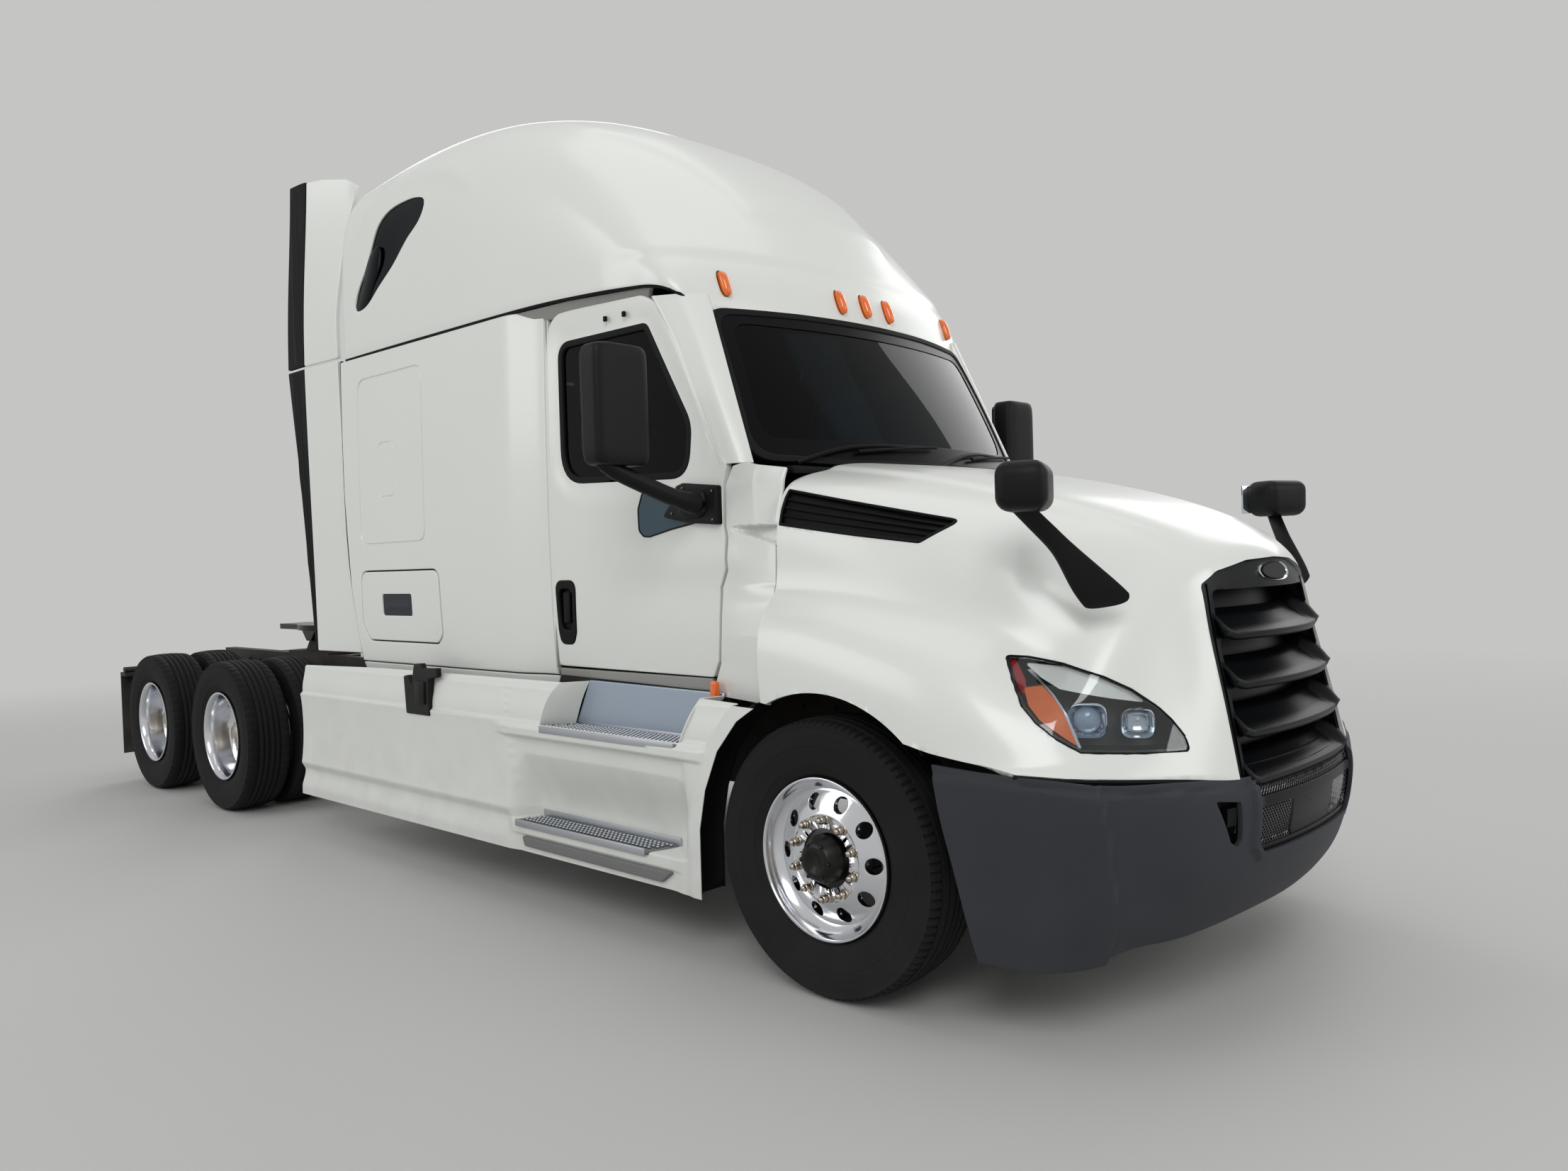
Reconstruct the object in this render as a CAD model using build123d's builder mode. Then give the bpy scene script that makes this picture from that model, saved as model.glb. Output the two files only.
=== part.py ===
from build123d import *
import os
from math import cos, pi, radians, sin

os.makedirs("parts", exist_ok=True)

# Conventional tractor with a raised-roof sleeper. Millimetres, +X forward, +Y left, +Z up.
# Stations ("x" in the tables) are measured from the front axle; the origin lies on the ground
# in the middle of the vehicle's box.

# ---- driving sizes -------------------------------------------------------------------------
nose_station = 1350.0  # foremost point of the bumper
tail_station = -7430.0  # rear face of the mud flaps
front_axle_x = -(nose_station + tail_station) / 2
sides = (("right", -1), ("left", 1))

wheelbase = 6096.0  # front axle to the middle of the tandem
tandem_spacing = 1321.0
tyre_radius = 510.0
tyre_width = 284.0
rim_radius = 298.0  # outer edge of the rim's flange
rim_seat_radius = 286.0
rim_width = 232.0
rim_wall = 12.0
hub_radius = 110.0
front_wheel_y = 1037.0  # middle of the front tyres
dual_outer_y = 1077.0
dual_inner_y = 734.0
running_gap = 0.05  # shafts and pins in their bores
moving_gap = 8.0  # panels that swing

rail_outer_y = 432.0
rail_flange = 80.0
rail_web = 10.0
rail_bottom = 735.0
rail_top = 1000.0
rail_front = 1040.0
rail_rear = -7330.0

floor_bottom = 1060.0
floor_top = 1120.0
side_top = 2800.0  # seam between the cab's sides and the roof cap
cab_rear = -3700.0
door_rear = -1765.0
wall = 45.0
skin = 30.0
glass_thickness = 8.0
fascia_bottom = 2665.0  # lower edge of the roof cap over the windscreen
cowl_front = -345.0  # rear edge of the hood
seam_gap = 27.0  # dark gap between hood and bumper
arch_radius = 605.0

tandem_stations = (-wheelbase + tandem_spacing / 2, -wheelbase - tandem_spacing / 2)


# ---- planes whose sketches are drawn in stations and heights ----------------------------------
def side_plane(y):
    """Sketches in (station, height); a positive extrusion runs towards the right."""
    return Plane(origin=(front_axle_x, y, 0), x_dir=(1, 0, 0), z_dir=(0, -1, 0))


def cross_plane(x):
    """Sketches in (y, height); a positive extrusion runs forward."""
    return Plane(origin=(front_axle_x + x, 0, 0), x_dir=(0, 1, 0), z_dir=(1, 0, 0))


def level_plane(z):
    """Sketches in (station, y); a positive extrusion runs up."""
    return Plane(origin=(front_axle_x, 0, z), x_dir=(1, 0, 0), z_dir=(0, 0, 1))


# ---- small builders used inside the sub-parts' own blocks --------------------------------------
def outline(plane, points):
    """A flat face on a plane through a closed run of points."""
    with BuildSketch(plane) as shape:
        with BuildLine():
            Polyline(*points, close=True)
        make_face()
    return shape.sketch


def disc(plane, places, radius):
    """Round faces of one radius at some places of a plane."""
    with BuildSketch(plane) as shape:
        with Locations(*places):
            Circle(radius)
    return shape.sketch


def side_prism(points, y_low, y_high, mode=Mode.ADD):
    extrude(outline(side_plane(y_high), points), amount=y_high - y_low, mode=mode)


def cross_prism(points, x_low, x_high, mode=Mode.ADD):
    extrude(outline(cross_plane(x_low), points), amount=x_high - x_low, mode=mode)


def level_prism(points, z_low, z_high, mode=Mode.ADD):
    extrude(outline(level_plane(z_low), points), amount=z_high - z_low, mode=mode)


def block(x_span, y_span, z_span, mode=Mode.ADD):
    (x0, x1), (y0, y1) = x_span, y_span
    level_prism([(x0, y0), (x1, y0), (x1, y1), (x0, y1)], *z_span, mode=mode)


def bar_across(x, z, radius, y_low, y_high, mode=Mode.ADD):
    """A round bar along Y."""
    extrude(disc(side_plane(y_high), [(x, z)], radius), amount=y_high - y_low, mode=mode)


def post(x, y, radius, z_low, z_high, mode=Mode.ADD):
    """An upright round bar."""
    extrude(disc(level_plane(z_low), [(x, y)], radius), amount=z_high - z_low, mode=mode)


def shaft(places, radius, x_low, x_high, mode=Mode.ADD):
    """Round bars along X at some (y, z) places."""
    extrude(disc(cross_plane(x_low), places, radius), amount=x_high - x_low, mode=mode)


def ruled_loft(sections, mode=Mode.ADD):
    """Straight-ruled body through (plane, points) sections of equal point counts."""
    loft([outline(plane, points).face() for plane, points in sections], ruled=True, mode=mode)


def mirrored(half):
    """Closed outline from (x, y) points with y > 0, listed from the rear to the nose on y = 0."""
    return half + [(x, -y) for x, y in reversed(half) if y > 0]


def spans(low, high, side):
    """A span given for the left side, turned over for the right."""
    return (low, high) if side > 0 else (-high, -low)


def ring_of(u, v, width, height):
    """A rectangle's corners about a sketch point."""
    low_u, high_u = u - width / 2, u + width / 2
    low_v, high_v = v - height / 2, v + height / 2
    return [(low_u, low_v), (high_u, low_v), (high_u, high_v), (low_u, high_v)]


def write(builder, name):
    builder.part.label = name
    export_step(builder.part, f"parts/{name}.step")


# ---- frame -------------------------------------------------------------------------------------
def rail_section(side):
    """A channel that opens towards the middle."""
    out, inn, web = rail_outer_y, rail_outer_y - rail_flange, rail_outer_y - rail_web
    half = [
        (out, rail_bottom),
        (out, rail_top),
        (inn, rail_top),
        (inn, rail_top - rail_web),
        (web, rail_top - rail_web),
        (web, rail_bottom + rail_web),
        (inn, rail_bottom + rail_web),
        (inn, rail_bottom),
    ]
    return [(side * y, z) for y, z in half]


crossmember_stations = (900.0, -1650.0, -2500.0, -3700.0, -4700.0, -5300.0, -6096.0, -6890.0, -7270.0)
crossmember_width = 120.0
tank_radius = 305.0
tank_y = 830.0
tank_z = 640.0
tank_span = (-3300.0, -2000.0)
tank_places = [(tank_y, tank_z), (-tank_y, tank_z)]
tank_bracket_stations = (-3000.0, -2300.0)
flap_hanger_radius = 22.0
flap_hanger_z = 880.0
flap_hanger_x = rail_rear - flap_hanger_radius + 12
flap_span_y = (640.0, 1210.0)
spring_y = 392.0  # middle of the leaf springs, under the rails

hood_pivot = (1235.0, 680.0)
hood_arm_y = (280.0, 320.0)
hood_arm_x = (1080.0, 1115.0)
hood_pin_radius = 12.0
hood_boss_radius = 22.0
beam_front = 1062.0
bracket_gap = 5.0
bracket_width = 40.0

with BuildPart() as frame:
    for label, side in sides:
        cross_prism(rail_section(side), rail_rear, rail_front)
    for station in crossmember_stations:
        block(
            (station - crossmember_width / 2, station + crossmember_width / 2),
            (-rail_outer_y + rail_web, rail_outer_y - rail_web),
            (rail_bottom + 40, rail_top - 60),
        )
    for label, side in sides:
        for station in tank_bracket_stations:
            low, high = spans(rail_outer_y, tank_y, side)
            block((station - 40, station + 40), (low, high), (tank_z - tank_radius - 30, rail_bottom + 60))
    for label, side in sides:
        low, high = spans(0.0, flap_span_y[1], side)
        bar_across(flap_hanger_x, flap_hanger_z, flap_hanger_radius, low, high)
    shaft(tank_places, tank_radius, *tank_span, mode=Mode.SUBTRACT)
    block((rail_front, beam_front), (-640.0, 640.0), (600.0, rail_bottom + 20))
    for label, side in sides:
        inner = hood_arm_y[0] - bracket_gap - bracket_width
        outer = hood_arm_y[1] + bracket_gap
        for low_y in (inner, outer):
            low, high = spans(low_y, low_y + bracket_width, side)
            block(
                (beam_front, hood_pivot[0]),
                (low, high),
                (hood_pivot[1] - hood_boss_radius, hood_pivot[1] + hood_boss_radius),
            )
            bar_across(*hood_pivot, hood_boss_radius, low, high)
        bar_across(*hood_pivot, hood_pin_radius, *spans(inner, outer + bracket_width, side))
write(frame, "frame")

with BuildPart() as fuel_tanks:
    shaft(tank_places, tank_radius, *tank_span)
    chamfer(fuel_tanks.edges().filter_by(GeomType.CIRCLE), 18)
write(fuel_tanks, "fuel_tanks")

# ---- axles -------------------------------------------------------------------------------------
kingpin_y = 900.0
kingpin_radius = 22.0
axle_beam_bottom = 395.0
axle_beam_top = 480.0
axle_boss_radius = 48.0
axle_boss_span = (440.0, 580.0)
yoke_thickness = 45.0
spindle_radius = 38.0
axle_z = tyre_radius

with BuildPart() as front_axle:
    cross_prism(
        [
            (-kingpin_y, axle_boss_span[0] + 20),
            (-kingpin_y, axle_boss_span[1] - 20),
            (-kingpin_y + 150, axle_beam_top),
            (kingpin_y - 150, axle_beam_top),
            (kingpin_y, axle_boss_span[1] - 20),
            (kingpin_y, axle_boss_span[0] + 20),
            (kingpin_y - 190, axle_beam_bottom),
            (-kingpin_y + 190, axle_beam_bottom),
        ],
        -45.0,
        45.0,
    )
    for label, side in sides:
        post(0.0, side * kingpin_y, axle_boss_radius, *axle_boss_span)
        post(0.0, side * kingpin_y, kingpin_radius + running_gap, 400.0, 620.0, mode=Mode.SUBTRACT)
write(front_axle, "front_axle")

knuckle_gap = 6.0
knuckle_post_y = kingpin_y + axle_boss_radius + knuckle_gap
knuckle_face_y = knuckle_post_y + 34.0
spindle_end_y = 1098.0
for label, side in sides:
    with BuildPart() as knuckle:
        post(0.0, side * kingpin_y, kingpin_radius, axle_boss_span[0] - 35, axle_boss_span[1] + 35)
        for low in (axle_boss_span[1] + knuckle_gap, axle_boss_span[0] - knuckle_gap - yoke_thickness):
            post(0.0, side * kingpin_y, axle_boss_radius, low, low + yoke_thickness)
            block((-48.0, 48.0), spans(kingpin_y, knuckle_face_y, side), (low, low + yoke_thickness))
        post_low = axle_boss_span[0] - knuckle_gap - yoke_thickness
        post_high = axle_boss_span[1] + knuckle_gap + yoke_thickness
        block((-62.0, 62.0), spans(knuckle_post_y, knuckle_face_y, side), (post_low, post_high))
        bar_across(0.0, axle_z, spindle_radius, *spans(knuckle_post_y, spindle_end_y, side))
    write(knuckle, f"knuckle_{label}")

spring_top = rail_bottom
hanger_offset = 480.0
housing_radius = 68.0
bowl_radius = 205.0
nose_length = 330.0
drive_spindle_radius = 45.0
housing_end_y = 590.0
drive_spindle_end_y = 945.0
with BuildPart() as suspension:
    for label, side in sides:
        low, high = spans(spring_y - 38, spring_y + 38, side)
        side_prism(
            [
                (-700.0, 640.0),
                (-680.0, spring_top),
                (-620.0, spring_top),
                (-600.0, 660.0),
                (-110.0, 545.0),
                (110.0, 545.0),
                (620.0, 660.0),
                (640.0, spring_top),
                (700.0, spring_top),
                (715.0, 640.0),
                (110.0, axle_beam_top),
                (-110.0, axle_beam_top),
            ],
            low,
            high,
        )
    for station in tandem_stations:
        for label, side in sides:
            low, high = spans(345.0, 425.0, side)
            side_prism(
                [
                    (station + hanger_offset + 40, rail_bottom),
                    (station + hanger_offset - 70, rail_bottom),
                    (station + hanger_offset - 90, 560.0),
                    (station + housing_radius, axle_z - 95),
                    (station - 330.0, axle_z - 120),
                    (station - 330.0, axle_z - 150),
                    (station + housing_radius, axle_z - 150),
                    (station + hanger_offset + 40, 480.0),
                ],
                low,
                high,
            )
            bar_across(station, axle_z, housing_radius, *spans(340.0, 430.0, side), mode=Mode.SUBTRACT)
            post(station - 250.0, side * 385.0, 95.0, axle_z - 120, rail_bottom)
write(suspension, "suspension")

shaft_radius = 50.0
shaft_z = 545.0
gearbox_span = (-1500.0, -560.0)
with BuildPart() as drive_axles:
    for station in tandem_stations:
        bar_across(station, axle_z, housing_radius, -housing_end_y, housing_end_y)
        bar_across(station, axle_z, drive_spindle_radius, -drive_spindle_end_y, drive_spindle_end_y)
        bar_across(station, axle_z, bowl_radius, -105.0, 105.0)
        block((station, station + nose_length), (-60.0, 60.0), (axle_z - 40, axle_z + 80))
    shaft([(0, shaft_z)], shaft_radius, tandem_stations[0] + nose_length, gearbox_span[0])
    shaft([(0, shaft_z)], shaft_radius, tandem_stations[1] + nose_length, tandem_stations[0] - bowl_radius)
write(drive_axles, "drive_axles")

with BuildPart() as engine:
    block((-560.0, 720.0), (-rail_outer_y + rail_flange, rail_outer_y - rail_flange), (620.0, 1450.0))
    block(gearbox_span, (-210.0, 210.0), (480.0, 980.0))
write(engine, "engine")

with BuildPart() as radiator:
    block((840.0, 960.0), (-480.0, 480.0), (rail_top, 1420.0))
write(radiator, "radiator")

# ---- wheels ------------------------------------------------------------------------------------
hand_hole_count = 10
hand_hole_radius = 24.0
hand_hole_circle = 215.0
disc_thickness = 16.0
rim_flange = 14.0
bell_radius = 245.0
bell_reach = 78.0  # from a dual rim's root to its disc


def tyre_profile(middle):
    """Half-section in (y, radius) about the tyre's middle plane."""
    half = tyre_width / 2
    seat = rim_width / 2 - rim_flange
    return [
        (middle - seat, rim_seat_radius),
        (middle - seat, rim_radius),
        (middle - half + 14, rim_seat_radius + 60),
        (middle - half, rim_seat_radius + 110),
        (middle - half + 16, tyre_radius - 22),
        (middle - half + 38, tyre_radius),
        (middle + half - 38, tyre_radius),
        (middle + half - 16, tyre_radius - 22),
        (middle + half, rim_seat_radius + 110),
        (middle + half - 14, rim_seat_radius + 60),
        (middle + seat, rim_radius),
        (middle + seat, rim_seat_radius),
    ]


def rim_profile(middle, root_y, disc_y):
    """Barrel with two flanges, and a bell from its wall at root_y to the disc, in (y, radius)."""
    half = rim_width / 2
    inner = rim_seat_radius - rim_wall
    face = disc_thickness / 2
    return [
        (middle - half, rim_radius),
        (middle - half + rim_flange, rim_radius),
        (middle - half + rim_flange, rim_seat_radius),
        (middle + half - rim_flange, rim_seat_radius),
        (middle + half - rim_flange, rim_radius),
        (middle + half, rim_radius),
        (middle + half, inner),
        (root_y + face, inner),
        (disc_y + face, bell_radius),
        (disc_y + face, hub_radius - 20),
        (disc_y - face, hub_radius - 20),
        (disc_y - face, bell_radius),
        (root_y - face, inner),
        (middle - half, inner),
    ]


def turned(x, profile, side):
    """A revolved body about the axle line at a station, from (y, radius) points."""
    plane = Plane(
        origin=(front_axle_x + x, 0, axle_z), x_dir=(0, side, 0), z_dir=(side, 0, 0)
    )
    revolve(outline(plane, profile), axis=Axis((front_axle_x + x, 0, axle_z), (0, 1, 0)))


def hub_profile(y_low, y_high, bore, cap_y):
    """Hub with a blind bore towards the vehicle's middle, in (y, radius)."""
    return [
        (y_low, bore),
        (y_low, hub_radius - 15),
        (y_high, hub_radius - 20),
        (y_high, 70.0),
        (cap_y, 62.0),
        (cap_y, 0.0),
        (y_high - 12, 0.0),
        (y_high - 12, bore),
    ]


def hand_holes(x, y_low, y_high):
    with BuildSketch(side_plane(y_high)) as holes:
        with Locations((x, axle_z)):
            with PolarLocations(hand_hole_circle, hand_hole_count):
                Circle(hand_hole_radius)
    extrude(holes.sketch, amount=y_high - y_low, mode=Mode.SUBTRACT)


front_disc_y = front_wheel_y + 62.0
front_hub_inner_y = knuckle_face_y + moving_gap
for label, side in sides:
    with BuildPart() as front_tyre:
        turned(0.0, tyre_profile(front_wheel_y), side)
    write(front_tyre, f"front_tyre_{label}")
    with BuildPart() as front_rim:
        turned(0.0, rim_profile(front_wheel_y, front_disc_y - 24, front_disc_y), side)
        hand_holes(0.0, *spans(front_disc_y - 20, front_disc_y + 20, side))
        bore = spindle_radius + running_gap
        hub = hub_profile(front_hub_inner_y, front_disc_y + 20, bore, front_disc_y + 78)
        turned(0.0, hub, side)
    write(front_rim, f"front_rim_{label}")

dual_middle_y = (dual_outer_y + dual_inner_y) / 2
inner_disc_y = dual_middle_y - disc_thickness / 2
outer_disc_y = dual_middle_y + disc_thickness / 2
drive_hub_inner_y = housing_end_y + moving_gap
axle_names = ("front", "rear")
for axle_name, station in zip(axle_names, tandem_stations):
    for label, side in sides:
        with BuildPart() as drive_tyres:
            turned(station, tyre_profile(dual_inner_y), side)
            turned(station, tyre_profile(dual_outer_y), side)
        write(drive_tyres, f"drive_tyres_{axle_name}_{label}")
        with BuildPart() as drive_rims:
            turned(station, rim_profile(dual_inner_y, inner_disc_y - bell_reach, inner_disc_y), side)
            turned(station, rim_profile(dual_outer_y, outer_disc_y + bell_reach, outer_disc_y), side)
            hand_holes(station, *spans(dual_middle_y - 30, dual_middle_y + 30, side))
            turned(
                station,
                hub_profile(
                    drive_hub_inner_y,
                    dual_middle_y + 60,
                    drive_spindle_radius + running_gap,
                    dual_middle_y + 130,
                ),
                side,
            )
        write(drive_rims, f"drive_rims_{axle_name}_{label}")

# ---- cab -----------------------------------------------------------------------------------------
# Outer line of the sides: y at each height, slightly barrelled.
side_line = ((1045.0, floor_top), (1064.0, 1500.0), (1066.0, 2150.0), (1052.0, side_top))


def side_wall_section(side, thickness):
    inner = side_line[0][0] - thickness
    return [(side * y, z) for y, z in side_line] + [(side * inner, side_top), (side * inner, floor_top)]


cab_mount_stations = (-900.0, -2200.0, -3500.0)
cab_mount_length = 140.0
with BuildPart() as cab_floor:
    level_prism(
        mirrored([(cab_rear, 1045.0), (-700.0, 1045.0), (-600.0, 1000.0), (-600.0, 0.0)]),
        floor_bottom,
        floor_top,
    )
    for label, side in sides:
        for station in cab_mount_stations:
            block(
                (station - cab_mount_length / 2, station + cab_mount_length / 2),
                spans(rail_outer_y - rail_flange, rail_outer_y, side),
                (rail_top, floor_bottom),
            )
write(cab_floor, "cab_floor")

hatch_span_x = (-3560.0, -2700.0)
hatch_span_z = (1200.0, 1610.0)
hatch_gap = 6.0
hatch_hinge = (-2712.0, 1061.0)
hatch_pin_radius = 2.5
hatch_pin_length = 24.0
with BuildPart() as sleeper_sides:
    for label, side in sides:
        cross_prism(side_wall_section(side, wall), cab_rear, door_rear - moving_gap)
    block(hatch_span_x, (-1100.0, 1100.0), hatch_span_z, mode=Mode.SUBTRACT)
    for label, side in sides:
        post(
            hatch_hinge[0],
            side * hatch_hinge[1],
            hatch_pin_radius + running_gap,
            hatch_span_z[1],
            hatch_span_z[1] + hatch_pin_length,
            mode=Mode.SUBTRACT,
        )
write(sleeper_sides, "sleeper_sides")

inner_half_width = side_line[0][0] - wall
with BuildPart() as sleeper_back:
    block((cab_rear, cab_rear + wall), (-inner_half_width, inner_half_width), (floor_top, side_top))
write(sleeper_back, "sleeper_back")

for label, side in sides:
    with BuildPart() as hatch:
        cross_prism(side_wall_section(side, wall), hatch_span_x[0] + hatch_gap, hatch_span_x[1] - hatch_gap)
        block(
            hatch_span_x,
            (-1100.0, 1100.0),
            (hatch_span_z[0] + hatch_gap, hatch_span_z[1] - hatch_gap),
            mode=Mode.INTERSECT,
        )
        post(
            hatch_hinge[0],
            side * hatch_hinge[1],
            hatch_pin_radius,
            hatch_span_z[1] - hatch_gap - 10,
            hatch_span_z[1] + hatch_pin_length - 4,
        )
    write(hatch, f"baggage_door_{label}")

# Roof cap: sections (station, half width, crown height, fullness), from the rear to the brow.
roof_sections = (
    (-3700.0, 1058.0, 3930.0, 5.0),
    (-3200.0, 1064.0, 3972.0, 4.8),
    (-2600.0, 1064.0, 3972.0, 4.4),
    (-2000.0, 1062.0, 3870.0, 4.0),
    (-1500.0, 1060.0, 3670.0, 4.2),
    (-1050.0, 1060.0, 3300.0, 3.8),
    (-780.0, 1060.0, 2985.0, 3.2),
    (-560.0, 1060.0, 2710.0, 3.2),
)
roof_steps = 7
roof_plan = [
    (cab_rear, 1100.0),
    (-1200.0, 1100.0),
    (-950.0, 1010.0),
    (-785.0, 890.0),
    (-645.0, 450.0),
    (-605.0, 0.0),
]


def arch_points(half_width, base, crown, fullness):
    """Cross-section from the right foot over the crown to the left foot: a superellipse."""
    points = []
    for step in range(2 * roof_steps + 1):
        angle = pi * step / (2 * roof_steps)
        along = abs(cos(angle)) ** (2 / fullness)
        rise = abs(sin(angle)) ** (2 / fullness)
        y = -half_width * along if step < roof_steps else half_width * along
        points.append((0.0 if step == roof_steps else y, base + (crown - base) * rise))
    return points


def roof_body(inset):
    """The cap's outer body, or the space in it when inset is its wall."""
    with BuildPart() as body:
        ruled_loft(
            [
                (
                    cross_plane(station + (inset if station == cab_rear else 0)),
                    arch_points(half - inset, fascia_bottom - inset, crown - inset, fullness),
                )
                for station, half, crown, fullness in roof_sections
            ]
        )
        plan = [(x - inset, y - inset if y else 0) for x, y in roof_plan]
        plan[0] = (cab_rear + inset, roof_plan[0][1] - inset)
        level_prism(mirrored(plan), fascia_bottom - 2 * inset, fascia_bottom + 1700, mode=Mode.INTERSECT)
    return body.part


windscreen_lower = ((-489.0, 958.0), (-385.0, 600.0), (-330.0, 0.0))
windscreen_upper = ((-785.0, 882.0), (-690.0, 560.0), (-640.0, 0.0))
windscreen_span_z = (2000.0, 2665.0)
teardrop = [
    (-3500.0, 3120.0),
    (-3400.0, 3050.0),
    (-3230.0, 3150.0),
    (-2900.0, 3420.0),
    (-2860.0, 3540.0),
    (-3130.0, 3600.0),
    (-3290.0, 3520.0),
    (-3350.0, 3420.0),
]
marker_lamp_places = ((-786.0, 800.0), (-786.0, -800.0), (-668.0, 175.0), (-668.0, -175.0), (-655.0, 0.0))
marker_lamp_size = (70.0, 46.0, 110.0)
marker_lamp_z = 2775.0
side_header_x = -930.0  # forward of this the cap comes down over the windscreen

roof_outer = roof_body(0.0)
roof_inner = roof_body(skin)

with BuildPart() as roof_shell:
    add(roof_outer)
    add(roof_inner, mode=Mode.SUBTRACT)
    block((cab_rear, side_header_x), (-1200.0, 1200.0), (fascia_bottom - 100, side_top), mode=Mode.SUBTRACT)

with BuildPart() as roof_cap:
    add(roof_shell.part)
    side_prism(teardrop, -1200.0, 1200.0, mode=Mode.SUBTRACT)
    for x, y in marker_lamp_places:
        block(
            (x - marker_lamp_size[0] / 2, x + marker_lamp_size[0] / 2),
            (y - marker_lamp_size[1] / 2, y + marker_lamp_size[1] / 2),
            (marker_lamp_z - marker_lamp_size[2] / 2, marker_lamp_z + marker_lamp_size[2] / 2),
            mode=Mode.SUBTRACT,
        )
write(roof_cap, "roof_cap")

with BuildPart() as roof_windows:
    add(roof_shell.part)
    side_prism(teardrop, -1200.0, 1200.0, mode=Mode.INTERSECT)

with BuildPart() as marker_lamps:
    for x, y in marker_lamp_places:
        block(
            (x - marker_lamp_size[0] / 2, x + marker_lamp_size[0] / 2),
            (y - marker_lamp_size[1] / 2, y + marker_lamp_size[1] / 2),
            (marker_lamp_z - marker_lamp_size[2] / 2, marker_lamp_z + marker_lamp_size[2] / 2),
        )
write(marker_lamps, "marker_lamps")


def windscreen_outline(line, thickness):
    """Plan of the bent pane: outer line from left to right, then the inner line back."""
    half = list(line)
    outer = half + [(x, -y) for x, y in reversed(half[:-1])]
    return outer + [(x - thickness, y) for x, y in reversed(outer)]


with BuildPart() as windscreen:
    ruled_loft(
        [
            (level_plane(windscreen_span_z[0]), windscreen_outline(windscreen_lower, glass_thickness)),
            (level_plane(windscreen_span_z[1]), windscreen_outline(windscreen_upper, glass_thickness)),
        ]
    )
    add(roof_windows.part)
write(windscreen, "cab_glass")

# ---- doors ---------------------------------------------------------------------------------------
door_bottom = floor_top + moving_gap
door_outline = [
    (door_rear, door_bottom),
    (-684.0, door_bottom),
    (-628.0, 1373.0),
    (-622.0, windscreen_span_z[0] - 100),
    (-690.0, windscreen_span_z[0] + 60),
    (-1040.0, side_top - moving_gap),
    (door_rear, side_top - moving_gap),
]
door_window = [
    (-1668.0, 2614.0),
    (-1031.0, 2607.0),
    (-783.0, windscreen_span_z[0] + 162),
    (-815.0, windscreen_span_z[0] - 56),
    (-1662.0, windscreen_span_z[0] + 53),
]
mirror_x = -770.0
mirror_head_y = (1300.0, 1550.0)
mirror_head_z = (1975.0, 2440.0)
mirror_depth = 130.0
mirror_plate_y = (side_line[2][0] - 0.4, side_line[2][0] + 26.0)
door_hinge = (-655.0, 1048.0)
door_hinge_heights = (1470.0, windscreen_span_z[0] - 200)
door_pin_radius = 5.0
door_boss_radius = 9.0
hinge_notch_height = 60.0
hinge_lug_height = 40.0

for label, side in sides:
    with BuildPart() as door:
        cross_prism(side_wall_section(side, wall), door_rear, -600.0)
        side_prism(door_outline, *spans(900.0, 1200.0, side), mode=Mode.INTERSECT)
        side_prism(door_window, *spans(900.0, 1200.0, side), mode=Mode.SUBTRACT)
        for height in door_hinge_heights:
            notch = (height - hinge_notch_height / 2, height + hinge_notch_height / 2)
            block(
                (door_hinge[0] - 2 * door_boss_radius, -600.0),
                spans(900.0, door_hinge[1] + door_boss_radius + 2, side),
                notch,
                mode=Mode.SUBTRACT,
            )
            post(door_hinge[0], side * door_hinge[1], door_pin_radius, notch[0] - 10, notch[1] + 10)
    write(door, f"door_{label}")
    with BuildPart() as door_glass:
        side_prism(door_window, *spans(1025.0, 1025.0 + glass_thickness, side))
    write(door_glass, f"door_glass_{label}")
    with BuildPart() as door_mirror:
        block(
            (mirror_x - mirror_depth / 2, mirror_x + mirror_depth / 2),
            spans(*mirror_head_y, side),
            mirror_head_z,
        )
        fillet(door_mirror.edges(), 38)
        block((-790.0, -640.0), spans(*mirror_plate_y, side), (1760.0, 1900.0))
        ruled_loft(
            [
                (side_plane(side * mirror_plate_y[1]), ring_of(-715.0, 1835.0, 110.0, 90.0)),
                (side_plane(side * 1380.0), ring_of(mirror_x, 2030.0, 60.0, 70.0)),
            ]
        )
    write(door_mirror, f"mirror_{label}")

# ---- windscreen pillars and cowl ---------------------------------------------------------------------
pillar_lower = [(-480.0, 962.0), (-615.0, 1010.0), (-607.0, 1040.0), (-560.0, 1048.0), (-462.0, 985.0)]
pillar_upper = [(-790.0, 887.0), (-960.0, 985.0), (-950.0, 1015.0), (-905.0, 1010.0), (-772.0, 905.0)]
with BuildPart() as pillars:
    for label, side in sides:
        ruled_loft(
            [
                (level_plane(windscreen_span_z[0]), [(x, side * y) for x, y in pillar_lower]),
                (level_plane(windscreen_span_z[1]), [(x, side * y) for x, y in pillar_upper]),
            ]
        )
write(pillars, "windscreen_pillars")

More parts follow.
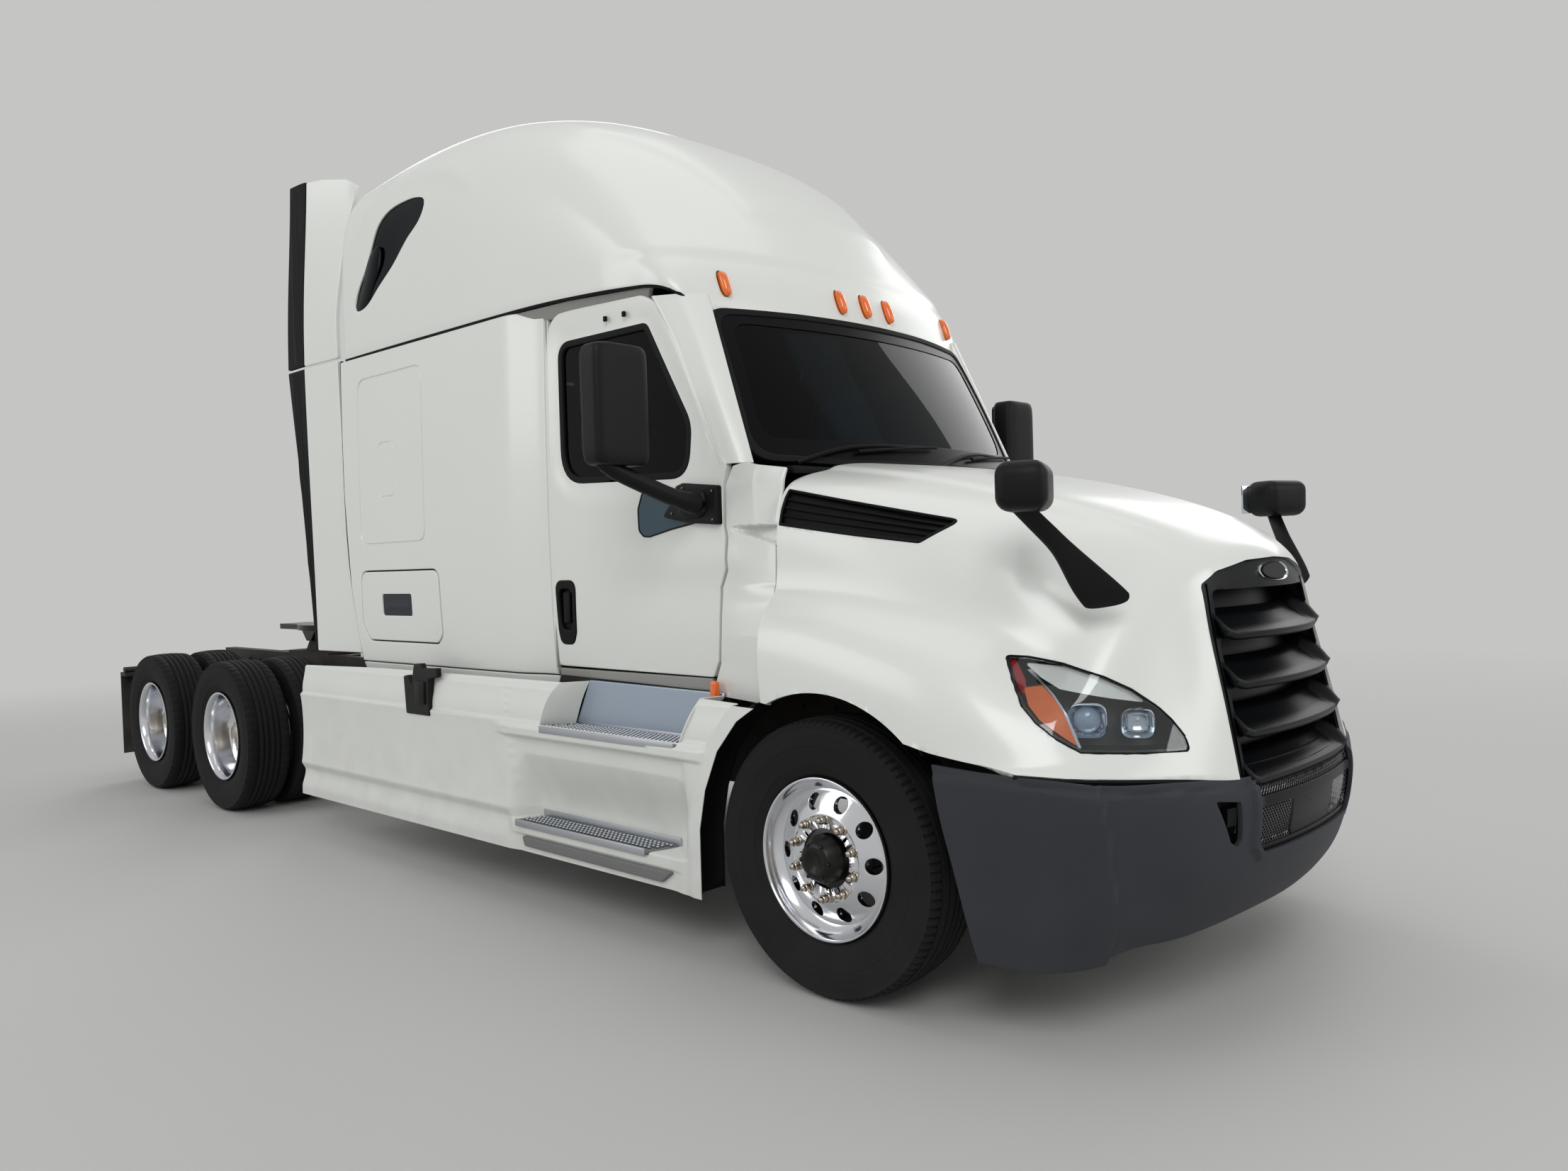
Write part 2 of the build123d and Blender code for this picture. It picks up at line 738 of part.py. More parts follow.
cowl_side_y = 985.0
with BuildPart() as cowl:
    level_prism(
        mirrored([(-612.0, 1040.0), (-560.0, 1048.0), (-480.0, 985.0), (-372.0, 600.0), (-350.0, 0.0)]),
        windscreen_span_z[0] - 35.0,
        windscreen_span_z[0],
    )
    level_prism(
        mirrored([(-612.0, 1040.0), (-570.0, 1040.0), (-570.0, 0.0)]),
        floor_top,
        windscreen_span_z[0],
    )
    for label, side in sides:
        side_prism(
            [
                (-612.0, floor_top),
                (-612.0, windscreen_span_z[0]),
                (-480.0, windscreen_span_z[0]),
                (cowl_front - 12, 1880.0),
                (cowl_front - 12, 1500.0),
                (cowl_front - 12, floor_top),
            ],
            *spans(cowl_side_y, cowl_side_y + 30.0, side),
        )
        for height in door_hinge_heights:
            lug = (height - hinge_lug_height / 2, height + hinge_lug_height / 2)
            block(
                (door_hinge[0] - door_boss_radius, -600.0),
                spans(cowl_side_y, cowl_side_y + 2 * door_boss_radius, side),
                lug,
            )
            block(
                (door_hinge[0] - door_boss_radius, door_hinge[0] + door_boss_radius),
                spans(cowl_side_y, door_hinge[1], side),
                lug,
            )
            post(door_hinge[0], side * door_hinge[1], door_boss_radius, *lug)
            post(
                door_hinge[0],
                side * door_hinge[1],
                door_pin_radius + running_gap,
                *lug,
                mode=Mode.SUBTRACT,
            )
write(cowl, "cowl")

# ---- inside the cab -----------------------------------------------------------------------------------
with BuildPart() as dashboard:
    side_prism(
        [(-612.0, 1560.0), (-612.0, 1960.0), (-720.0, 1955.0), (-930.0, 1870.0), (-900.0, 1600.0)],
        -960.0,
        960.0,
    )

wheel_hub = (-1010.0, 560.0, 1860.0)
wheel_tilt = 35.0
steering_radius = 225.0
with BuildPart() as steering_wheel:
    plane = Plane(
        origin=(front_axle_x + wheel_hub[0], wheel_hub[1], wheel_hub[2]),
        x_dir=(0, 1, 0),
        z_dir=(-cos(radians(wheel_tilt)), 0, sin(radians(wheel_tilt))),
    )
    with BuildSketch(plane):
        Circle(steering_radius)
        Circle(steering_radius - 32, mode=Mode.SUBTRACT)
        Rectangle(2 * steering_radius - 20, 50)
        Circle(70)
    extrude(amount=30)
    with BuildSketch(plane):
        Circle(28)
    extrude(amount=-120)

with BuildPart() as cockpit:
    add(dashboard.part)
    add(steering_wheel.part)
write(cockpit, "dashboard")

with BuildPart() as seats:
    for label, side in sides:
        low, high = spans(290.0, 830.0, side)
        side_prism(
            [
                (-1250.0, floor_top),
                (-1180.0, 1560.0),
                (-1180.0, 1690.0),
                (-1640.0, 1680.0),
                (-1700.0, 2380.0),
                (-1820.0, 2380.0),
                (-1800.0, 1560.0),
                (-1650.0, floor_top),
            ],
            low,
            high,
        )
    block((cab_rear + wall, -2700.0), (-inner_half_width + 10, inner_half_width - 10), (1640.0, 1860.0))
write(seats, "seats")

# ---- side extenders behind the sleeper -----------------------------------------------------------
# Quads in (y, height) at the front and the rear station of each panel.
extender_front = cab_rear - 20.0
extender_rear = -4170.0
edge_thickness = 26.0
extender_quads = (
    ("lower", [(1040, 1126), (1062, 2845)], [(1068, 1126), (1090, 2845)]),
    ("upper", [(1046, 2862), (945, 3880)], [(1090, 2862), (1070, 3972)]),
)


def panel_quad(line, side, thickness):
    (y_low, z_low), (y_high, z_high) = line
    return [
        (side * y_low, z_low),
        (side * y_high, z_high),
        (side * (y_high - thickness), z_high),
        (side * (y_low - thickness), z_low),
    ]


with BuildPart() as side_extenders:
    for label, side in sides:
        for _, front_line, rear_line in extender_quads:
            ruled_loft(
                [
                    (cross_plane(extender_rear), panel_quad(rear_line, side, edge_thickness)),
                    (cross_plane(extender_front), panel_quad(front_line, side, edge_thickness)),
                ]
            )
        for z in (1500.0, 2400.0):
            block((cab_rear - 25, cab_rear), spans(900.0, 1035.0, side), (z, z + 60))
            block((cab_rear - 60, cab_rear - 25), spans(900.0, 1040.0, side), (z, z + 60))
        block((cab_rear - 60, cab_rear), spans(880.0, 1000.0, side), (3100.0, 3160.0))
write(side_extenders, "side_extenders")

lower_edge = [
    (extender_rear, 1126.0),
    (extender_rear, 2845.0),
    (-4385.0, 2845.0),
    (-4300.0, 2300.0),
    (-4185.0, 1126.0),
]
upper_edge = [(extender_rear, 2862.0), (extender_rear, 3972.0), (-4330.0, 3985.0), (-4390.0, 2862.0)]
with BuildPart() as extender_edges:
    for label, side in sides:
        side_prism(lower_edge, *spans(1064.0, 1084.0, side))
        side_prism(upper_edge, *spans(1056.0, 1076.0, side))
write(extender_edges, "extender_edges")

# ---- hood ----------------------------------------------------------------------------------------
hood_rear_crown = windscreen_span_z[0] - 5
# Half-sections: crown z, crease (y, z), shoulder (y, z), waist (y, z), fender crest (y, z), edge y.
hood_sections = (
    (cowl_front, hood_rear_crown, (560, hood_rear_crown - 10), (935, 1880), (1000, 1500), (1085, 1430), 1150),
    (100, 1925, (540, 1905), (900, 1785), (985, 1450), (1100, 1350), 1170),
    (500, 1835, (500, 1812), (850, 1665), (965, 1380), (1115, 1250), 1176),
    (850, 1722, (460, 1695), (780, 1545), (930, 1300), (1110, 1200), 1176),
    (1100, 1592, (430, 1575), (700, 1440), (880, 1220), (1080, 1130), 1170),
    (1400, 1415, (400, 1395), (600, 1300), (780, 1100), (1010, 1040), 1150),
)
hood_bottom = 780.0
# Plan of the front at three heights: (station, y) from the side to the nose.
hood_front_plans = (
    (780.0, ((-600, 1300), (700, 1300), (800, 1172), (1040, 1065), (1168, 850), (1268, 500), (1320, 0))),
    (1250.0, ((-600, 1300), (480, 1300), (600, 1140), (880, 1000), (1050, 790), (1185, 470), (1245, 0))),
    (2100.0, ((-600, 1300), (100, 1300), (200, 1100), (500, 900), (750, 700), (950, 420), (1020, 0))),
)


def hood_half(section, inset):
    station, crown, crease, shoulder, waist, crest, edge = section
    return [
        (edge - inset, hood_bottom - inset),
        (edge - inset, crest[1] - 110),
        (crest[0] - inset, crest[1] - inset),
        (waist[0] - inset, waist[1]),
        (shoulder[0] - inset, shoulder[1] - inset),
        (crease[0] - inset, crease[1] - inset),
        (0.0, crown - inset),
    ]


def hood_body(inset):
    with BuildPart() as body:
        sections = []
        for section in hood_sections:
            half = hood_half(section, inset)
            ring = half + [(-y, z) for y, z in reversed(half[:-1])]
            shift = -inset if section[0] == cowl_front else 0
            sections.append((cross_plane(section[0] + shift), ring))
        ruled_loft(sections)
        plans = []
        for height, points in hood_front_plans:
            plan = [(x - inset, y) for x, y in points]
            plans.append((level_plane(height - 2 * inset), mirrored(plan)))
        ruled_loft(plans, mode=Mode.INTERSECT)
    return body.part


seam_line = [(430.0, 945.0), (800.0, 915.0), (1060.0, 882.0), (1400.0, 840.0)]
arch_front_x = 430.0
fender_bottom = 1080.0
grille_outline = [(-470, 1440), (-420, 1485), (420, 1485), (470, 1440), (508, 800), (-508, 800)]
# Lamp outline in (distance along the corner, height) on a plane across the front corner.
lamp_corner = (740.0, 1100.0)
lamp_turn = 29.3
lamp_outline = [
    (0, 1256),
    (22, 1177),
    (53, 1098),
    (160, 997),
    (235, 958),
    (577, 942),
    (523, 1044),
    (400, 1143),
    (188, 1226),
]
vent_outline = [(-324, 1868), (-330, 1726), (41, 1671), (314, 1634), (453, 1715)]


def lamp_plane(side):
    """Across the front corner: the sketch's x runs from the outer end towards the nose."""
    turn = radians(lamp_turn)
    return Plane(
        origin=(front_axle_x + lamp_corner[0], side * lamp_corner[1], 0),
        x_dir=(cos(turn), -side * sin(turn), 0),
        z_dir=(-side * sin(turn) * side, -cos(turn) * side, 0) if side > 0 else (sin(turn), -cos(turn), 0),
    )


with BuildPart() as lamp_wedges:
    for label, side in sides:
        extrude(outline(lamp_plane(side), lamp_outline), amount=220.0, both=True)

hood_outer = hood_body(0.0)
hood_inner = hood_body(skin)
with BuildPart() as hood_shell:
    add(hood_outer)
    add(hood_inner, mode=Mode.SUBTRACT)
    side_prism(
        [(-700.0, 600.0), (-700.0, fender_bottom), (0.0, fender_bottom), (arch_front_x - 60, 955.0)]
        + seam_line
        + [(1400.0, 600.0)],
        -1300.0,
        1300.0,
        mode=Mode.SUBTRACT,
    )
    bar_across(0.0, axle_z, arch_radius, -1300.0, 1300.0, mode=Mode.SUBTRACT)

with BuildPart() as hood:
    add(hood_shell.part)
    cross_prism(grille_outline, 900.0, 1500.0, mode=Mode.SUBTRACT)
    side_prism(vent_outline, -1200.0, -800.0, mode=Mode.SUBTRACT)
    side_prism(vent_outline, 800.0, 1200.0, mode=Mode.SUBTRACT)
    add(lamp_wedges.part, mode=Mode.SUBTRACT)
write(hood, "hood")

with BuildPart() as headlamps:
    add(hood_shell.part)
    add(lamp_wedges.part, mode=Mode.INTERSECT)
write(headlamps, "headlamps")

with BuildPart() as hood_vents:
    add(hood_shell.part)
    side_prism(vent_outline, -1200.0, 1200.0, mode=Mode.INTERSECT)
    block((-700.0, 700.0), (-800.0, 800.0), (1500.0, 2100.0), mode=Mode.SUBTRACT)

# Grille: a dished back frame with louvres that follow the hood's front.
louvre_heights = (900.0, 1000.0, 1100.0, 1200.0, 1300.0, 1400.0)
with BuildPart() as grille_face:
    add(hood_shell.part)
    cross_prism(grille_outline, 900.0, 1500.0, mode=Mode.INTERSECT)
    block((900.0, 1500.0), (-430.0, 430.0), (870.0, 1440.0), mode=Mode.SUBTRACT)
    for height in louvre_heights:
        lean = (height - 780.0) / 470.0 * 75.0
        front = [(1320.0 - lean, 0.0), (1268.0 - lean, 500.0 - 62.0)]
        band = [
            (front[1][0] - 70, 438.0),
            (front[1][0] - 8, 438.0),
            (front[0][0] - 18, 0.0),
            (front[1][0] - 8, -438.0),
            (front[1][0] - 70, -438.0),
            (front[0][0] - 80, 0.0),
        ]
        level_prism(band, height, height + 34.0)
    for label, side in sides:
        low, high = spans(*hood_arm_y, side)
        side_prism(
            [
                (hood_pivot[0] - 15, hood_pivot[1] - 20),
                (hood_pivot[0] + 15, hood_pivot[1] + 10),
                (hood_arm_x[1], hood_pivot[1] + 30),
                (hood_arm_x[1], 900.0),
                (1200.0, 905.0),
                (1200.0, 930.0),
                (hood_arm_x[0], 930.0),
                (hood_arm_x[0], hood_pivot[1] - 20),
            ],
            low,
            high,
        )
        bar_across(*hood_pivot, hood_boss_radius, low, high)
        bar_across(*hood_pivot, hood_pin_radius + running_gap, low - 5, high + 5, mode=Mode.SUBTRACT)

with BuildPart() as grille:
    add(grille_face.part)
    add(hood_vents.part)
write(grille, "grille")

hood_mirror_head = (810.0, 1070.0, 1800.0)
hood_mirror_size = (150.0, 190.0, 165.0)
hood_mirror_foot = (925.0, 835.0, 1420.0)
with BuildPart() as hood_mirrors:
    x, y, z = hood_mirror_head
    length, width, height = hood_mirror_size
    block((x - length / 2, x + length / 2), (y - width / 2, y + width / 2), (z - height / 2, z + height / 2))
    fillet(hood_mirrors.edges(), 34)
    ruled_loft(
        [
            (level_plane(z - 60), ring_of(x, y, 50.0, 50.0)),
            (
                level_plane(hood_mirror_foot[2]),
                ring_of(hood_mirror_foot[0], hood_mirror_foot[1], 140.0, 100.0),
            ),
        ]
    )
    add(hood_outer, mode=Mode.SUBTRACT)
    mirror(about=Plane.XZ)
write(hood_mirrors, "hood_mirrors")

# ---- bumper --------------------------------------------------------------------------------------
# Plans at four heights, from the side to the nose: (station, y).
bumper_plans = (
    (250.0, ((380, 1170), (780, 1150), (960, 1040), (1065, 850), (1155, 500), (1200, 0))),
    (450.0, ((380, 1175), (800, 1160), (1010, 1050), (1095, 850), (1185, 500), (1235, 0))),
    (700.0, ((380, 1175), (800, 1165), (1050, 1075), (1175, 850), (1278, 500), (nose_station, 0))),
    (930.0, ((380, 1172), (800, 1160), (1045, 1078), (1165, 850), (1262, 500), (1305, 0))),
)
bumper_wall = 34.0
bumper_seam = [(x, z - seam_gap) for x, z in seam_line]
bumper_underside = [(300, 200), (300, 268), (660, 281), (1250, 335), (1400, 335), (1400, 200)]
bumper_behind = [(300, 200), (683, 200), (661, 281), (498, 888), (480, 960), (300, 960)]
mesh_half_width = 462.0
bumper_bracket_y = (474.0, 530.0)
bumper_bracket_z = (670.0, 745.0)
mesh_bottom = 565.0


def bumper_body(inset):
    with BuildPart() as body:
        plans = []
        for height, points in bumper_plans:
            plan = [(points[0][0] - inset, points[0][1] - inset)]
            plan += [(x - inset * 0.75, y - inset * 0.75) for x, y in points[1:-1]]
            plan += [(points[-1][0] - inset, 0)]
            if height == bumper_plans[0][0]:
                height -= inset
            if height == bumper_plans[-1][0]:
                height += inset
            plans.append((level_plane(height), mirrored(plan)))
        ruled_loft(plans)
    return body.part


with BuildPart() as bumper_brackets:
    add(bumper_body(bumper_wall / 2))
    with BuildPart(mode=Mode.PRIVATE) as bars:
        for label, side in sides:
            block((beam_front, nose_station), spans(*bumper_bracket_y, side), bumper_bracket_z)
    add(bars.part, mode=Mode.INTERSECT)

with BuildPart() as bumper:
    add(bumper_body(0.0))
    add(bumper_body(bumper_wall), mode=Mode.SUBTRACT)
    side_prism(
        [(300.0, bumper_seam[0][1] + 11)] + bumper_seam + [(1400.0, 1000.0), (300.0, 1000.0)],
        -1300.0,
        1300.0,
        mode=Mode.SUBTRACT,
    )
    side_prism(bumper_underside, -1300.0, 1300.0, mode=Mode.SUBTRACT)
    side_prism(bumper_behind, -1300.0, 1300.0, mode=Mode.SUBTRACT)
    block((1000.0, 1500.0), (-mesh_half_width, mesh_half_width), (mesh_bottom, 1000.0), mode=Mode.SUBTRACT)
    add(bumper_brackets.part)
write(bumper, "bumper")

mesh_window_y = (200.0, 430.0)
mesh_window_z = (600.0, 725.0)
with BuildPart() as lower_grille:
    add(bumper_body(0.0))
    add(bumper_body(bumper_wall), mode=Mode.SUBTRACT)
    block((1000.0, 1500.0), (-mesh_half_width, mesh_half_width), (mesh_bottom, 806.0), mode=Mode.INTERSECT)
    for label, side in sides:
        block((1000.0, 1500.0), spans(*mesh_window_y, side), mesh_window_z, mode=Mode.SUBTRACT)
    add(bumper.part, mode=Mode.SUBTRACT)
write(lower_grille, "lower_grille")


# ---- chassis fairings and steps ------------------------------------------------------------------
fairing_outer_y = 1200.0
fairing_inner_y = 1168.0
fairing_top = 1042.0
fairing_outline = [
    (-4215.0, 262.0),
    (-4190.0, fairing_top),
    (-285.0, fairing_top),
    (-385.0, 985.0),
    (-500.0, 860.0),
    (-575.0, 700.0),
    (-612.0, 540.0),
    (-612.0, 290.0),
    (-1900.0, 262.0),
]
upper_step = ((-1880.0, -700.0), (845.0, floor_bottom))
lower_step = ((-1950.0, -830.0), (380.0, 470.0))
with BuildPart() as chassis_fairings:
    for label, side in sides:
        side_prism(fairing_outline, *spans(fairing_inner_y, fairing_outer_y, side))
        block((-4190.0, -680.0), spans(1000.0, fairing_outer_y, side), (floor_bottom - 18, floor_bottom))
        for span_x, span_z in (upper_step, lower_step):
            block(span_x, spans(1000.0, 1300.0, side), span_z, mode=Mode.SUBTRACT)
write(chassis_fairings, "chassis_fairings")

tread_thickness = 22.0
with BuildPart() as steps:
    for label, side in sides:
        (x0, x1), (z0, z1) = upper_step
        block((x0, x1), spans(1010.0, fairing_outer_y, side), (z0, z0 + tread_thickness))
        block((x0, x1), spans(1010.0, 1014.0, side), (z0, floor_bottom))
        (x0, x1), (z0, z1) = lower_step
        block((x0, x1), spans(1010.0, fairing_outer_y, side), (z0, z0 + tread_thickness))
        block((x0, x1), spans(1010.0, 1014.0, side), (z0, z1))
        for x in (upper_step[0][0], x1 - 60):
            block((x, x + 60), spans(1010.0, 1014.0, side), (z0, upper_step[1][0]))
write(steps, "cab_steps")

# ---- fifth wheel ---------------------------------------------------------------------------------
fifth_pivot = (-5760.0, 1130.0)
fifth_pin_radius = 28.0
plate_top = 1215.0
plate_thickness = 40.0
plate_radius = 465.0
throat_radius = 25.6
with BuildPart() as fifth_wheel_mount:
    plate_x = (fifth_pivot[0] - 330, fifth_pivot[0] + 330)
    block(plate_x, (-rail_outer_y, rail_outer_y), (rail_top, rail_top + 16))
    for label, side in sides:
        low, high = spans(300.0, 380.0, side)
        side_prism(
            [
                (fifth_pivot[0] - 150, rail_top + 16),
                (fifth_pivot[0] - 45, fifth_pivot[1] + 8),
                (fifth_pivot[0] + 45, fifth_pivot[1] + 8),
                (fifth_pivot[0] + 150, rail_top + 16),
            ],
            low,
            high,
        )
        bar_across(*fifth_pivot, fifth_pin_radius + 16, low, high)
        bar_across(*fifth_pivot, fifth_pin_radius + running_gap, low - 5, high + 5, mode=Mode.SUBTRACT)
write(fifth_wheel_mount, "fifth_wheel_mount")

with BuildPart() as fifth_wheel:
    with BuildSketch(level_plane(plate_top - plate_thickness)):
        with Locations((fifth_pivot[0], 0)):
            Circle(plate_radius)
        with Locations((fifth_pivot[0] - 300, 0)):
            Rectangle(500, 2 * 400)
        with BuildLine():
            Polyline(
                (fifth_pivot[0] - 30, throat_radius),
                (fifth_pivot[0] - 30, -throat_radius),
                (fifth_pivot[0] - 180, -throat_radius - 10),
                (fifth_pivot[0] - 560, -190),
                (fifth_pivot[0] - 560, 190),
                (fifth_pivot[0] - 180, throat_radius + 10),
                close=True,
            )
        make_face(mode=Mode.SUBTRACT)
        with Locations((fifth_pivot[0] - 30, 0)):
            Circle(throat_radius, mode=Mode.SUBTRACT)
    extrude(amount=plate_thickness)
    for label, side in sides:
        for low_y, high_y in ((255.0, 290.0), (390.0, 425.0)):
            low, high = spans(low_y, high_y, side)
            side_prism(
                [
                    (fifth_pivot[0] - 110, plate_top - plate_thickness),
                    (fifth_pivot[0] - 34, fifth_pivot[1] - 34),
                    (fifth_pivot[0] + 34, fifth_pivot[1] - 34),
                    (fifth_pivot[0] + 110, plate_top - plate_thickness),
                ],
                low,
                high,
            )
        bar_across(*fifth_pivot, fifth_pin_radius, *spans(255.0, 425.0, side))
write(fifth_wheel, "fifth_wheel")

# ---- deck, flaps and lamps -----------------------------------------------------------------------
with BuildPart() as deck_plate:
    block((-4800.0, -3760.0), (-rail_outer_y, rail_outer_y), (rail_top, rail_top + 12))
write(deck_plate, "deck_plate")

flap_thickness = 12.0
with BuildPart() as mud_flaps:
    for label, side in sides:
        block(
            (tail_station, tail_station + flap_thickness),
            spans(*flap_span_y, side),
            (210.0, flap_hanger_z - flap_hanger_radius),
        )
        block(
            (tail_station, flap_hanger_x + flap_hanger_radius),
            spans(*flap_span_y, side),
            (flap_hanger_z - flap_hanger_radius - 30, flap_hanger_z - flap_hanger_radius),
        )
write(mud_flaps, "mud_flaps")

with BuildPart() as tail_lamps:
    for label, side in sides:
        block((rail_rear - 90, rail_rear), spans(180.0, 400.0, side), (750.0, 850.0))
write(tail_lamps, "tail_lamps")
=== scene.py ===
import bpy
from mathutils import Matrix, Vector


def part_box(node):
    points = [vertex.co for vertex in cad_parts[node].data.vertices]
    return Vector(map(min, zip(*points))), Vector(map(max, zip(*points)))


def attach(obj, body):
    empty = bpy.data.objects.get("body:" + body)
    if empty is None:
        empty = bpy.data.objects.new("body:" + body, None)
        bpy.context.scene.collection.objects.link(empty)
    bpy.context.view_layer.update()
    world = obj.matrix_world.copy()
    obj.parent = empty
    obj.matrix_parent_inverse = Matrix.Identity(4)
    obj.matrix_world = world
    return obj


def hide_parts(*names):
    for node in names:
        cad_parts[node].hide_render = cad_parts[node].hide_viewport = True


bl_info = {
    "name": "Road Tractor Dress",
    "version": (1, 0, 0),
    "blender": (4, 5, 0),
    "location": "3D View > Sidebar > Tractor",
    "description": "Builds the body, lamps, wheels, steps and chassis of a sleeper tractor on its CAD frame",
    "category": "Object",
}

import math

import bmesh
import bpy
import numpy as np
from mathutils import Matrix, Vector, geometry

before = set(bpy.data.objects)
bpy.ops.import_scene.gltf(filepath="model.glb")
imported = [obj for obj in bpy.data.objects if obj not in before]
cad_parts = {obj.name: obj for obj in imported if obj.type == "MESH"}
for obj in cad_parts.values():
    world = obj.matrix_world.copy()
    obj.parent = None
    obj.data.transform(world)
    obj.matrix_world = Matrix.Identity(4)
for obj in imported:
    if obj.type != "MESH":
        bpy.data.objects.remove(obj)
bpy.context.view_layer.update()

# Every size below is in metres. Stations run along X from the front axle; heights from the ground.
AXLE_X = sum(corner[0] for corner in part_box("front_tyre_right")) / 2
WHEEL_Z = sum(corner[2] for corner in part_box("front_tyre_right")) / 2
TYRE_RADIUS = (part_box("front_tyre_right")[1][2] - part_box("front_tyre_right")[0][2]) / 2
SIDES = (("right", -1), ("left", 1))
TANDEM = [
    sum(c[0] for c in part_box(f"drive_rims_{axle}_right")) / 2 - AXLE_X for axle in ("front", "rear")
]


# Thicknesses of the walls.
ROOF_WALL, HOOD_WALL, BUMPER_WALL, COWL_WALL, SKIRT_WALL = 0.028, 0.022, 0.016, 0.012, 0.003


# ---- curves and surfaces ---------------------------------------------------------------------------------
def spline_at(knots, values, at):
    """Natural cubic spline through values at knots, read at the places in at."""
    knots, values = np.asarray(knots, float), np.asarray(values, float)
    count, flat = len(knots), np.asarray(values, float).reshape(len(knots), -1)
    step = np.diff(knots)
    if count == 2:
        bend = np.zeros_like(flat)
    else:
        matrix, right = np.eye(count), np.zeros_like(flat)
        for i in range(1, count - 1):
            matrix[i, i - 1 : i + 2] = step[i - 1], 2 * (step[i - 1] + step[i]), step[i]
            right[i] = 6 * ((flat[i + 1] - flat[i]) / step[i] - (flat[i] - flat[i - 1]) / step[i - 1])
        bend = np.linalg.solve(matrix, right)
    at = np.asarray(at, float)
    i = np.clip(np.searchsorted(knots, at) - 1, 0, count - 2)
    h = step[i][:, None]
    a, b = (knots[i + 1] - at)[:, None], (at - knots[i])[:, None]
    out = (bend[i] * a**3 + bend[i + 1] * b**3) / (6 * h)
    out += (flat[i] / h - bend[i] * h / 6) * a + (flat[i + 1] / h - bend[i + 1] * h / 6) * b
    return out.reshape((len(at),) + values.shape[1:])


def full_turn(count):
    """Angles that divide a full turn evenly."""
    return np.linspace(0, 2 * math.pi, count, endpoint=False)


def places(*coordinates):
    """Points from their coordinates; a coordinate that all of them share may be one number."""
    return np.stack(np.broadcast_arrays(*coordinates), -1)


def bent(values, power):
    """Each value's size raised to a power, with its sign kept."""
    return np.sign(values) * np.abs(values) ** power


def chords(points):
    """Length along a polyline at each of its points."""
    lengths = np.linalg.norm(np.diff(np.asarray(points, float), axis=0), axis=-1)
    return np.concatenate([[0], np.cumsum(np.maximum(lengths, 1e-9))])


def run_through(points, count):
    """Smooth line through points, evenly divided by length."""
    points = np.asarray(points, float)
    knots = chords(points)
    dense = spline_at(knots, points, np.linspace(0, knots[-1], 40 * len(points)))
    along = chords(dense)
    even = np.linspace(0, along[-1], count)
    return np.stack([np.interp(even, along, dense[:, k]) for k in range(points.shape[1])], 1)


def divided(points, pitch, closed=True):
    """A polyline's corners with even points between them."""
    points = [np.asarray(p, float) for p in points]
    ends = points + [points[0]] if closed else points
    out = []
    for a, b in zip(ends[:-1], ends[1:]):
        parts = max(1, int(math.ceil(np.linalg.norm(b - a) / pitch)))
        out += [a + (b - a) * k / parts for k in range(parts)]
    return np.array(out if closed else out + [ends[-1]])


def rounded(points, radius, steps=6):
    """Closed outline whose corners are turned with a radius, or with one radius for each corner."""
    points = [np.asarray(p, float) for p in points]
    radii = radius if hasattr(radius, "__len__") else [radius] * len(points)
    out = []
    for k, (corner, r) in enumerate(zip(points, radii)):
        back, ahead = points[k - 1] - corner, points[(k + 1) % len(points)] - corner
        lb, la = np.linalg.norm(back), np.linalg.norm(ahead)
        half = math.acos(max(-1, min(1, float(back @ ahead) / (lb * la)))) / 2
        if r <= 0 or half > 1.54:
            out.append(corner)
            continue
        reach = min(r / math.tan(half), 0.48 * lb, 0.48 * la)
        start, end = corner + back / lb * reach, corner + ahead / la * reach
        for s in np.linspace(0, 1, steps + 1):
            out.append((1 - s) ** 2 * start + 2 * s * (1 - s) * corner + s**2 * end)
    return np.array(out)


def smooth_loop(points, count):
    """Closed smooth outline through points."""
    points = np.asarray(points, float)
    long = np.concatenate([points[-3:], points, points[:4]])
    knots = chords(long)
    dense = spline_at(knots, long, np.linspace(knots[3], knots[3 + len(points)], 30 * len(points)))
    along = chords(dense)
    even = np.linspace(0, along[-1], count, endpoint=False)
    return np.stack([np.interp(even, along, dense[:, k]) for k in range(points.shape[1])], 1)


def skin(rows, along, across):
    """Grid of points on the smooth surface through rows of points."""
    rows = np.asarray(rows, float)
    v = np.mean([chords(r) / chords(r)[-1] for r in rows], axis=0)
    columns = np.stack([spline_at(v, r, np.linspace(0, 1, across)) for r in rows])
    u = np.mean([chords(columns[:, k]) / chords(columns[:, k])[-1] for k in range(0, across, 3)], axis=0)
    return spline_at(u, columns, np.linspace(0, 1, along))


def grid_normals(grid):
    """Unit normal at each point of a grid."""
    a, b = np.gradient(grid, axis=0), np.gradient(grid, axis=1)
    n = np.cross(a, b)
    return n / np.maximum(np.linalg.norm(n, axis=-1, keepdims=True), 1e-9)


def sunk_grid(grid, depth):
    """The grid moved in along its normals."""
    return grid - grid_normals(grid) * depth


def facing(grid, direction):
    """The grid, turned over if its middle looks away from a direction."""
    normal = grid_normals(grid)[grid.shape[0] // 2, grid.shape[1] // 2]
    return grid if normal @ np.array(direction) > 0 else grid[:, ::-1]


def inside(points, loop):
    """True for each 2-D point in the closed loop."""
    x, y = points[:, 0][:, None], points[:, 1][:, None]
    a, b = loop, np.roll(loop, -1, axis=0)
    crosses = (a[:, 1] > y) != (b[:, 1] > y)
    rise = np.where(b[:, 1] == a[:, 1], 1e-12, b[:, 1] - a[:, 1])
    return (crosses & (x < a[:, 0] + (b[:, 0] - a[:, 0]) * (y - a[:, 1]) / rise)).sum(1) % 2 == 1


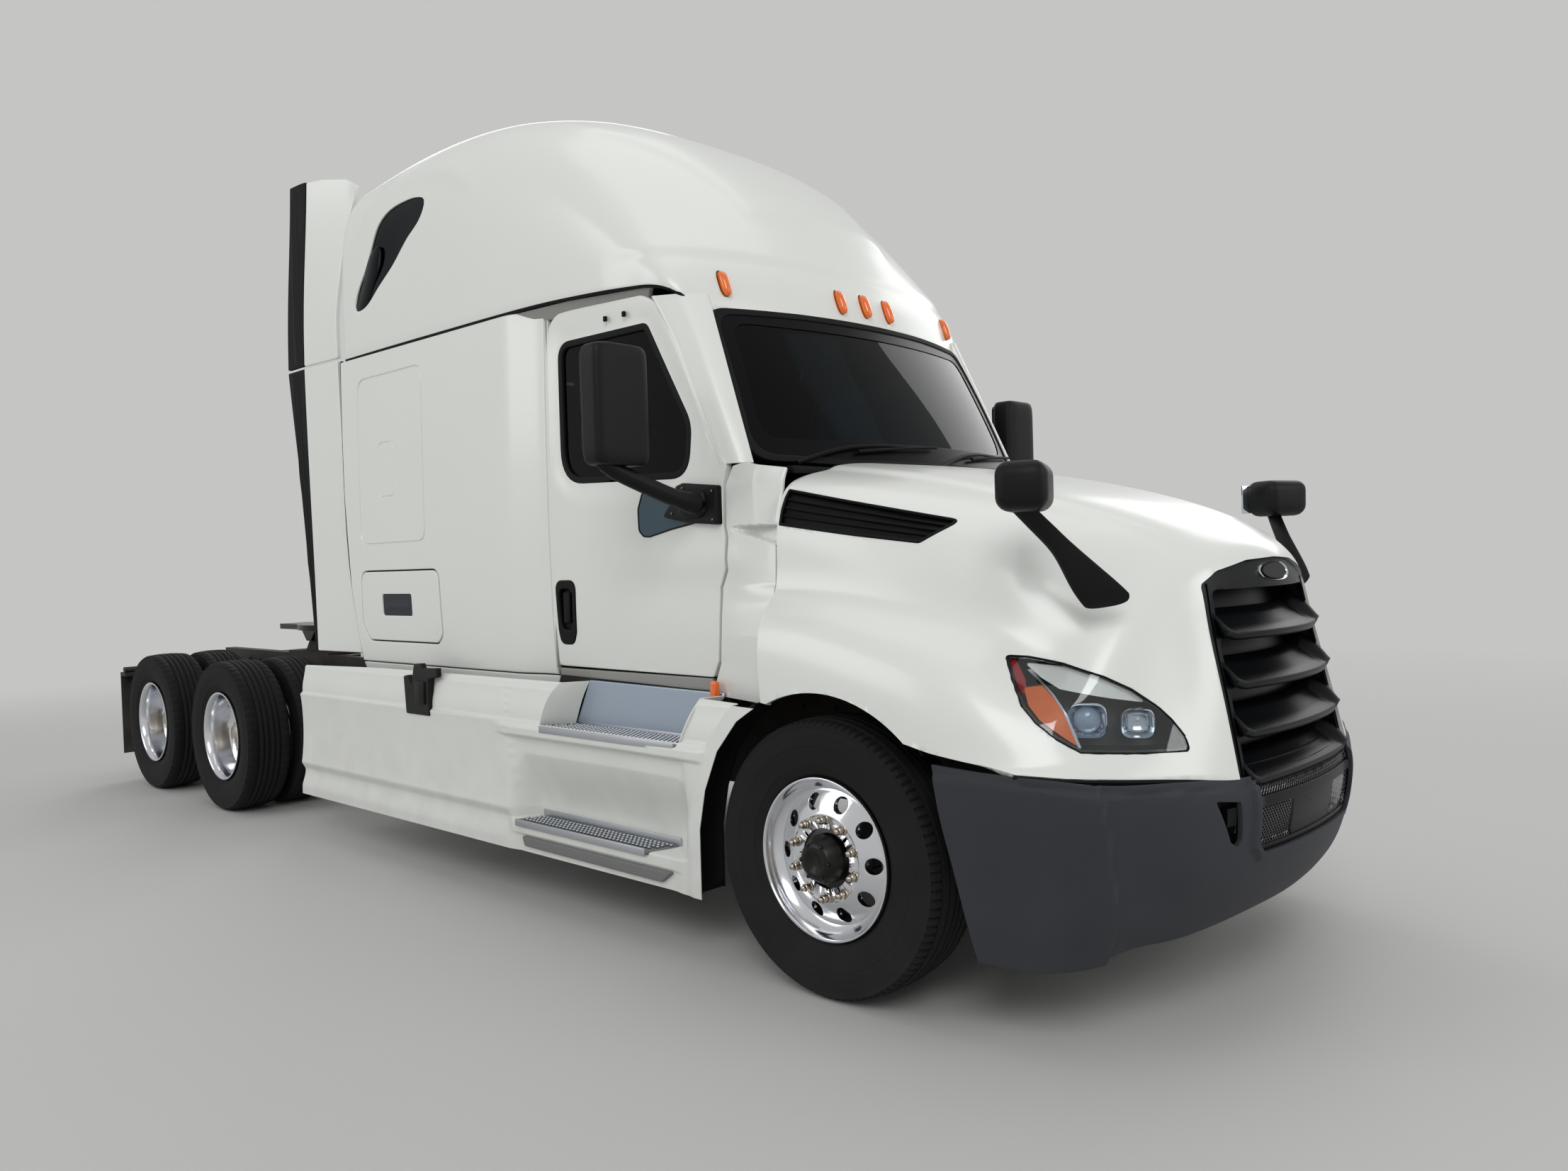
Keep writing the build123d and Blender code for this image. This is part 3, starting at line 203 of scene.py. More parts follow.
def distance_to(points, line, closed=True):
    """Distance of each point from a polyline."""
    best = np.full(len(points), 1e9)
    pairs = zip(line, np.roll(line, -1, axis=0)) if closed else zip(line[:-1], line[1:])
    for a, b in pairs:
        d = b - a
        t = np.clip(((points - a) @ d) / max(d @ d, 1e-12), 0, 1)
        best = np.minimum(best, np.linalg.norm(points - a - t[:, None] * d, axis=1))
    return best


def distance_field(a, b, line, closed=True):
    """Distance from a polyline for a whole grid of places."""
    return distance_to(places(np.ravel(a), np.ravel(b)), line, closed).reshape(np.shape(a))


def shifted(loop, amount, closed=True):
    """The line moved sideways: to its left for a positive amount."""
    loop = np.asarray(loop, float)
    if closed:
        ahead = np.roll(loop, -1, axis=0) - loop
        back = loop - np.roll(loop, 1, axis=0)
    else:
        ahead = np.concatenate([np.diff(loop, axis=0), [loop[-1] - loop[-2]]])
        back = np.concatenate([[loop[1] - loop[0]], np.diff(loop, axis=0)])
    ahead /= np.maximum(np.linalg.norm(ahead, axis=1, keepdims=True), 1e-12)
    back /= np.maximum(np.linalg.norm(back, axis=1, keepdims=True), 1e-12)
    mean = ahead + back
    mean /= np.maximum(np.linalg.norm(mean, axis=1, keepdims=True), 1e-12)
    normal = places(-mean[:, 1], mean[:, 0])
    stretch = 1 / np.maximum(np.abs((mean * ahead).sum(1)), 0.6)
    return loop + normal * (amount * stretch)[:, None]


def counter_clockwise(loop):
    """The closed outline, turned to run counter-clockwise."""
    loop = np.asarray(loop, float)
    area = (loop[:, 0] * np.roll(loop[:, 1], -1) - np.roll(loop[:, 0], -1) * loop[:, 1]).sum()
    return loop if area > 0 else loop[::-1]


def inset(loop, amount):
    """A closed outline moved inwards, or outwards for a negative amount."""
    return shifted(counter_clockwise(loop), amount)


# ---- meshes ----------------------------------------------------------------------------------------------
def new_piece(name, points, faces, edges=()):
    """A mesh object whose points are given in stations; they are stored in the shared frame."""
    mesh = bpy.data.meshes.new(name)
    points = np.asarray(points, float).reshape(-1, 3) + (AXLE_X, 0, 0)
    mesh.from_pydata(points.tolist(), edges, [list(f) for f in faces])
    mesh.validate()
    mesh.update()
    piece = bpy.data.objects.new(name, mesh)
    bpy.context.scene.collection.objects.link(piece)
    return piece


def grid_faces(rows, columns, start=0, closed=False):
    """Quads between the rows of a grid of points; closed joins the last column to the first."""
    ends = columns if closed else columns - 1
    return [
        (
            start + i * columns + j,
            start + i * columns + (j + 1) % columns,
            start + (i + 1) * columns + (j + 1) % columns,
            start + (i + 1) * columns + j,
        )
        for i in range(rows - 1)
        for j in range(ends)
    ]


def put_right(piece):
    """Doubles merged and faces turned outwards."""
    work = bmesh.new()
    work.from_mesh(piece.data)
    bmesh.ops.remove_doubles(work, verts=work.verts, dist=1e-5)
    bmesh.ops.dissolve_degenerate(work, edges=work.edges, dist=1e-6)
    bmesh.ops.recalc_face_normals(work, faces=work.faces)
    work.to_mesh(piece.data)
    work.free()
    piece.data.update()
    return piece


def shell(name, grid, thickness):
    """Closed wall: a grid of points and the same grid sunk by the wall's thickness."""
    rows, columns = grid.shape[:2]
    inner = sunk_grid(grid, thickness)
    points = np.concatenate([grid.reshape(-1, 3), inner.reshape(-1, 3)])
    faces = grid_faces(rows, columns)
    base = rows * columns
    faces += [tuple(base + k for k in reversed(f)) for f in grid_faces(rows, columns)]
    edge = list(range(columns))
    edge += [i * columns + columns - 1 for i in range(1, rows)]
    edge += [(rows - 1) * columns + j for j in range(columns - 2, -1, -1)]
    edge += [i * columns for i in range(rows - 2, 0, -1)]
    faces += [(a, base + a, base + b, b) for a, b in zip(edge, edge[1:] + edge[:1])]
    return put_right(new_piece(name, points, faces))


def prism(name, loop, place, low, high):
    """Closed body between two levels of a 2-D outline; place(a, b, c) gives points in space."""
    loop = np.asarray(loop, float)
    count = len(loop)
    points = np.concatenate([place(loop[:, 0], loop[:, 1], np.full(count, c)) for c in (low, high)])
    faces = [(k, (k + 1) % count, count + (k + 1) % count, count + k) for k in range(count)]
    faces += [tuple(range(count)), tuple(range(2 * count - 1, count - 1, -1))]
    return put_right(new_piece(name, points, faces))


def along_y(a, b, c):
    """Sketch in X and Z, raised along Y."""
    return places(a, c, b)


def along_x(a, b, c):
    """Sketch in Y and Z, raised along X."""
    return places(c, a, b)


def along_z(a, b, c):
    """Sketch in X and Y, raised along Z."""
    return places(a, b, c)


def sunk(place, depth):
    """The same surface further in."""
    return lambda a, b, c: place(a, b, c + depth)


def baked(piece):
    """The piece with its modifiers applied."""
    graph = bpy.context.evaluated_depsgraph_get()
    mesh = bpy.data.meshes.new_from_object(piece.evaluated_get(graph), depsgraph=graph)
    piece.modifiers.clear()
    old, piece.data = piece.data, mesh
    bpy.data.meshes.remove(old)
    mesh.name = piece.name
    return piece


def carve(piece, cutters, operation="DIFFERENCE"):
    """Cuts with closed bodies, which are then removed."""
    for cutter in cutters:
        step = piece.modifiers.new("cut", "BOOLEAN")
        step.operation, step.solver, step.object = operation, "EXACT", cutter
    baked(piece)
    for cutter in cutters:
        drop(cutter)
    return piece


def drop(piece):
    """Removes a piece and its mesh."""
    mesh = piece.data
    bpy.data.objects.remove(piece)
    bpy.data.meshes.remove(mesh)


def doubled(piece, name):
    """A second object with its own copy of the mesh."""
    other = piece.copy()
    other.data = piece.data.copy()
    other.name = other.data.name = name
    bpy.context.scene.collection.objects.link(other)
    return other


def points_of(piece):
    """The mesh's points, in stations."""
    co = np.empty(len(piece.data.vertices) * 3)
    piece.data.vertices.foreach_get("co", co)
    return co.reshape(-1, 3) - (AXLE_X, 0, 0)


def put_points(piece, points):
    """Moves the mesh's points to these places, in stations."""
    piece.data.vertices.foreach_set("co", (points + (AXLE_X, 0, 0)).ravel())
    piece.data.update()
    return piece


def joined(pieces, name):
    """Several meshes as one; materials are kept face by face."""
    points, faces, marks, finishes, smooth = [], [], [], [], []
    base = 0
    for piece in pieces:
        mesh = piece.data
        points.append(points_of(piece))
        slots = list(mesh.materials) or [None]
        order = []
        for finish in slots:
            if finish not in finishes:
                finishes.append(finish)
            order.append(finishes.index(finish))
        for polygon in mesh.polygons:
            faces.append([base + v for v in polygon.vertices])
            marks.append(order[min(polygon.material_index, len(order) - 1)])
            smooth.append(polygon.use_smooth)
        base += len(mesh.vertices)
    whole = new_piece(name, np.concatenate(points), faces)
    for finish in finishes:
        whole.data.materials.append(finish)
    whole.data.polygons.foreach_set("material_index", marks)
    whole.data.polygons.foreach_set("use_smooth", smooth)
    for piece in pieces:
        drop(piece)
    whole.name = name
    return whole


def soften(piece, width=0.003, segments=2, angle=32):
    """Small rounds on the sharp edges, with the flat faces kept flat."""
    step = piece.modifiers.new("edge", "BEVEL")
    step.width, step.segments, step.limit_method = width, segments, "ANGLE"
    step.angle_limit, step.use_clamp_overlap = math.radians(angle), True
    baked(piece)
    return shade(piece, 50)


def shade(piece, angle=35):
    """Smooth faces with creases above an angle."""
    piece.data.polygons.foreach_set("use_smooth", [True] * len(piece.data.polygons))
    piece.data.set_sharp_from_angle(angle=math.radians(angle))
    return piece


def finish_names(piece):
    """Names of the piece's finishes, without the number that a name already in use is given."""
    return [material.name.split(".")[0] for material in piece.data.materials if material]


def painted(piece, key):
    """The piece with one finish and no body yet."""
    piece.data.materials.clear()
    piece.data.materials.append(paint[key])
    return piece


def finish_as(piece, key=None, body="root", stands_for=(), slot=None):
    """Gives a piece its finish, unless it has its own, and the body it rides on, and hides the CAD nodes it stands
    for.
    """
    if key:
        painted(piece, key)
    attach(piece, body)
    if stands_for:
        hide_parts(*([stands_for] if isinstance(stands_for, str) else stands_for))
    slot = slot or next((FINISH_SLOTS[key] for key in finish_names(piece) if key in FINISH_SLOTS), None)
    return piece


def panel(name, outline, place, holes=(), grooves=(), depth=0.02, edge=0.004, pitch=0.035, back=False):
    """Pressed sheet with rolled edges, laid on a surface.

    place(a, b, c) gives the point of the surface under sketch point (a, b), sunk by c.
    Each groove is (line, closed, half width, depth): a pressed channel, or a ridge if its depth is negative.
    """
    loops = [counter_clockwise(outline)] + [counter_clockwise(h)[::-1] for h in holes]
    loops = [divided(loop, pitch) for loop in loops]
    first = [shifted(loop, edge) for loop in loops]
    second = [shifted(loop, 2.6 * edge) for loop in loops]
    lines = [(loop, True) for loop in first + second]
    for line, closed, half, _ in grooves:
        line = divided(line, pitch * 0.6, closed)
        for k in (-1.0, -0.45, 0.45, 1.0):
            lines.append((shifted(line, k * half, closed), closed))
    low, high = loops[0].min(0), loops[0].max(0)
    a, b = np.meshgrid(np.arange(low[0] + pitch / 2, high[0], pitch), np.arange(low[1] + pitch / 2, high[1], pitch))
    lattice = places(a.ravel(), b.ravel())
    clear = inside(lattice, second[0])
    for hole in second[1:]:
        clear &= ~inside(lattice, hole)
    lattice = lattice[clear]
    for line, closed in lines:
        if len(lattice):
            lattice = lattice[distance_to(lattice, line, closed) > 0.45 * pitch]
    points, edges = [], []
    for line, closed in lines:
        base = len(points)
        points += [tuple(p) for p in line]
        ends = len(line) if closed else len(line) - 1
        edges += [(base + k, base + (k + 1) % len(line)) for k in range(ends)]
    points += [tuple(p) for p in lattice]
    flat, _, triangles, *_ = geometry.delaunay_2d_cdt([Vector(p) for p in points], edges, [], 0, 1e-7)
    flat = np.array([tuple(p) for p in flat])
    middles = flat[np.array(triangles)].mean(1)
    keep = inside(middles, first[0])
    for hole in first[1:]:
        keep &= ~inside(middles, hole)
    faces = [tuple(t) for t, k in zip(triangles, keep) if k]
    sunk = np.zeros(len(flat))
    for line, closed, half, dip in grooves:
        d = distance_to(flat, divided(line, pitch * 0.6, closed), closed) / half
        sunk += dip * np.clip(1 - d, 0, 1) ** 0.7
    space = [place(flat[:, 0], flat[:, 1], sunk)]
    count = len(flat)
    for loop, lip in zip(loops, first):
        start = count
        rings = []
        for turn in (0, 30, 60, 90):
            reach = math.sin(math.radians(turn))
            at = lip + (loop - lip) * reach
            rings.append(place(at[:, 0], at[:, 1], np.full(len(at), edge * (1 - math.cos(math.radians(turn))))))
        rings.append(place(loop[:, 0], loop[:, 1], np.full(len(loop), depth)))
        space += rings
        faces += grid_faces(len(rings), len(loop), start, True)
        count += len(rings) * len(loop)
    piece = new_piece(name, np.concatenate(space), faces)
    put_right(piece)
    if back:
        step = piece.modifiers.new("wall", "SOLIDIFY")
        step.thickness, step.offset = back, -1
        baked(piece)
    return shade(piece, 40)


def swept(name, rings, capped=True):
    """Body through closed rings of points, its ends closed if wanted."""
    rings = np.asarray(rings)
    rows, count = rings.shape[:2]
    faces = grid_faces(rows, count, 0, True)
    if capped:
        faces += [tuple(range(count))[::-1], tuple(range((rows - 1) * count, rows * count))]
    return put_right(new_piece(name, rings.reshape(-1, 3), faces))


def lathe(name, profile, y_middle=0.0, station=0.0, height=0.0, steps=96, closed=True):
    """Turned body about an axle along Y; the profile holds (y, radius) points."""
    profile = np.asarray(profile, float)
    turn = full_turn(steps)
    rings = np.array(
        [places(station + r * np.sin(turn), y_middle + y, height + r * np.cos(turn)) for y, r in profile]
    )
    faces = grid_faces(len(profile), steps, 0, True)
    if closed:
        last = (len(profile) - 1) * steps
        faces += [(last + k, last + (k + 1) % steps, (k + 1) % steps, k) for k in range(steps)]
    return put_right(new_piece(name, rings.reshape(-1, 3), faces))


def tube(name, path, radius, sides=16, closed_ends=True):
    """Round bar along a path; the radius may change from point to point."""
    path = np.asarray(path, float)
    count = len(path)
    radii = np.full(count, radius) if np.isscalar(radius) else np.asarray(radius, float)
    ahead = np.gradient(path, axis=0)
    ahead /= np.linalg.norm(ahead, axis=1, keepdims=True)
    up = np.array([0, 0, 1.0]) if abs(ahead[0][2]) < 0.9 else np.array([1.0, 0, 0])
    rings = []
    for k in range(count):
        side = np.cross(ahead[k], up)
        side /= np.linalg.norm(side)
        up = np.cross(side, ahead[k])
        turn = full_turn(sides)
        rings.append(path[k] + radii[k] * (np.outer(np.cos(turn), side) + np.outer(np.sin(turn), up)))
    return shade(swept(name, rings, closed_ends), 40)


def soft_box(name, low, high, radius=0.01, segments=3):
    """Box with rounded edges."""
    (x0, y0, z0), (x1, y1, z1) = low, high
    points = [(x, y, z) for x in (x0, x1) for y in (y0, y1) for z in (z0, z1)]
    faces = [(0, 1, 3, 2), (4, 6, 7, 5), (0, 4, 5, 1), (2, 3, 7, 6), (0, 2, 6, 4), (1, 5, 7, 3)]
    piece = put_right(new_piece(name, points, faces))
    return soften(piece, radius, segments)


def box_at(name, x, y, z, side=1, radius=0.006, key=None, segments=2):
    """Soft box from three spans; the middle one is mirrored to the side."""
    low, high = y if side > 0 else (-y[1], -y[0])
    piece = soft_box(name, (x[0], low, z[0]), (x[1], high, z[1]), radius, segments)
    return painted(piece, key) if key else piece


# ---- finishes --------------------------------------------------------------------------------------------
def shown(red, green, blue):
    """A colour as it is seen, in steps of 255, for the shader."""
    return tuple(
        (c / 255 / 12.92) if c <= 10 else ((c / 255 + 0.055) / 1.055) ** 2.4
        for c in (red, green, blue)
    ) + (1.0,)


def effect(name, inputs, outputs):
    """An empty shader node group with number inputs and outputs, and its two end nodes."""
    tree = bpy.data.node_groups.new(name, "ShaderNodeTree")
    for label, start in inputs:
        socket = tree.interface.new_socket(label, in_out="INPUT", socket_type="NodeSocketFloat")
        socket.default_value = start
    for label in outputs:
        tree.interface.new_socket(label, in_out="OUTPUT", socket_type="NodeSocketFloat")
    return tree, tree.nodes.new("NodeGroupInput"), tree.nodes.new("NodeGroupOutput")


def math_node(tree, operation, first, second=None, clamp=False):
    """Output of an arithmetic node whose inputs are sockets or plain numbers."""
    node = tree.nodes.new("ShaderNodeMath")
    node.operation, node.use_clamp = operation, clamp
    for socket, value in zip(node.inputs, (first, second)):
        if hasattr(value, "is_output"):
            tree.links.new(value, socket)
        elif value is not None:
            socket.default_value = value
    return node.outputs[0]


CYCLE = 6.2832  # one wave, in radians


def times(tree, first, second):
    """Product of two sockets or numbers."""
    return math_node(tree, "MULTIPLY", first, second)


def plus(tree, first, second, clamp=False):
    """Sum of two sockets or numbers."""
    return math_node(tree, "ADD", first, second, clamp)


def object_place(tree):
    """The surface point in the object's own coordinates."""
    return tree.nodes.new("ShaderNodeTexCoord").outputs["Object"]


def axes_of(tree, vector):
    """A vector's X, Y and Z."""
    node = tree.nodes.new("ShaderNodeSeparateXYZ")
    tree.links.new(vector, node.inputs[0])
    return node.outputs


def noise_of(tree, scale, detail=3.0, vector=None):
    """Output of a noise texture, in the object's own coordinates unless a vector is given."""
    node = tree.nodes.new("ShaderNodeTexNoise")
    node.inputs["Detail"].default_value = detail
    if hasattr(scale, "is_output"):
        tree.links.new(scale, node.inputs["Scale"])
    else:
        node.inputs["Scale"].default_value = scale
    tree.links.new(vector or object_place(tree), node.inputs["Vector"])
    return node.outputs[0]


def make_effects():
    """The surface effects that several finishes share."""
    made = {}
    tree, start, end = effect("fine_grain", [("Scale", 900.0), ("Depth", 0.5)], ["Height", "Mottle"])
    fine = noise_of(tree, start.outputs["Scale"], 2.0)
    coarse = noise_of(tree, times(tree, start.outputs["Scale"], 0.27), 2.0)
    both = plus(tree, times(tree, fine, 0.6), times(tree, coarse, 0.4))
    tree.links.new(times(tree, both, start.outputs["Depth"]), end.inputs["Height"])
    tree.links.new(noise_of(tree, 2.3, 5.0), end.inputs["Mottle"])
    made["grain"] = tree

    tree, start, end = effect("road_dust", [("Amount", 0.4), ("Reach", 1.6), ("Patch Size", 7.0)], ["Mask"])
    place = axes_of(tree, object_place(tree))
    low = math_node(tree, "SUBTRACT", 1.0, math_node(tree, "DIVIDE", place["Z"], start.outputs["Reach"]), True)
    patches = noise_of(tree, start.outputs["Patch Size"], 6.0)
    mask = math_node(tree, "MULTIPLY", times(tree, low, patches), start.outputs["Amount"], True)
    tree.links.new(mask, end.inputs["Mask"])
    made["dust"] = tree

    tree, start, end = effect("turned_lines", [("Pitch", 0.0012), ("Depth", 0.4)], ["Height", "Streak"])
    radius = tree.nodes.new("ShaderNodeAttribute")
    radius.attribute_name = "turned_radius"
    lines = math_node(tree, "DIVIDE", radius.outputs["Fac"], start.outputs["Pitch"])
    wave = math_node(tree, "SINE", times(tree, lines, CYCLE))
    join = tree.nodes.new("ShaderNodeCombineXYZ")
    tree.links.new(radius.outputs["Fac"], join.inputs[0])
    streak = noise_of(tree, 140.0, 3.0, join.outputs[0])
    tree.links.new(times(tree, wave, start.outputs["Depth"]), end.inputs["Height"])
    tree.links.new(streak, end.inputs["Streak"])
    made["turned"] = tree

    tree, start, end = effect("cloth_weave", [("Threads", 420.0), ("Depth", 0.6)], ["Height", "Thread"])
    place = axes_of(tree, object_place(tree))
    waves = []
    for axes in (("X", "Z"), ("Y", "Z")):
        along = plus(tree, place[axes[0]], times(tree, place[axes[1]], 0.5))
        waves.append(math_node(tree, "SINE", times(tree, along, times(tree, start.outputs["Threads"], CYCLE))))
    weave = times(tree, waves[0], waves[1])
    tree.links.new(times(tree, weave, start.outputs["Depth"]), end.inputs["Height"])
    tree.links.new(plus(tree, times(tree, weave, 0.5), 0.5), end.inputs["Thread"])
    made["weave"] = tree

    tree, start, end = effect("stone_chips", [("Size", 160.0), ("Share", 0.08)], ["Mask"])
    cells = tree.nodes.new("ShaderNodeTexVoronoi")
    tree.links.new(start.outputs["Size"], cells.inputs["Scale"])
    tree.links.new(object_place(tree), cells.inputs["Vector"])
    where = noise_of(tree, 6.0, 4.0)
    spot = math_node(tree, "LESS_THAN", cells.outputs["Distance"], times(tree, where, start.outputs["Share"]))
    tree.links.new(spot, end.inputs["Mask"])
    made["chips"] = tree
    return made


# Shader groups that the finishes share.
effects = {}


def set_inputs(node, numbers):
    """Sets a node's inputs by name."""
    for label, value in numbers.items():
        node.inputs[label].default_value = value
    return node


def effect_node(tree, name, numbers):
    """The outputs of a shared effect that is given these numbers."""
    node = tree.nodes.new("ShaderNodeGroup")
    node.node_tree = effects[name]
    return set_inputs(node, numbers).outputs


def mixed(tree, factor, first, second, blend="MIX"):
    """The colour between two, each a socket or a plain colour."""
    node = tree.nodes.new("ShaderNodeMix")
    node.data_type, node.blend_type = "RGBA", blend
    tree.links.new(factor, node.inputs["Factor"])
    for label, value in (("A", first), ("B", second)):
        if hasattr(value, "is_output"):
            tree.links.new(value, node.inputs[label])
        else:
            node.inputs[label].default_value = value
    return node.outputs["Result"]


CHIP_COLOUR, DUST_COLOUR = (60, 60, 62), (120, 112, 100)
THREAD_SHADE = (0.55, 0.55, 0.58, 1)


def finish(
    name, colour, rough, spread, grain, metal=0.0, coat=0.0, coat_rough=0.04, dust=(0.0, 1.6), turned=None,
    weave=None,
    chips=0.0, sheen=0.0, clear=False, bend=1.46, shine=0.5, glow=0.0, dirt=DUST_COLOUR,
):
    """A material with fine relief, slow colour change and, where wanted, dust, chips, lathe lines or weave."""
    material = bpy.data.materials.new(name)
    material.use_nodes = True
    tree = material.node_tree
    shader = tree.nodes["Principled BSDF"]
    set_inputs(
        shader, {"Metallic": metal, "Coat Weight": coat, "Coat Roughness": coat_rough, "Specular IOR Level": shine},
    )
    if sheen:
        set_inputs(shader, {"Sheen Weight": sheen, "Sheen Roughness": 0.5})
    if clear:
        set_inputs(shader, {"Transmission Weight": 1.0, "IOR": bend})
    surface = effect_node(tree, "grain", {"Scale": grain[0], "Depth": 1.0})
    darker = tuple(c * (1 - spread) for c in colour[:3]) + (1,)
    lighter = tuple(min(1, c * (1 + spread)) for c in colour[:3]) + (1,)
    tint, height = mixed(tree, surface["Mottle"], darker, lighter), surface["Height"]
    roughness = plus(tree, rough - 0.04, times(tree, surface["Mottle"], 0.08))
    if turned:
        lines = effect_node(tree, "turned", {"Pitch": turned})
        height = plus(tree, times(tree, height, 0.4), lines["Height"])
        roughness = plus(tree, roughness, times(tree, lines["Streak"], 0.08))
    if weave:
        cloth = effect_node(tree, "weave", {"Threads": weave})
        height = plus(tree, height, cloth["Height"])
        tint = mixed(tree, times(tree, cloth["Thread"], 0.5), tint, THREAD_SHADE, "MULTIPLY")
    layers = []
    if dust[0]:
        film = effect_node(tree, "dust", {"Amount": dust[0], "Reach": dust[1]})
        layers.append((film["Mask"], shown(*dirt)))
    if chips:
        layers.append((effect_node(tree, "chips", {"Share": chips})["Mask"], shown(*CHIP_COLOUR)))
    for mask, layer_colour in layers:
        tint = mixed(tree, mask, tint, layer_colour)
        roughness = plus(tree, roughness, times(tree, mask, 0.5), True)
    tree.links.new(tint, shader.inputs["Base Color"])
    tree.links.new(roughness, shader.inputs["Roughness"])
    bump = set_inputs(tree.nodes.new("ShaderNodeBump"), {"Strength": grain[1], "Distance": 0.001})
    tree.links.new(height, bump.inputs["Height"])
    tree.links.new(bump.outputs["Normal"], shader.inputs["Normal"])
    # A glow lights the part by itself; on the projector lens it is a painted reflection.
    if glow:
        tree.links.new(tint, shader.inputs["Emission Color"])
        shader.inputs["Emission Strength"].default_value = glow
    return material


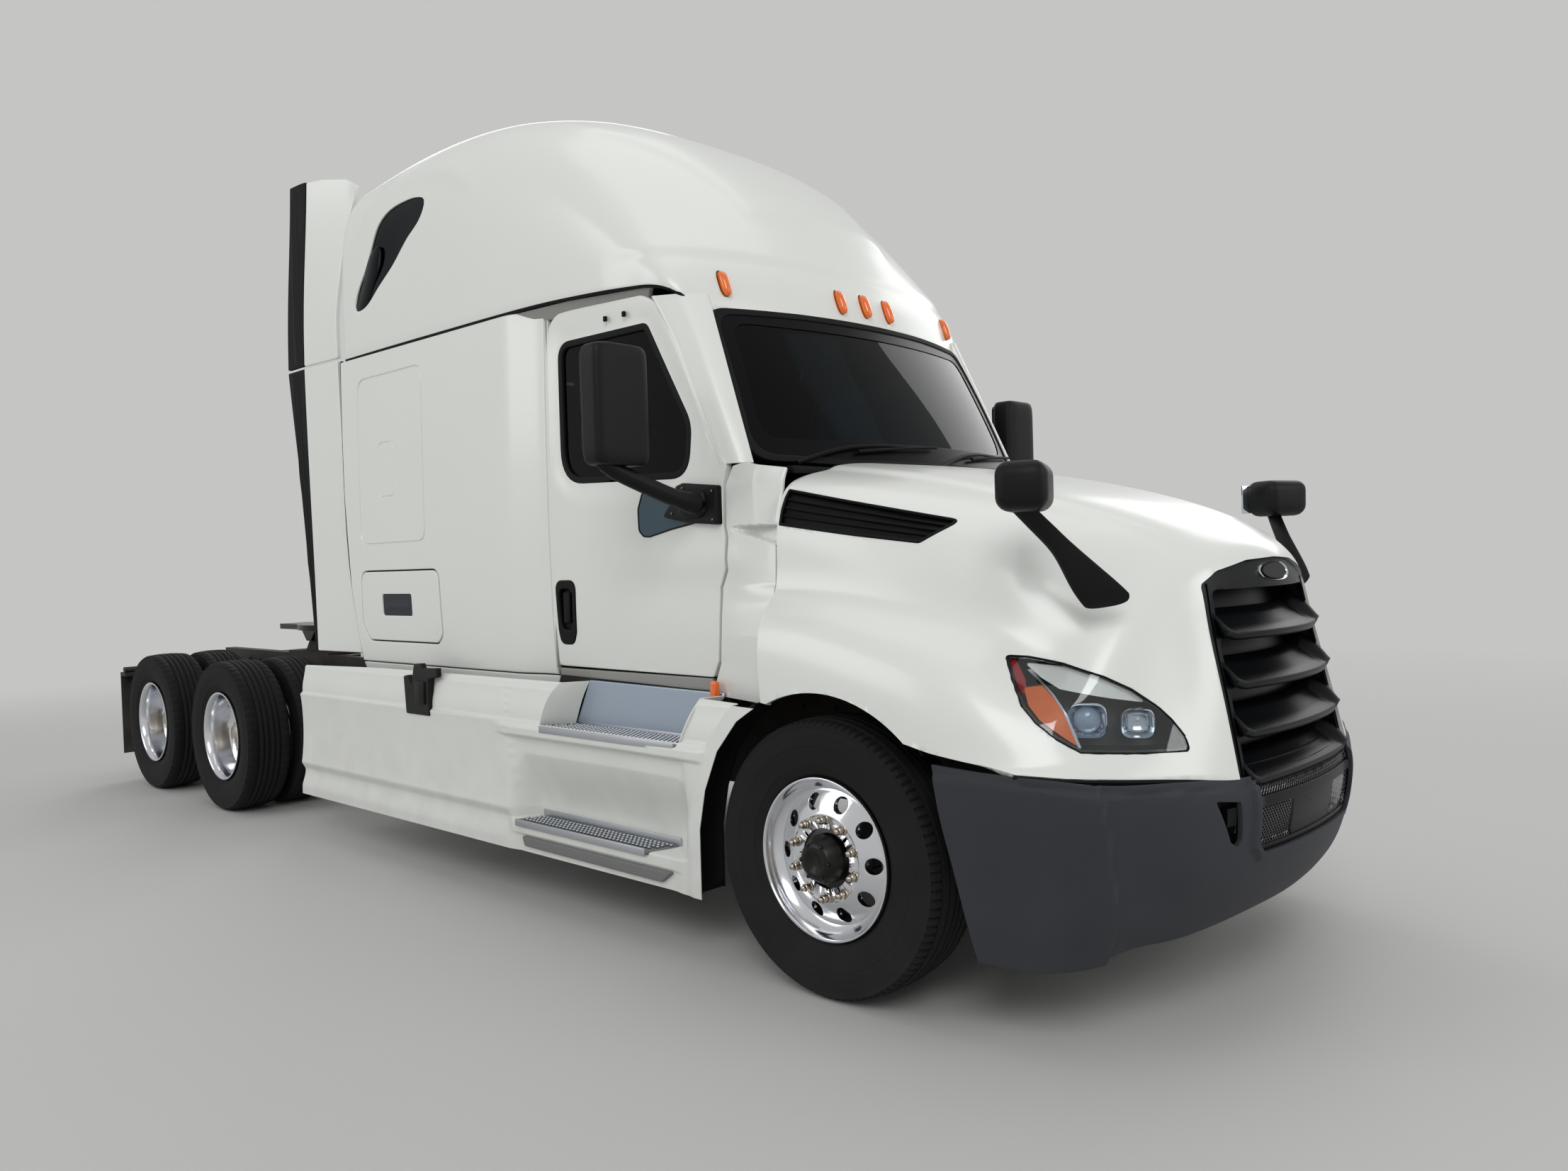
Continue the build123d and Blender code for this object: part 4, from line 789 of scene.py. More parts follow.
# Each finish: its colour as it is seen, in steps of 255, or the name of a colour setting; its roughness;
# how much the colour changes over the surface; the size and strength of its grain; and what else it has.
FINISHES = {
    "body_paint": ("body", 0.3, 0.012, (260.0, 0.03), {"coat": 0.5, "coat_rough": 0.16, "dust": (0.1, 1.5)}),
    "body_paint_low": ("body", 0.34, 0.02, (260.0, 0.03), {"coat": 0.4, "coat_rough": 0.18, "dust": (0.42, 1.1)}),
    "bumper_plastic": ("bumper", 0.56, 0.1, (1400.0, 0.35), {"shine": 0.3, "dust": (0.12, 1.0), "chips": 0.03}),
    "trim_plastic": ((6, 6, 8), 0.48, 0.12, (1600.0, 0.3), {"shine": 0.14, "dust": (0.04, 2.0)}),
    "grille_plastic": ((4, 6, 10), 0.36, 0.12, (1500.0, 0.2), {"shine": 0.16, "dust": (0.03, 1.6)}),
    "mesh_black": ((26, 28, 34), 0.24, 0.08, (1500.0, 0.1), {"shine": 0.5, "coat": 0.5}),
    "mirror_plastic": ((9, 9, 11), 0.46, 0.1, (1500.0, 0.35), {"shine": 0.22}),
    "seam_rubber": ((9, 9, 10), 0.66, 0.15, (700.0, 0.2), {"shine": 0.2}),
    "window_glass": ((44, 62, 70), 0.0, 0.02, (40.0, 0.002), {"clear": True, "bend": 1.22}),
    # Bluish glass of the low window, a painted shadow of the door mirror.
    "peep_glass": ((56, 78, 92), 0.08, 0.05, (40.0, 0.004), {"shine": 0.3, "coat": 0.3}),
    # Grey of the door sill, also painted on the drip shelf and the door seam as their shade.
    "sill_grey": ((150, 150, 146), 0.45, 0.06, (900.0, 0.15), {"dust": (0.3, 1.6)}),
    "insert_grey": ((112, 114, 116), 0.55, 0.08, (1300.0, 0.3), {"dust": (0.4, 1.0)}),
    "dark_glass": ((1, 4, 10), 0.1, 0.05, (40.0, 0.004), {"shine": 0.08}),
    "frit_band": ((2, 3, 6), 0.3, 0.05, (900.0, 0.02), {"shine": 0.12}),
    "lamp_lens": ((238, 242, 244), 0.0, 0.01, (60.0, 0.004), {"clear": True}),
    "lamp_black": ((26, 27, 30), 0.35, 0.1, (900.0, 0.15), {}),
    "lamp_chrome": ((214, 220, 228), 0.12, 0.03, (300.0, 0.02), {"metal": 1.0}),
    "lamp_white": ((236, 236, 230), 0.35, 0.03, (500.0, 0.05), {"coat": 0.6, "glow": 0.15}),
    # The projector lens glows: a painted reflection on the glass.
    "projector_glass": ((150, 172, 196), 0.04, 0.05, (200.0, 0.05), {"coat": 1.0, "glow": 0.08}),
    "amber_lens": ((226, 104, 18), 0.15, 0.18, (420.0, 0.4), {"coat": 1.0, "glow": 0.12}),
    "red_lens": ((170, 20, 16), 0.15, 0.18, (420.0, 0.4), {"coat": 1.0, "glow": 0.05}),
    "wheel_polish": ((226, 228, 232), 0.1, 0.03, (700.0, 0.05), {"metal": 1.0, "turned": 0.0021, "dust": (0.1, 1.4)}),
    "stud_steel": ((186, 176, 164), 0.28, 0.14, (900.0, 0.2), {"metal": 1.0}),
    "hub_black": ((4, 4, 5), 0.32, 0.1, (900.0, 0.1), {"shine": 0.3, "dust": (0.06, 1.4)}),
    "tyre_rubber": (
        (15, 15, 18), 0.76, 0.16, (620.0, 0.35), {"shine": 0.25, "dust": (0.3, 1.15), "dirt": (74, 72, 70)},
    ),
    "chassis_paint": ((14, 14, 16), 0.5, 0.18, (240.0, 0.2), {"shine": 0.3, "dust": (0.55, 1.9)}),
    "cast_metal": ((24, 24, 26), 0.66, 0.22, (360.0, 0.7), {"shine": 0.3, "dust": (0.6, 1.6)}),
    "bare_steel": ((120, 118, 114), 0.34, 0.16, (420.0, 0.3), {"metal": 1.0}),
    "plate_grease": ((44, 43, 42), 0.3, 0.3, (160.0, 0.4), {"metal": 0.8}),
    "tread_plate": ((128, 130, 134), 0.42, 0.1, (700.0, 0.3), {"metal": 0.9, "dust": (0.4, 1.4)}),
    "tread_aluminium": ((196, 200, 206), 0.34, 0.06, (1100.0, 0.25), {"metal": 1.0, "dust": (0.3, 1.4)}),
    "kick_aluminium": ((176, 188, 204), 0.3, 0.06, (500.0, 0.15), {"metal": 0.9}),
    "tank_aluminium": ((206, 208, 212), 0.22, 0.05, (500.0, 0.12), {"metal": 1.0, "dust": (0.35, 1.3)}),
    "flap_rubber": ((22, 22, 23), 0.66, 0.14, (520.0, 0.3), {"dust": (0.6, 1.2)}),
    "interior_plastic": ((18, 19, 22), 0.58, 0.08, (1500.0, 0.5), {}),
    "interior_trim": ((70, 69, 66), 0.62, 0.06, (1200.0, 0.5), {}),
    "seat_cloth": ((54, 55, 60), 0.85, 0.12, (700.0, 0.4), {"weave": 320.0, "sheen": 0.4}),
    "bunk_cloth": ((96, 98, 104), 0.88, 0.08, (500.0, 0.4), {"weave": 240.0, "sheen": 0.4}),
    "wheel_grip": ((24, 24, 26), 0.5, 0.1, (1100.0, 0.5), {}),
    "mirror_glass": ((210, 216, 222), 0.02, 0.01, (30.0, 0.002), {"metal": 1.0}),
    "bracket_black": ((11, 11, 12), 0.42, 0.12, (800.0, 0.3), {"shine": 0.2, "dust": (0.1, 1.5)}),
    "hose_rubber": ((22, 22, 24), 0.5, 0.12, (900.0, 0.3), {}),
}


def make_finishes(colours):
    """Every material of the tractor, by name."""
    effects.update(make_effects())
    made = {}
    for name, (colour, rough, spread, grain, extras) in FINISHES.items():
        chosen = getattr(colours, colour) if isinstance(colour, str) else shown(*colour)
        made[name] = finish(name, chosen, rough, spread, grain, **extras)
    return made


# The made materials by name, and the material slot of each finish.
paint = {}
FINISHES_OF_SLOT = {
    "body_paint": ("body_paint", "body_paint_low"),
    "bumper_plastic": ("bumper_plastic",),
    "trim_plastic": ("trim_plastic", "grille_plastic", "mesh_black", "mirror_plastic", "seam_rubber"),
    "glass": ("window_glass", "peep_glass", "dark_glass", "frit_band"),
    "lamp_glass": ("lamp_lens",),
    "amber_lens": ("amber_lens",),
    "red_lens": ("red_lens",),
    "polished_aluminium": ("wheel_polish", "stud_steel"),
    "tread_plate": ("tread_plate", "tread_aluminium", "kick_aluminium"),
    "tank_aluminium": ("tank_aluminium",),
    "chassis_paint": ("chassis_paint",),
    "cast_steel": ("cast_metal",),
    "tyre_rubber": ("tyre_rubber",),
}
FINISH_SLOTS = {key: slot for slot, keys in FINISHES_OF_SLOT.items() for key in keys}


# ---- cab and sleeper -------------------------------------------------------------------------------------
# Half width of the cab's side at six heights.
SIDE_Z = (1.05, 1.12, 1.5, 2.15, 2.8, 2.9)
SIDE_Y = (1.038, 1.045, 1.064, 1.066, 1.052, 1.048)


def ease(value, start, end):
    """0 before start, 1 after end, smooth between."""
    t = np.clip((value - start) / (end - start), 0, 1)
    return t * t * (3 - 2 * t)


def side_width(station, height):
    """Half width of the cab's side: full at the sleeper, a little narrower over the doors."""
    width = spline_at(SIDE_Z, SIDE_Y, np.clip(height, 1.0, 2.95).ravel()).reshape(np.shape(height))
    width = width + 0.014 - 0.04 * ease(station, -2.06, -1.8)
    swage = np.exp(-(((height - 1.6) / 0.055) ** 2)) * 0.007 - np.exp(-(((height - 1.48) / 0.1) ** 2)) * 0.007
    return width + swage * ease(station, -1.55, -0.9)


def side_face(side, width):
    """Sketch in station and height, laid on a side whose half width at a place is given by a function."""
    return lambda a, b, c: places(a, side * (width(a, b) - c), b)


def side_place(side):
    """Sketch in station and height, laid on the cab's side."""
    return side_face(side, side_width)


# The sleeper's rear edge and its openings, in station and height.
SLEEPER_BACK = [(-3.765, 2.835), (-3.745, 2.05), (-3.7, 1.5), (-3.635, 1.075)]
SLEEPER_FRONT = -1.772
BAGGAGE = [(-3.575, 1.6), (-2.722, 1.6), (-2.714, 1.25), (-2.77, 1.206), (-3.52, 1.206), (-3.59, 1.3)]
BAGGAGE_ROUND = [0.07, 0.07, 0.08, 0.06, 0.06, 0.1]
POCKET = [(-3.345, 1.47), (-3.02, 1.47), (-3.02, 1.35), (-3.345, 1.35)]
HATCH = [(-3.552, 2.69), (-2.842, 2.69), (-2.842, 1.752), (-3.552, 1.752)]
LATCH = [(-3.32, 2.31), (-3.16, 2.31), (-3.16, 2.01), (-3.32, 2.01)]


def build_sleeper_sides(cab):
    """Sleeper sides with their hatch and latch channels, baggage doors, linings and seals."""
    gap = cab.seam
    for label, side in SIDES:
        place = side_place(side)
        opening = rounded(BAGGAGE, BAGGAGE_ROUND)
        outline = [(-3.76, 2.826), (-3.742, 2.05), (-3.7, 1.5), (-3.632, 1.085), (SLEEPER_FRONT - gap, 1.085)]
        outline += [(SLEEPER_FRONT - gap, 2.812), (-2.1, 2.816), (-2.8, 2.82)]
        hole = inset(opening, -gap / 2)
        panel_side = panel(
            f"sleeper_side_{label}", outline, place, holes=[hole],
            grooves=[(rounded(HATCH, 0.075), True, 0.008, 0.012), (rounded(LATCH, 0.035), True, 0.007, 0.006)],
            depth=0.03, pitch=0.045,
        )
        finish_as(panel_side, "body_paint", stands_for="sleeper_sides")
        door = inset(opening, gap / 2)
        door[:, 0] -= 0.005 * ease(door[:, 0], -2.86, -2.74)
        pocket = rounded(POCKET, 0.018)
        hatch = panel(f"baggage_panel_{label}", door, place, holes=[pocket], depth=0.03, pitch=0.04)
        finish_as(hatch, "body_paint", f"baggage_door_{label}", f"baggage_door_{label}")
        cup = panel(
            f"baggage_latch_{label}", pocket, sunk(place, 0.006),
            grooves=[(np.array([(-3.3, 1.4), (-3.06, 1.4)]), False, 0.012, -0.004)], depth=0.02,
        )
        finish_as(cup, "bumper_plastic", f"baggage_door_{label}")
        liner = panel(
            f"sleeper_lining_{label}", [(-3.7, 1.13), (-1.8, 1.13), (-1.8, 2.8), (-3.72, 2.8)], sunk(place, 0.034),
            holes=[inset(hole, 0.03)], depth=0.008, pitch=0.12,
        )
        finish_as(liner, "interior_trim")
        jamb = [
            (SLEEPER_FRONT - gap - 0.001, 1.13), (-1.757, 1.13), (-1.757, 2.8), (SLEEPER_FRONT - gap - 0.001, 2.8),
        ]
        strip = panel(f"door_jamb_{label}", jamb, sunk(place, 0.007), depth=0.02, edge=0.001, pitch=0.2)
        finish_as(strip, "body_paint")
        seal = inset(hole, 0.002)
        rubber = panel(
            f"baggage_seal_{label}", shifted(seal, -0.03), sunk(place, 0.016), holes=[shifted(seal, 0.004)],
            depth=0.012,
        )
        finish_as(rubber, "seam_rubber")


# The door and its window, in station and height, and the radius of each corner.
DOOR = [
    (-0.694, 1.122), (-0.655, 1.19), (-0.64, 1.3), (-0.627, 1.488), (-0.586, 1.562),
    (-0.578, 1.69), (-0.588, 1.745), (-0.582, 1.9), (-0.56, 1.985), (-0.64, 2.075),
    (-0.8, 2.42), (-0.95, 2.69), (-1.06, 2.745), (-1.755, 2.775), (-1.755, 1.128),
]
DOOR_ROUND = [0.02, 0.05, 0.2, 0.03, 0.04, 0.1, 0.05, 0.1, 0.04, 0.1, 0.15, 0.3, 0.12, 0.14, 0.03, 0.03]
WINDOW = [(-1.672, 2.622), (-1.045, 2.616), (-0.775, 2.165), (-0.8, 1.952), (-1.662, 1.985)]
WINDOW_ROUND = [0.075, 0.05, 0.16, 0.11, 0.16]


def build_doors():
    """Doors with dished window frames, glass, rubbers, handles, linings and markers."""
    window = counter_clockwise(rounded(WINDOW, WINDOW_ROUND, 8))
    handle = rounded(
        [(-1.738, 1.525), (-1.59, 1.525), (-1.6, 1.29), (-1.622, 1.235), (-1.718, 1.235), (-1.73, 1.3)], 0.045,
    )
    for label, side in SIDES:
        place = side_place(side)
        body = f"door_{label}"

        def dished(a, b, c, place=place):
            """The frame round the window stands in a shallow dish."""
            sink = 0.01 * (1 - ease(distance_field(a, b, window), 0.035, 0.085))
            return place(a, b, c + sink)

        skin_panel = panel(
            f"door_skin_{label}", rounded(DOOR, DOOR_ROUND), dished, holes=[window, handle], depth=0.035, pitch=0.04,
        )
        finish_as(skin_panel, "body_paint", body, body)
        rim = panel(
            f"window_rubber_{label}", shifted(window, -0.012), sunk(place, 0.008), holes=[shifted(window, 0.02)],
            depth=0.03, edge=0.006, pitch=0.03,
        )
        finish_as(rim, "seam_rubber", body)
        pane = panel(
            f"door_pane_{label}", shifted(window, 0.014), sunk(place, 0.022), depth=0.006, edge=0.001, pitch=0.08,
        )
        glass_back(pane)
        finish_as(pane, "window_glass", body, f"door_glass_{label}")
        pull = panel(
            f"door_pull_{label}", inset(handle, -0.006), sunk(place, -0.004),
            holes=[rounded([(-1.715, 1.49), (-1.613, 1.49), (-1.622, 1.3), (-1.705, 1.3)], 0.035)], depth=0.02,
            edge=0.006, pitch=0.02,
        )
        finish_as(pull, "trim_plastic", body)
        cup = box_at(f"door_cup_{label}", (-1.74, -1.585), (0.985, 1.02), (1.225, 1.535), side, 0.02, segments=3)
        finish_as(cup, "trim_plastic", body)
        lever = box_at(f"door_lever_{label}", (-1.69, -1.64), (1.022, 1.036), (1.33, 1.475), side, segments=3)
        finish_as(lever, "trim_plastic", body)
        lining = panel(
            f"door_lining_{label}", rounded(inset(np.array(DOOR), 0.02), 0.05), sunk(place, 0.042),
            holes=[shifted(window, -0.004)], depth=0.012, pitch=0.1,
        )
        finish_as(lining, "interior_plastic", body)
        marker = box_at(
            f"door_marker_{label}", (-0.68, -0.642), (1.03, 1.062), (1.03, 1.112), side, 0.012, segments=3,
        )
        finish_as(marker, "amber_lens")
        for k, station in enumerate((-1.3, -1.17)):
            span = (station - 0.009, station + 0.009)
            stud = box_at(f"visor_clip_{label}_{k}", span, (1.032, 1.046), (2.668, 2.692), side, 0.004, segments=3)
            finish_as(stud, "trim_plastic", body)


def glass_back(pane):
    """Closes a pane's rear face, so that it is a thin solid sheet."""
    work = bmesh.new()
    work.from_mesh(pane.data)
    bmesh.ops.holes_fill(work, edges=[e for e in work.edges if e.is_boundary], sides=0)
    bmesh.ops.recalc_face_normals(work, faces=work.faces)
    work.to_mesh(pane.data)
    work.free()
    return shade(pane, 40)


# Rows of the roof: lip (station, half width, height), crown (station, height), fullness.
ROOF_ROWS = (
    (-3.705, 1.062, 2.838, -3.705, 3.93, 5.2),
    (-3.2, 1.066, 2.836, -3.2, 3.972, 5.0),
    (-2.6, 1.068, 2.832, -2.6, 3.974, 4.6),
    (-2.1, 1.068, 2.828, -2.05, 3.89, 4.3),
    (-1.7, 1.066, 2.82, -1.55, 3.7, 4.2),
    (-1.35, 1.063, 2.802, -1.15, 3.412, 4.0),
    (-1.1, 1.06, 2.785, -0.9, 3.145, 3.6),
    (-0.93, 1.045, 2.76, -0.765, 2.955, 3.2),
    (-0.85, 1.0, 2.72, -0.69, 2.835, 2.9),
    (-0.805, 0.94, 2.672, -0.655, 2.74, 2.7),
    (-0.785, 0.892, 2.642, -0.632, 2.668, 2.6),
)


def roof_grid(along=150, across=141):
    """Points of the roof cap, from its rear edge to its nose."""
    rows = []
    for lip_x, half, lip_z, top_x, top_z, full in ROOF_ROWS:
        angle = np.linspace(0, math.pi, 23)
        share = bent(np.cos(angle), 2 / full)
        rise = np.abs(np.sin(angle)) ** (2 / full)
        y = -half * share
        x = lip_x + (top_x - lip_x) * (1 - np.abs(share) ** 2.2)
        rows.append(places(x, y, lip_z + (top_z - lip_z) * rise))
    rows = np.array(rows)
    v = np.mean([chords(r) / chords(r)[-1] for r in rows], axis=0)
    columns = np.stack([spline_at(v, r, np.linspace(0, 1, across)) for r in rows])
    u = np.mean([chords(columns[:, k]) / chords(columns[:, k])[-1] for k in range(0, across, 5)], axis=0)
    return spline_at(u, columns, np.linspace(0, 1, along))


# The roof's side window.
TEARDROP = [(-3.3, 3.52), (-3.19, 3.583), (-3.03, 3.6), (-2.86, 3.585), (-2.79, 3.545), (-2.8, 3.5)]
TEARDROP += [
    (-2.95, 3.395), (-3.12, 3.275), (-3.3, 3.165), (-3.47, 3.085), (-3.55, 3.1), (-3.54, 3.16), (-3.44, 3.29),
    (-3.36, 3.42),
]


def roof_form(grid):
    """Raised centre, brow line and the soft ridge over the side window."""
    x, y, z = grid[..., 0], np.abs(grid[..., 1]), grid[..., 2]
    out = grid.copy()
    normal = grid_normals(grid)
    edge = 0.8 - 0.3 * ease(x, -1.75, -0.98)
    ahead = ease(x, -2.15, -1.55) * (1 - ease(x, -0.98, -0.9))
    lift = 0.016 * (1 - ease(y, edge - 0.035, edge + 0.035)) * ahead
    brow = -0.012 * (1 - ease(z, 2.9, 2.945)) * ease(x, -1.3, -1.05)
    ridge_line = np.array([(-3.5, 3.52), (-3.36, 3.66), (-3.1, 3.735), (-2.75, 3.71), (-2.45, 3.61), (-2.22, 3.48)])
    near = distance_field(x, z, run_through(ridge_line, 40), False)
    ridge = 0.016 * np.exp(-((near / 0.045) ** 2)) * (y > 0.7) * ease(x, -3.55, -3.3) * (1 - ease(x, -2.6, -2.2))
    dish = -0.012 * np.exp(-(((np.hypot((x + 3.1) / 1.5, z - 3.36)) / 0.2) ** 2)) * (y > 0.7)
    return out + normal * (lift + brow + ridge + dish)[..., None]


def build_roof():
    """Roof cap with its side windows, vents and edge seals."""
    grid = facing(roof_form(roof_grid()), (0, 0, 1))
    roof = shell("roof_shell", grid, ROOF_WALL)
    holes = []
    for label, side in SIDES:
        loop = smooth_loop(TEARDROP, 70)
        holes.append(prism(f"cut_{label}", loop, along_y, side * 0.85, side * 1.25))
    for k, (x, y, z) in enumerate(MARKERS):
        loop = marker_outline(y, z, 0.004)
        holes.append(prism(f"cut_marker_{k}", loop, along_x, x - 0.05, x + 0.09))
    carve(roof, holes)
    soften(roof, 0.004, 2)
    finish_as(roof, "body_paint", stands_for="roof_cap")
    for label, side in SIDES:
        glass = shell(f"roof_window_{label}", sunk_grid(grid, 0.008), 0.006)
        carve(glass, [prism("keep", smooth_loop(TEARDROP, 70), along_y, side * 0.85, side * 1.25)], "INTERSECT")
        shade(glass, 40)
        finish_as(glass, "dark_glass", stands_for="cab_glass" if side < 0 else ())
        vent = [
            (-3.56, 3.075), (-3.47, 3.06), (-3.35, 3.19), (-3.25, 3.33), (-3.26, 3.4), (-3.36, 3.38), (-3.47, 3.23),
        ]
        flap = prism(f"roof_vent_{label}", smooth_loop(vent, 48), along_y, side * 1.046, side * 1.058)
        soften(flap, 0.003, 2)
        finish_as(flap, "dark_glass")
    for label, column in (("right", 0), ("left", -1)):
        line = grid[:, column].copy()
        line[:, 1] *= 0.992
        line[:, 2] -= 0.004
        bead = tube(f"roof_seal_{label}", line[::3], 0.0085, 8)
        finish_as(bead, "seam_rubber")


# Roof markers: station, side and height.
MARKERS = (
    (-0.786, 0.8, 2.777), (-0.786, -0.8, 2.777), (-0.672, 0.173, 2.765), (-0.672, -0.173, 2.765),
    (-0.668, 0.0, 2.768),
)


def marker_outline(y, z, spare=0.0):
    """A slender upright oval."""
    turn = full_turn(28)
    wide, tall = 0.021 + spare, 0.056 + spare
    across = bent(np.cos(turn), 0.8) * wide
    up = bent(np.sin(turn), 0.8) * tall
    return places(y + across, z + up)


def build_markers():
    """Five oval lamps on the roof's brow."""
    lamps = []
    for k, (x, y, z) in enumerate(MARKERS):
        rings = []
        for share, out in ((1.0, -0.02), (1.0, 0.002), (0.86, 0.011), (0.55, 0.017), (0.15, 0.019)):
            loop = marker_outline(0, 0) * share
            dx = out + 0.02 - 0.35 * loop[:, 1]
            rings.append(places(x + dx - 0.012, y + loop[:, 0], z + loop[:, 1]))
        lamps.append(shade(swept(f"lamp_{k}", rings), 50))
    whole = joined(lamps, "roof_markers")
    finish_as(whole, "amber_lens", stands_for="marker_lamps", slot="amber_lens")


def screen_place(out=0.0):
    """Surface of the bent windscreen under (y, height)."""

    def place(a, b, c):
        up = (b - 1.99) / 0.67
        x = -0.335 - 0.306 * up - (0.168 + 0.016 * up) * a**2 + 0.012 * np.sin(np.clip(up, 0, 1) * math.pi)
        return places(x + out - c, a, b)

    return place


def screen_outline(grow=0.0):
    """The windscreen's outline, grown or shrunk by a margin."""
    half = [(0.955 + grow, 2.01 - grow), (0.888 + grow, 2.652 + grow), (0.45, 2.664 + grow)]
    loop = [(-0.5, 1.994 - grow), (0.5, 1.994 - grow)] + half + [(-x, z) for x, z in half[::-1]]
    return rounded(loop, [0, 0, 0.1, 0.1, 0, 0, 0.1, 0.1])


def build_windscreen():
    """Windscreen with its dark band, rubber and wipers."""
    pane = panel("windscreen_pane", screen_outline(-0.01), screen_place(-0.004), depth=0.008, edge=0.001, pitch=0.07)
    glass_back(pane)
    finish_as(pane, "window_glass")
    inner = [(-0.82, 2.6), (0.82, 2.6), (0.885, 2.09), (-0.885, 2.09)]
    band = panel(
        "windscreen_band", screen_outline(-0.012), screen_place(0.0), holes=[rounded(inner, 0.09)], depth=0.002,
        edge=0.0006, pitch=0.06,
    )
    finish_as(band, "frit_band")
    rubber = panel(
        "windscreen_rubber", screen_outline(0.014), screen_place(0.006), holes=[screen_outline(-0.016)], depth=0.03,
        edge=0.007, pitch=0.04,
    )
    finish_as(rubber, "seam_rubber")
    for label, side in (("driver", 0.42), ("passenger", -0.42)):
        path = [(-0.3, side - 0.36, 1.985), (-0.335, side - 0.1, 2.055), (-0.35, side + 0.28, 2.075)]
        base = screen_place(0.02)
        line = [base(np.array(y), np.array(z), 0) for _, y, z in path]
        arm = tube(f"wiper_arm_{label}", run_through(line, 14), np.linspace(0.011, 0.006, 14), 8)
        finish_as(arm, "trim_plastic")
        blade = [
            base(np.array(y), np.array(z), 0)
            for y, z in ((side - 0.02, 2.045), (side + 0.28, 2.07), (side + 0.52, 2.085))
        ]
        strip = tube(f"wiper_blade_{label}", run_through(blade, 16), 0.007, 8)
        finish_as(strip, "seam_rubber")


def build_pillars():
    """The white posts between the doors and the windscreen."""
    for label, side in SIDES:
        rows = []
        for t in np.linspace(0, 1, 5):
            z = 1.985 + t * 0.735
            screen = np.array([-0.474 - 0.315 * t, 0.972 - 0.075 * t, z])
            door = np.array([-0.6 - 0.36 * t, side_width(np.array(-0.7), np.array(z)) - 0.002, z])
            if t > 0.9:
                door = np.array([-0.975, 1.045, z])
            mid = (screen + door) / 2 + (0.022, 0.016, 0)
            edge_in = screen + (-0.035, -0.03, 0)
            back_in = door + (-0.01, -0.05, 0)
            row = [
                edge_in, screen, screen * 0.5 + mid * 0.5 + (0.006, 0.004, 0), mid,
                door * 0.5 + mid * 0.5 + (0.002, 0.004, 0), door, back_in,
            ]
            rows.append([p * (1, side, 1) for p in row])
        grid = facing(skin(rows, 40, 36), (1, side, 0))
        post = shell(f"screen_post_{label}", grid, 0.012)
        shade(post, 60)
        finish_as(post, "body_paint", stands_for="windscreen_pillars")


def build_cab_back():
    """Rear wall of the sleeper with pressed ribs, and the rear wall of the roof cap."""
    place = lambda a, b, c: places(-3.712 + c, a, b)
    ribs = [(np.array([(y, 1.3), (y, 2.7)]), False, 0.035, -0.01) for y in (-0.75, -0.45, -0.15, 0.15, 0.45, 0.75)]
    wall = panel(
        "sleeper_rear_wall", [(-1.035, 1.1), (1.035, 1.1), (1.045, 2.82), (-1.045, 2.82)], place, grooves=ribs,
        depth=0.03, pitch=0.05,
    )
    finish_as(wall, "body_paint", stands_for="sleeper_back")
    arc = [
        (-1.045, 2.842), (1.045, 2.842), (1.04, 3.3), (1.0, 3.62), (0.9, 3.8), (0.68, 3.89), (0.3, 3.918),
        (-0.3, 3.918), (-0.68, 3.89), (-0.9, 3.8), (-1.0, 3.62), (-1.04, 3.3),
    ]
    cap = panel("roof_rear_wall", rounded(arc, 0.1), place, depth=0.02, pitch=0.07)
    finish_as(cap, "body_paint")


def extender_width(station, height):
    """Half width of the side extenders, widening a little to the rear."""
    front = 1.046 + 0.02 * ease(height, 1.1, 2.8) - 0.115 * ease(height, 3.0, 4.05)
    rear = 1.08 + 0.016 * ease(height, 1.1, 2.8) - 0.03 * ease(height, 3.0, 4.05)
    share = np.clip((-3.72 - station) / 0.45, 0, 1)
    return front + (rear - front) * share


def build_extenders():
    """Side extenders behind the sleeper, in two heights, with ribbed rubber edges."""
    for label, side in SIDES:
        place = side_face(side, extender_width)
        lower = [(-3.655, 1.126), (-3.722, 1.55), (-3.765, 2.05), (-3.788, 2.842), (-4.17, 2.842), (-4.168, 1.126)]
        upper = [
            (-3.788, 2.858), (-3.79, 3.1), (-3.765, 3.45), (-3.735, 3.7), (-3.7, 3.865), (-3.8, 3.925), (-4.0, 3.962),
            (-4.13, 3.966), (-4.168, 2.858),
        ]
        for name, loop in (("lower", lower), ("upper", upper)):
            sheet = panel(f"extender_{name}_{label}", rounded(loop, 0.012), place, depth=0.024, pitch=0.06)
            finish_as(sheet, "body_paint", stands_for="side_extenders")
            back = rounded(inset(np.array(loop), 0.004), 0.012)
            inward = lambda a, b, c: place(a, b, 0.024 - c * 0.5)
            finish_as(panel(f"extender_{name}_back_{label}", back, inward, depth=0.01, pitch=0.1), "body_paint")
        strips = (
            ("lower", [(-4.172, 1.126), (-4.196, 1.126), (-4.31, 2.3), (-4.392, 2.842), (-4.172, 2.842)]),
            ("upper", [(-4.172, 2.86), (-4.392, 2.86), (-4.335, 3.978), (-4.135, 3.97)]),
        )
        for name, loop in strips:
            low, high = (1.3, 2.8) if name == "lower" else (2.9, 3.9)
            ribs = [
                (np.array([(-4.2 - 0.03 * k, low), (-4.2 - 0.03 * k - 0.06, high)]), False, 0.006, -0.003)
                for k in range(3)
            ]
            edge = rounded(loop, 0.01)
            strip = panel(
                f"extender_edge_{name}_{label}", edge, sunk(place, -0.001), grooves=ribs, depth=0.018, pitch=0.05,
            )
            finish_as(strip, "seam_rubber", stands_for="extender_edges")


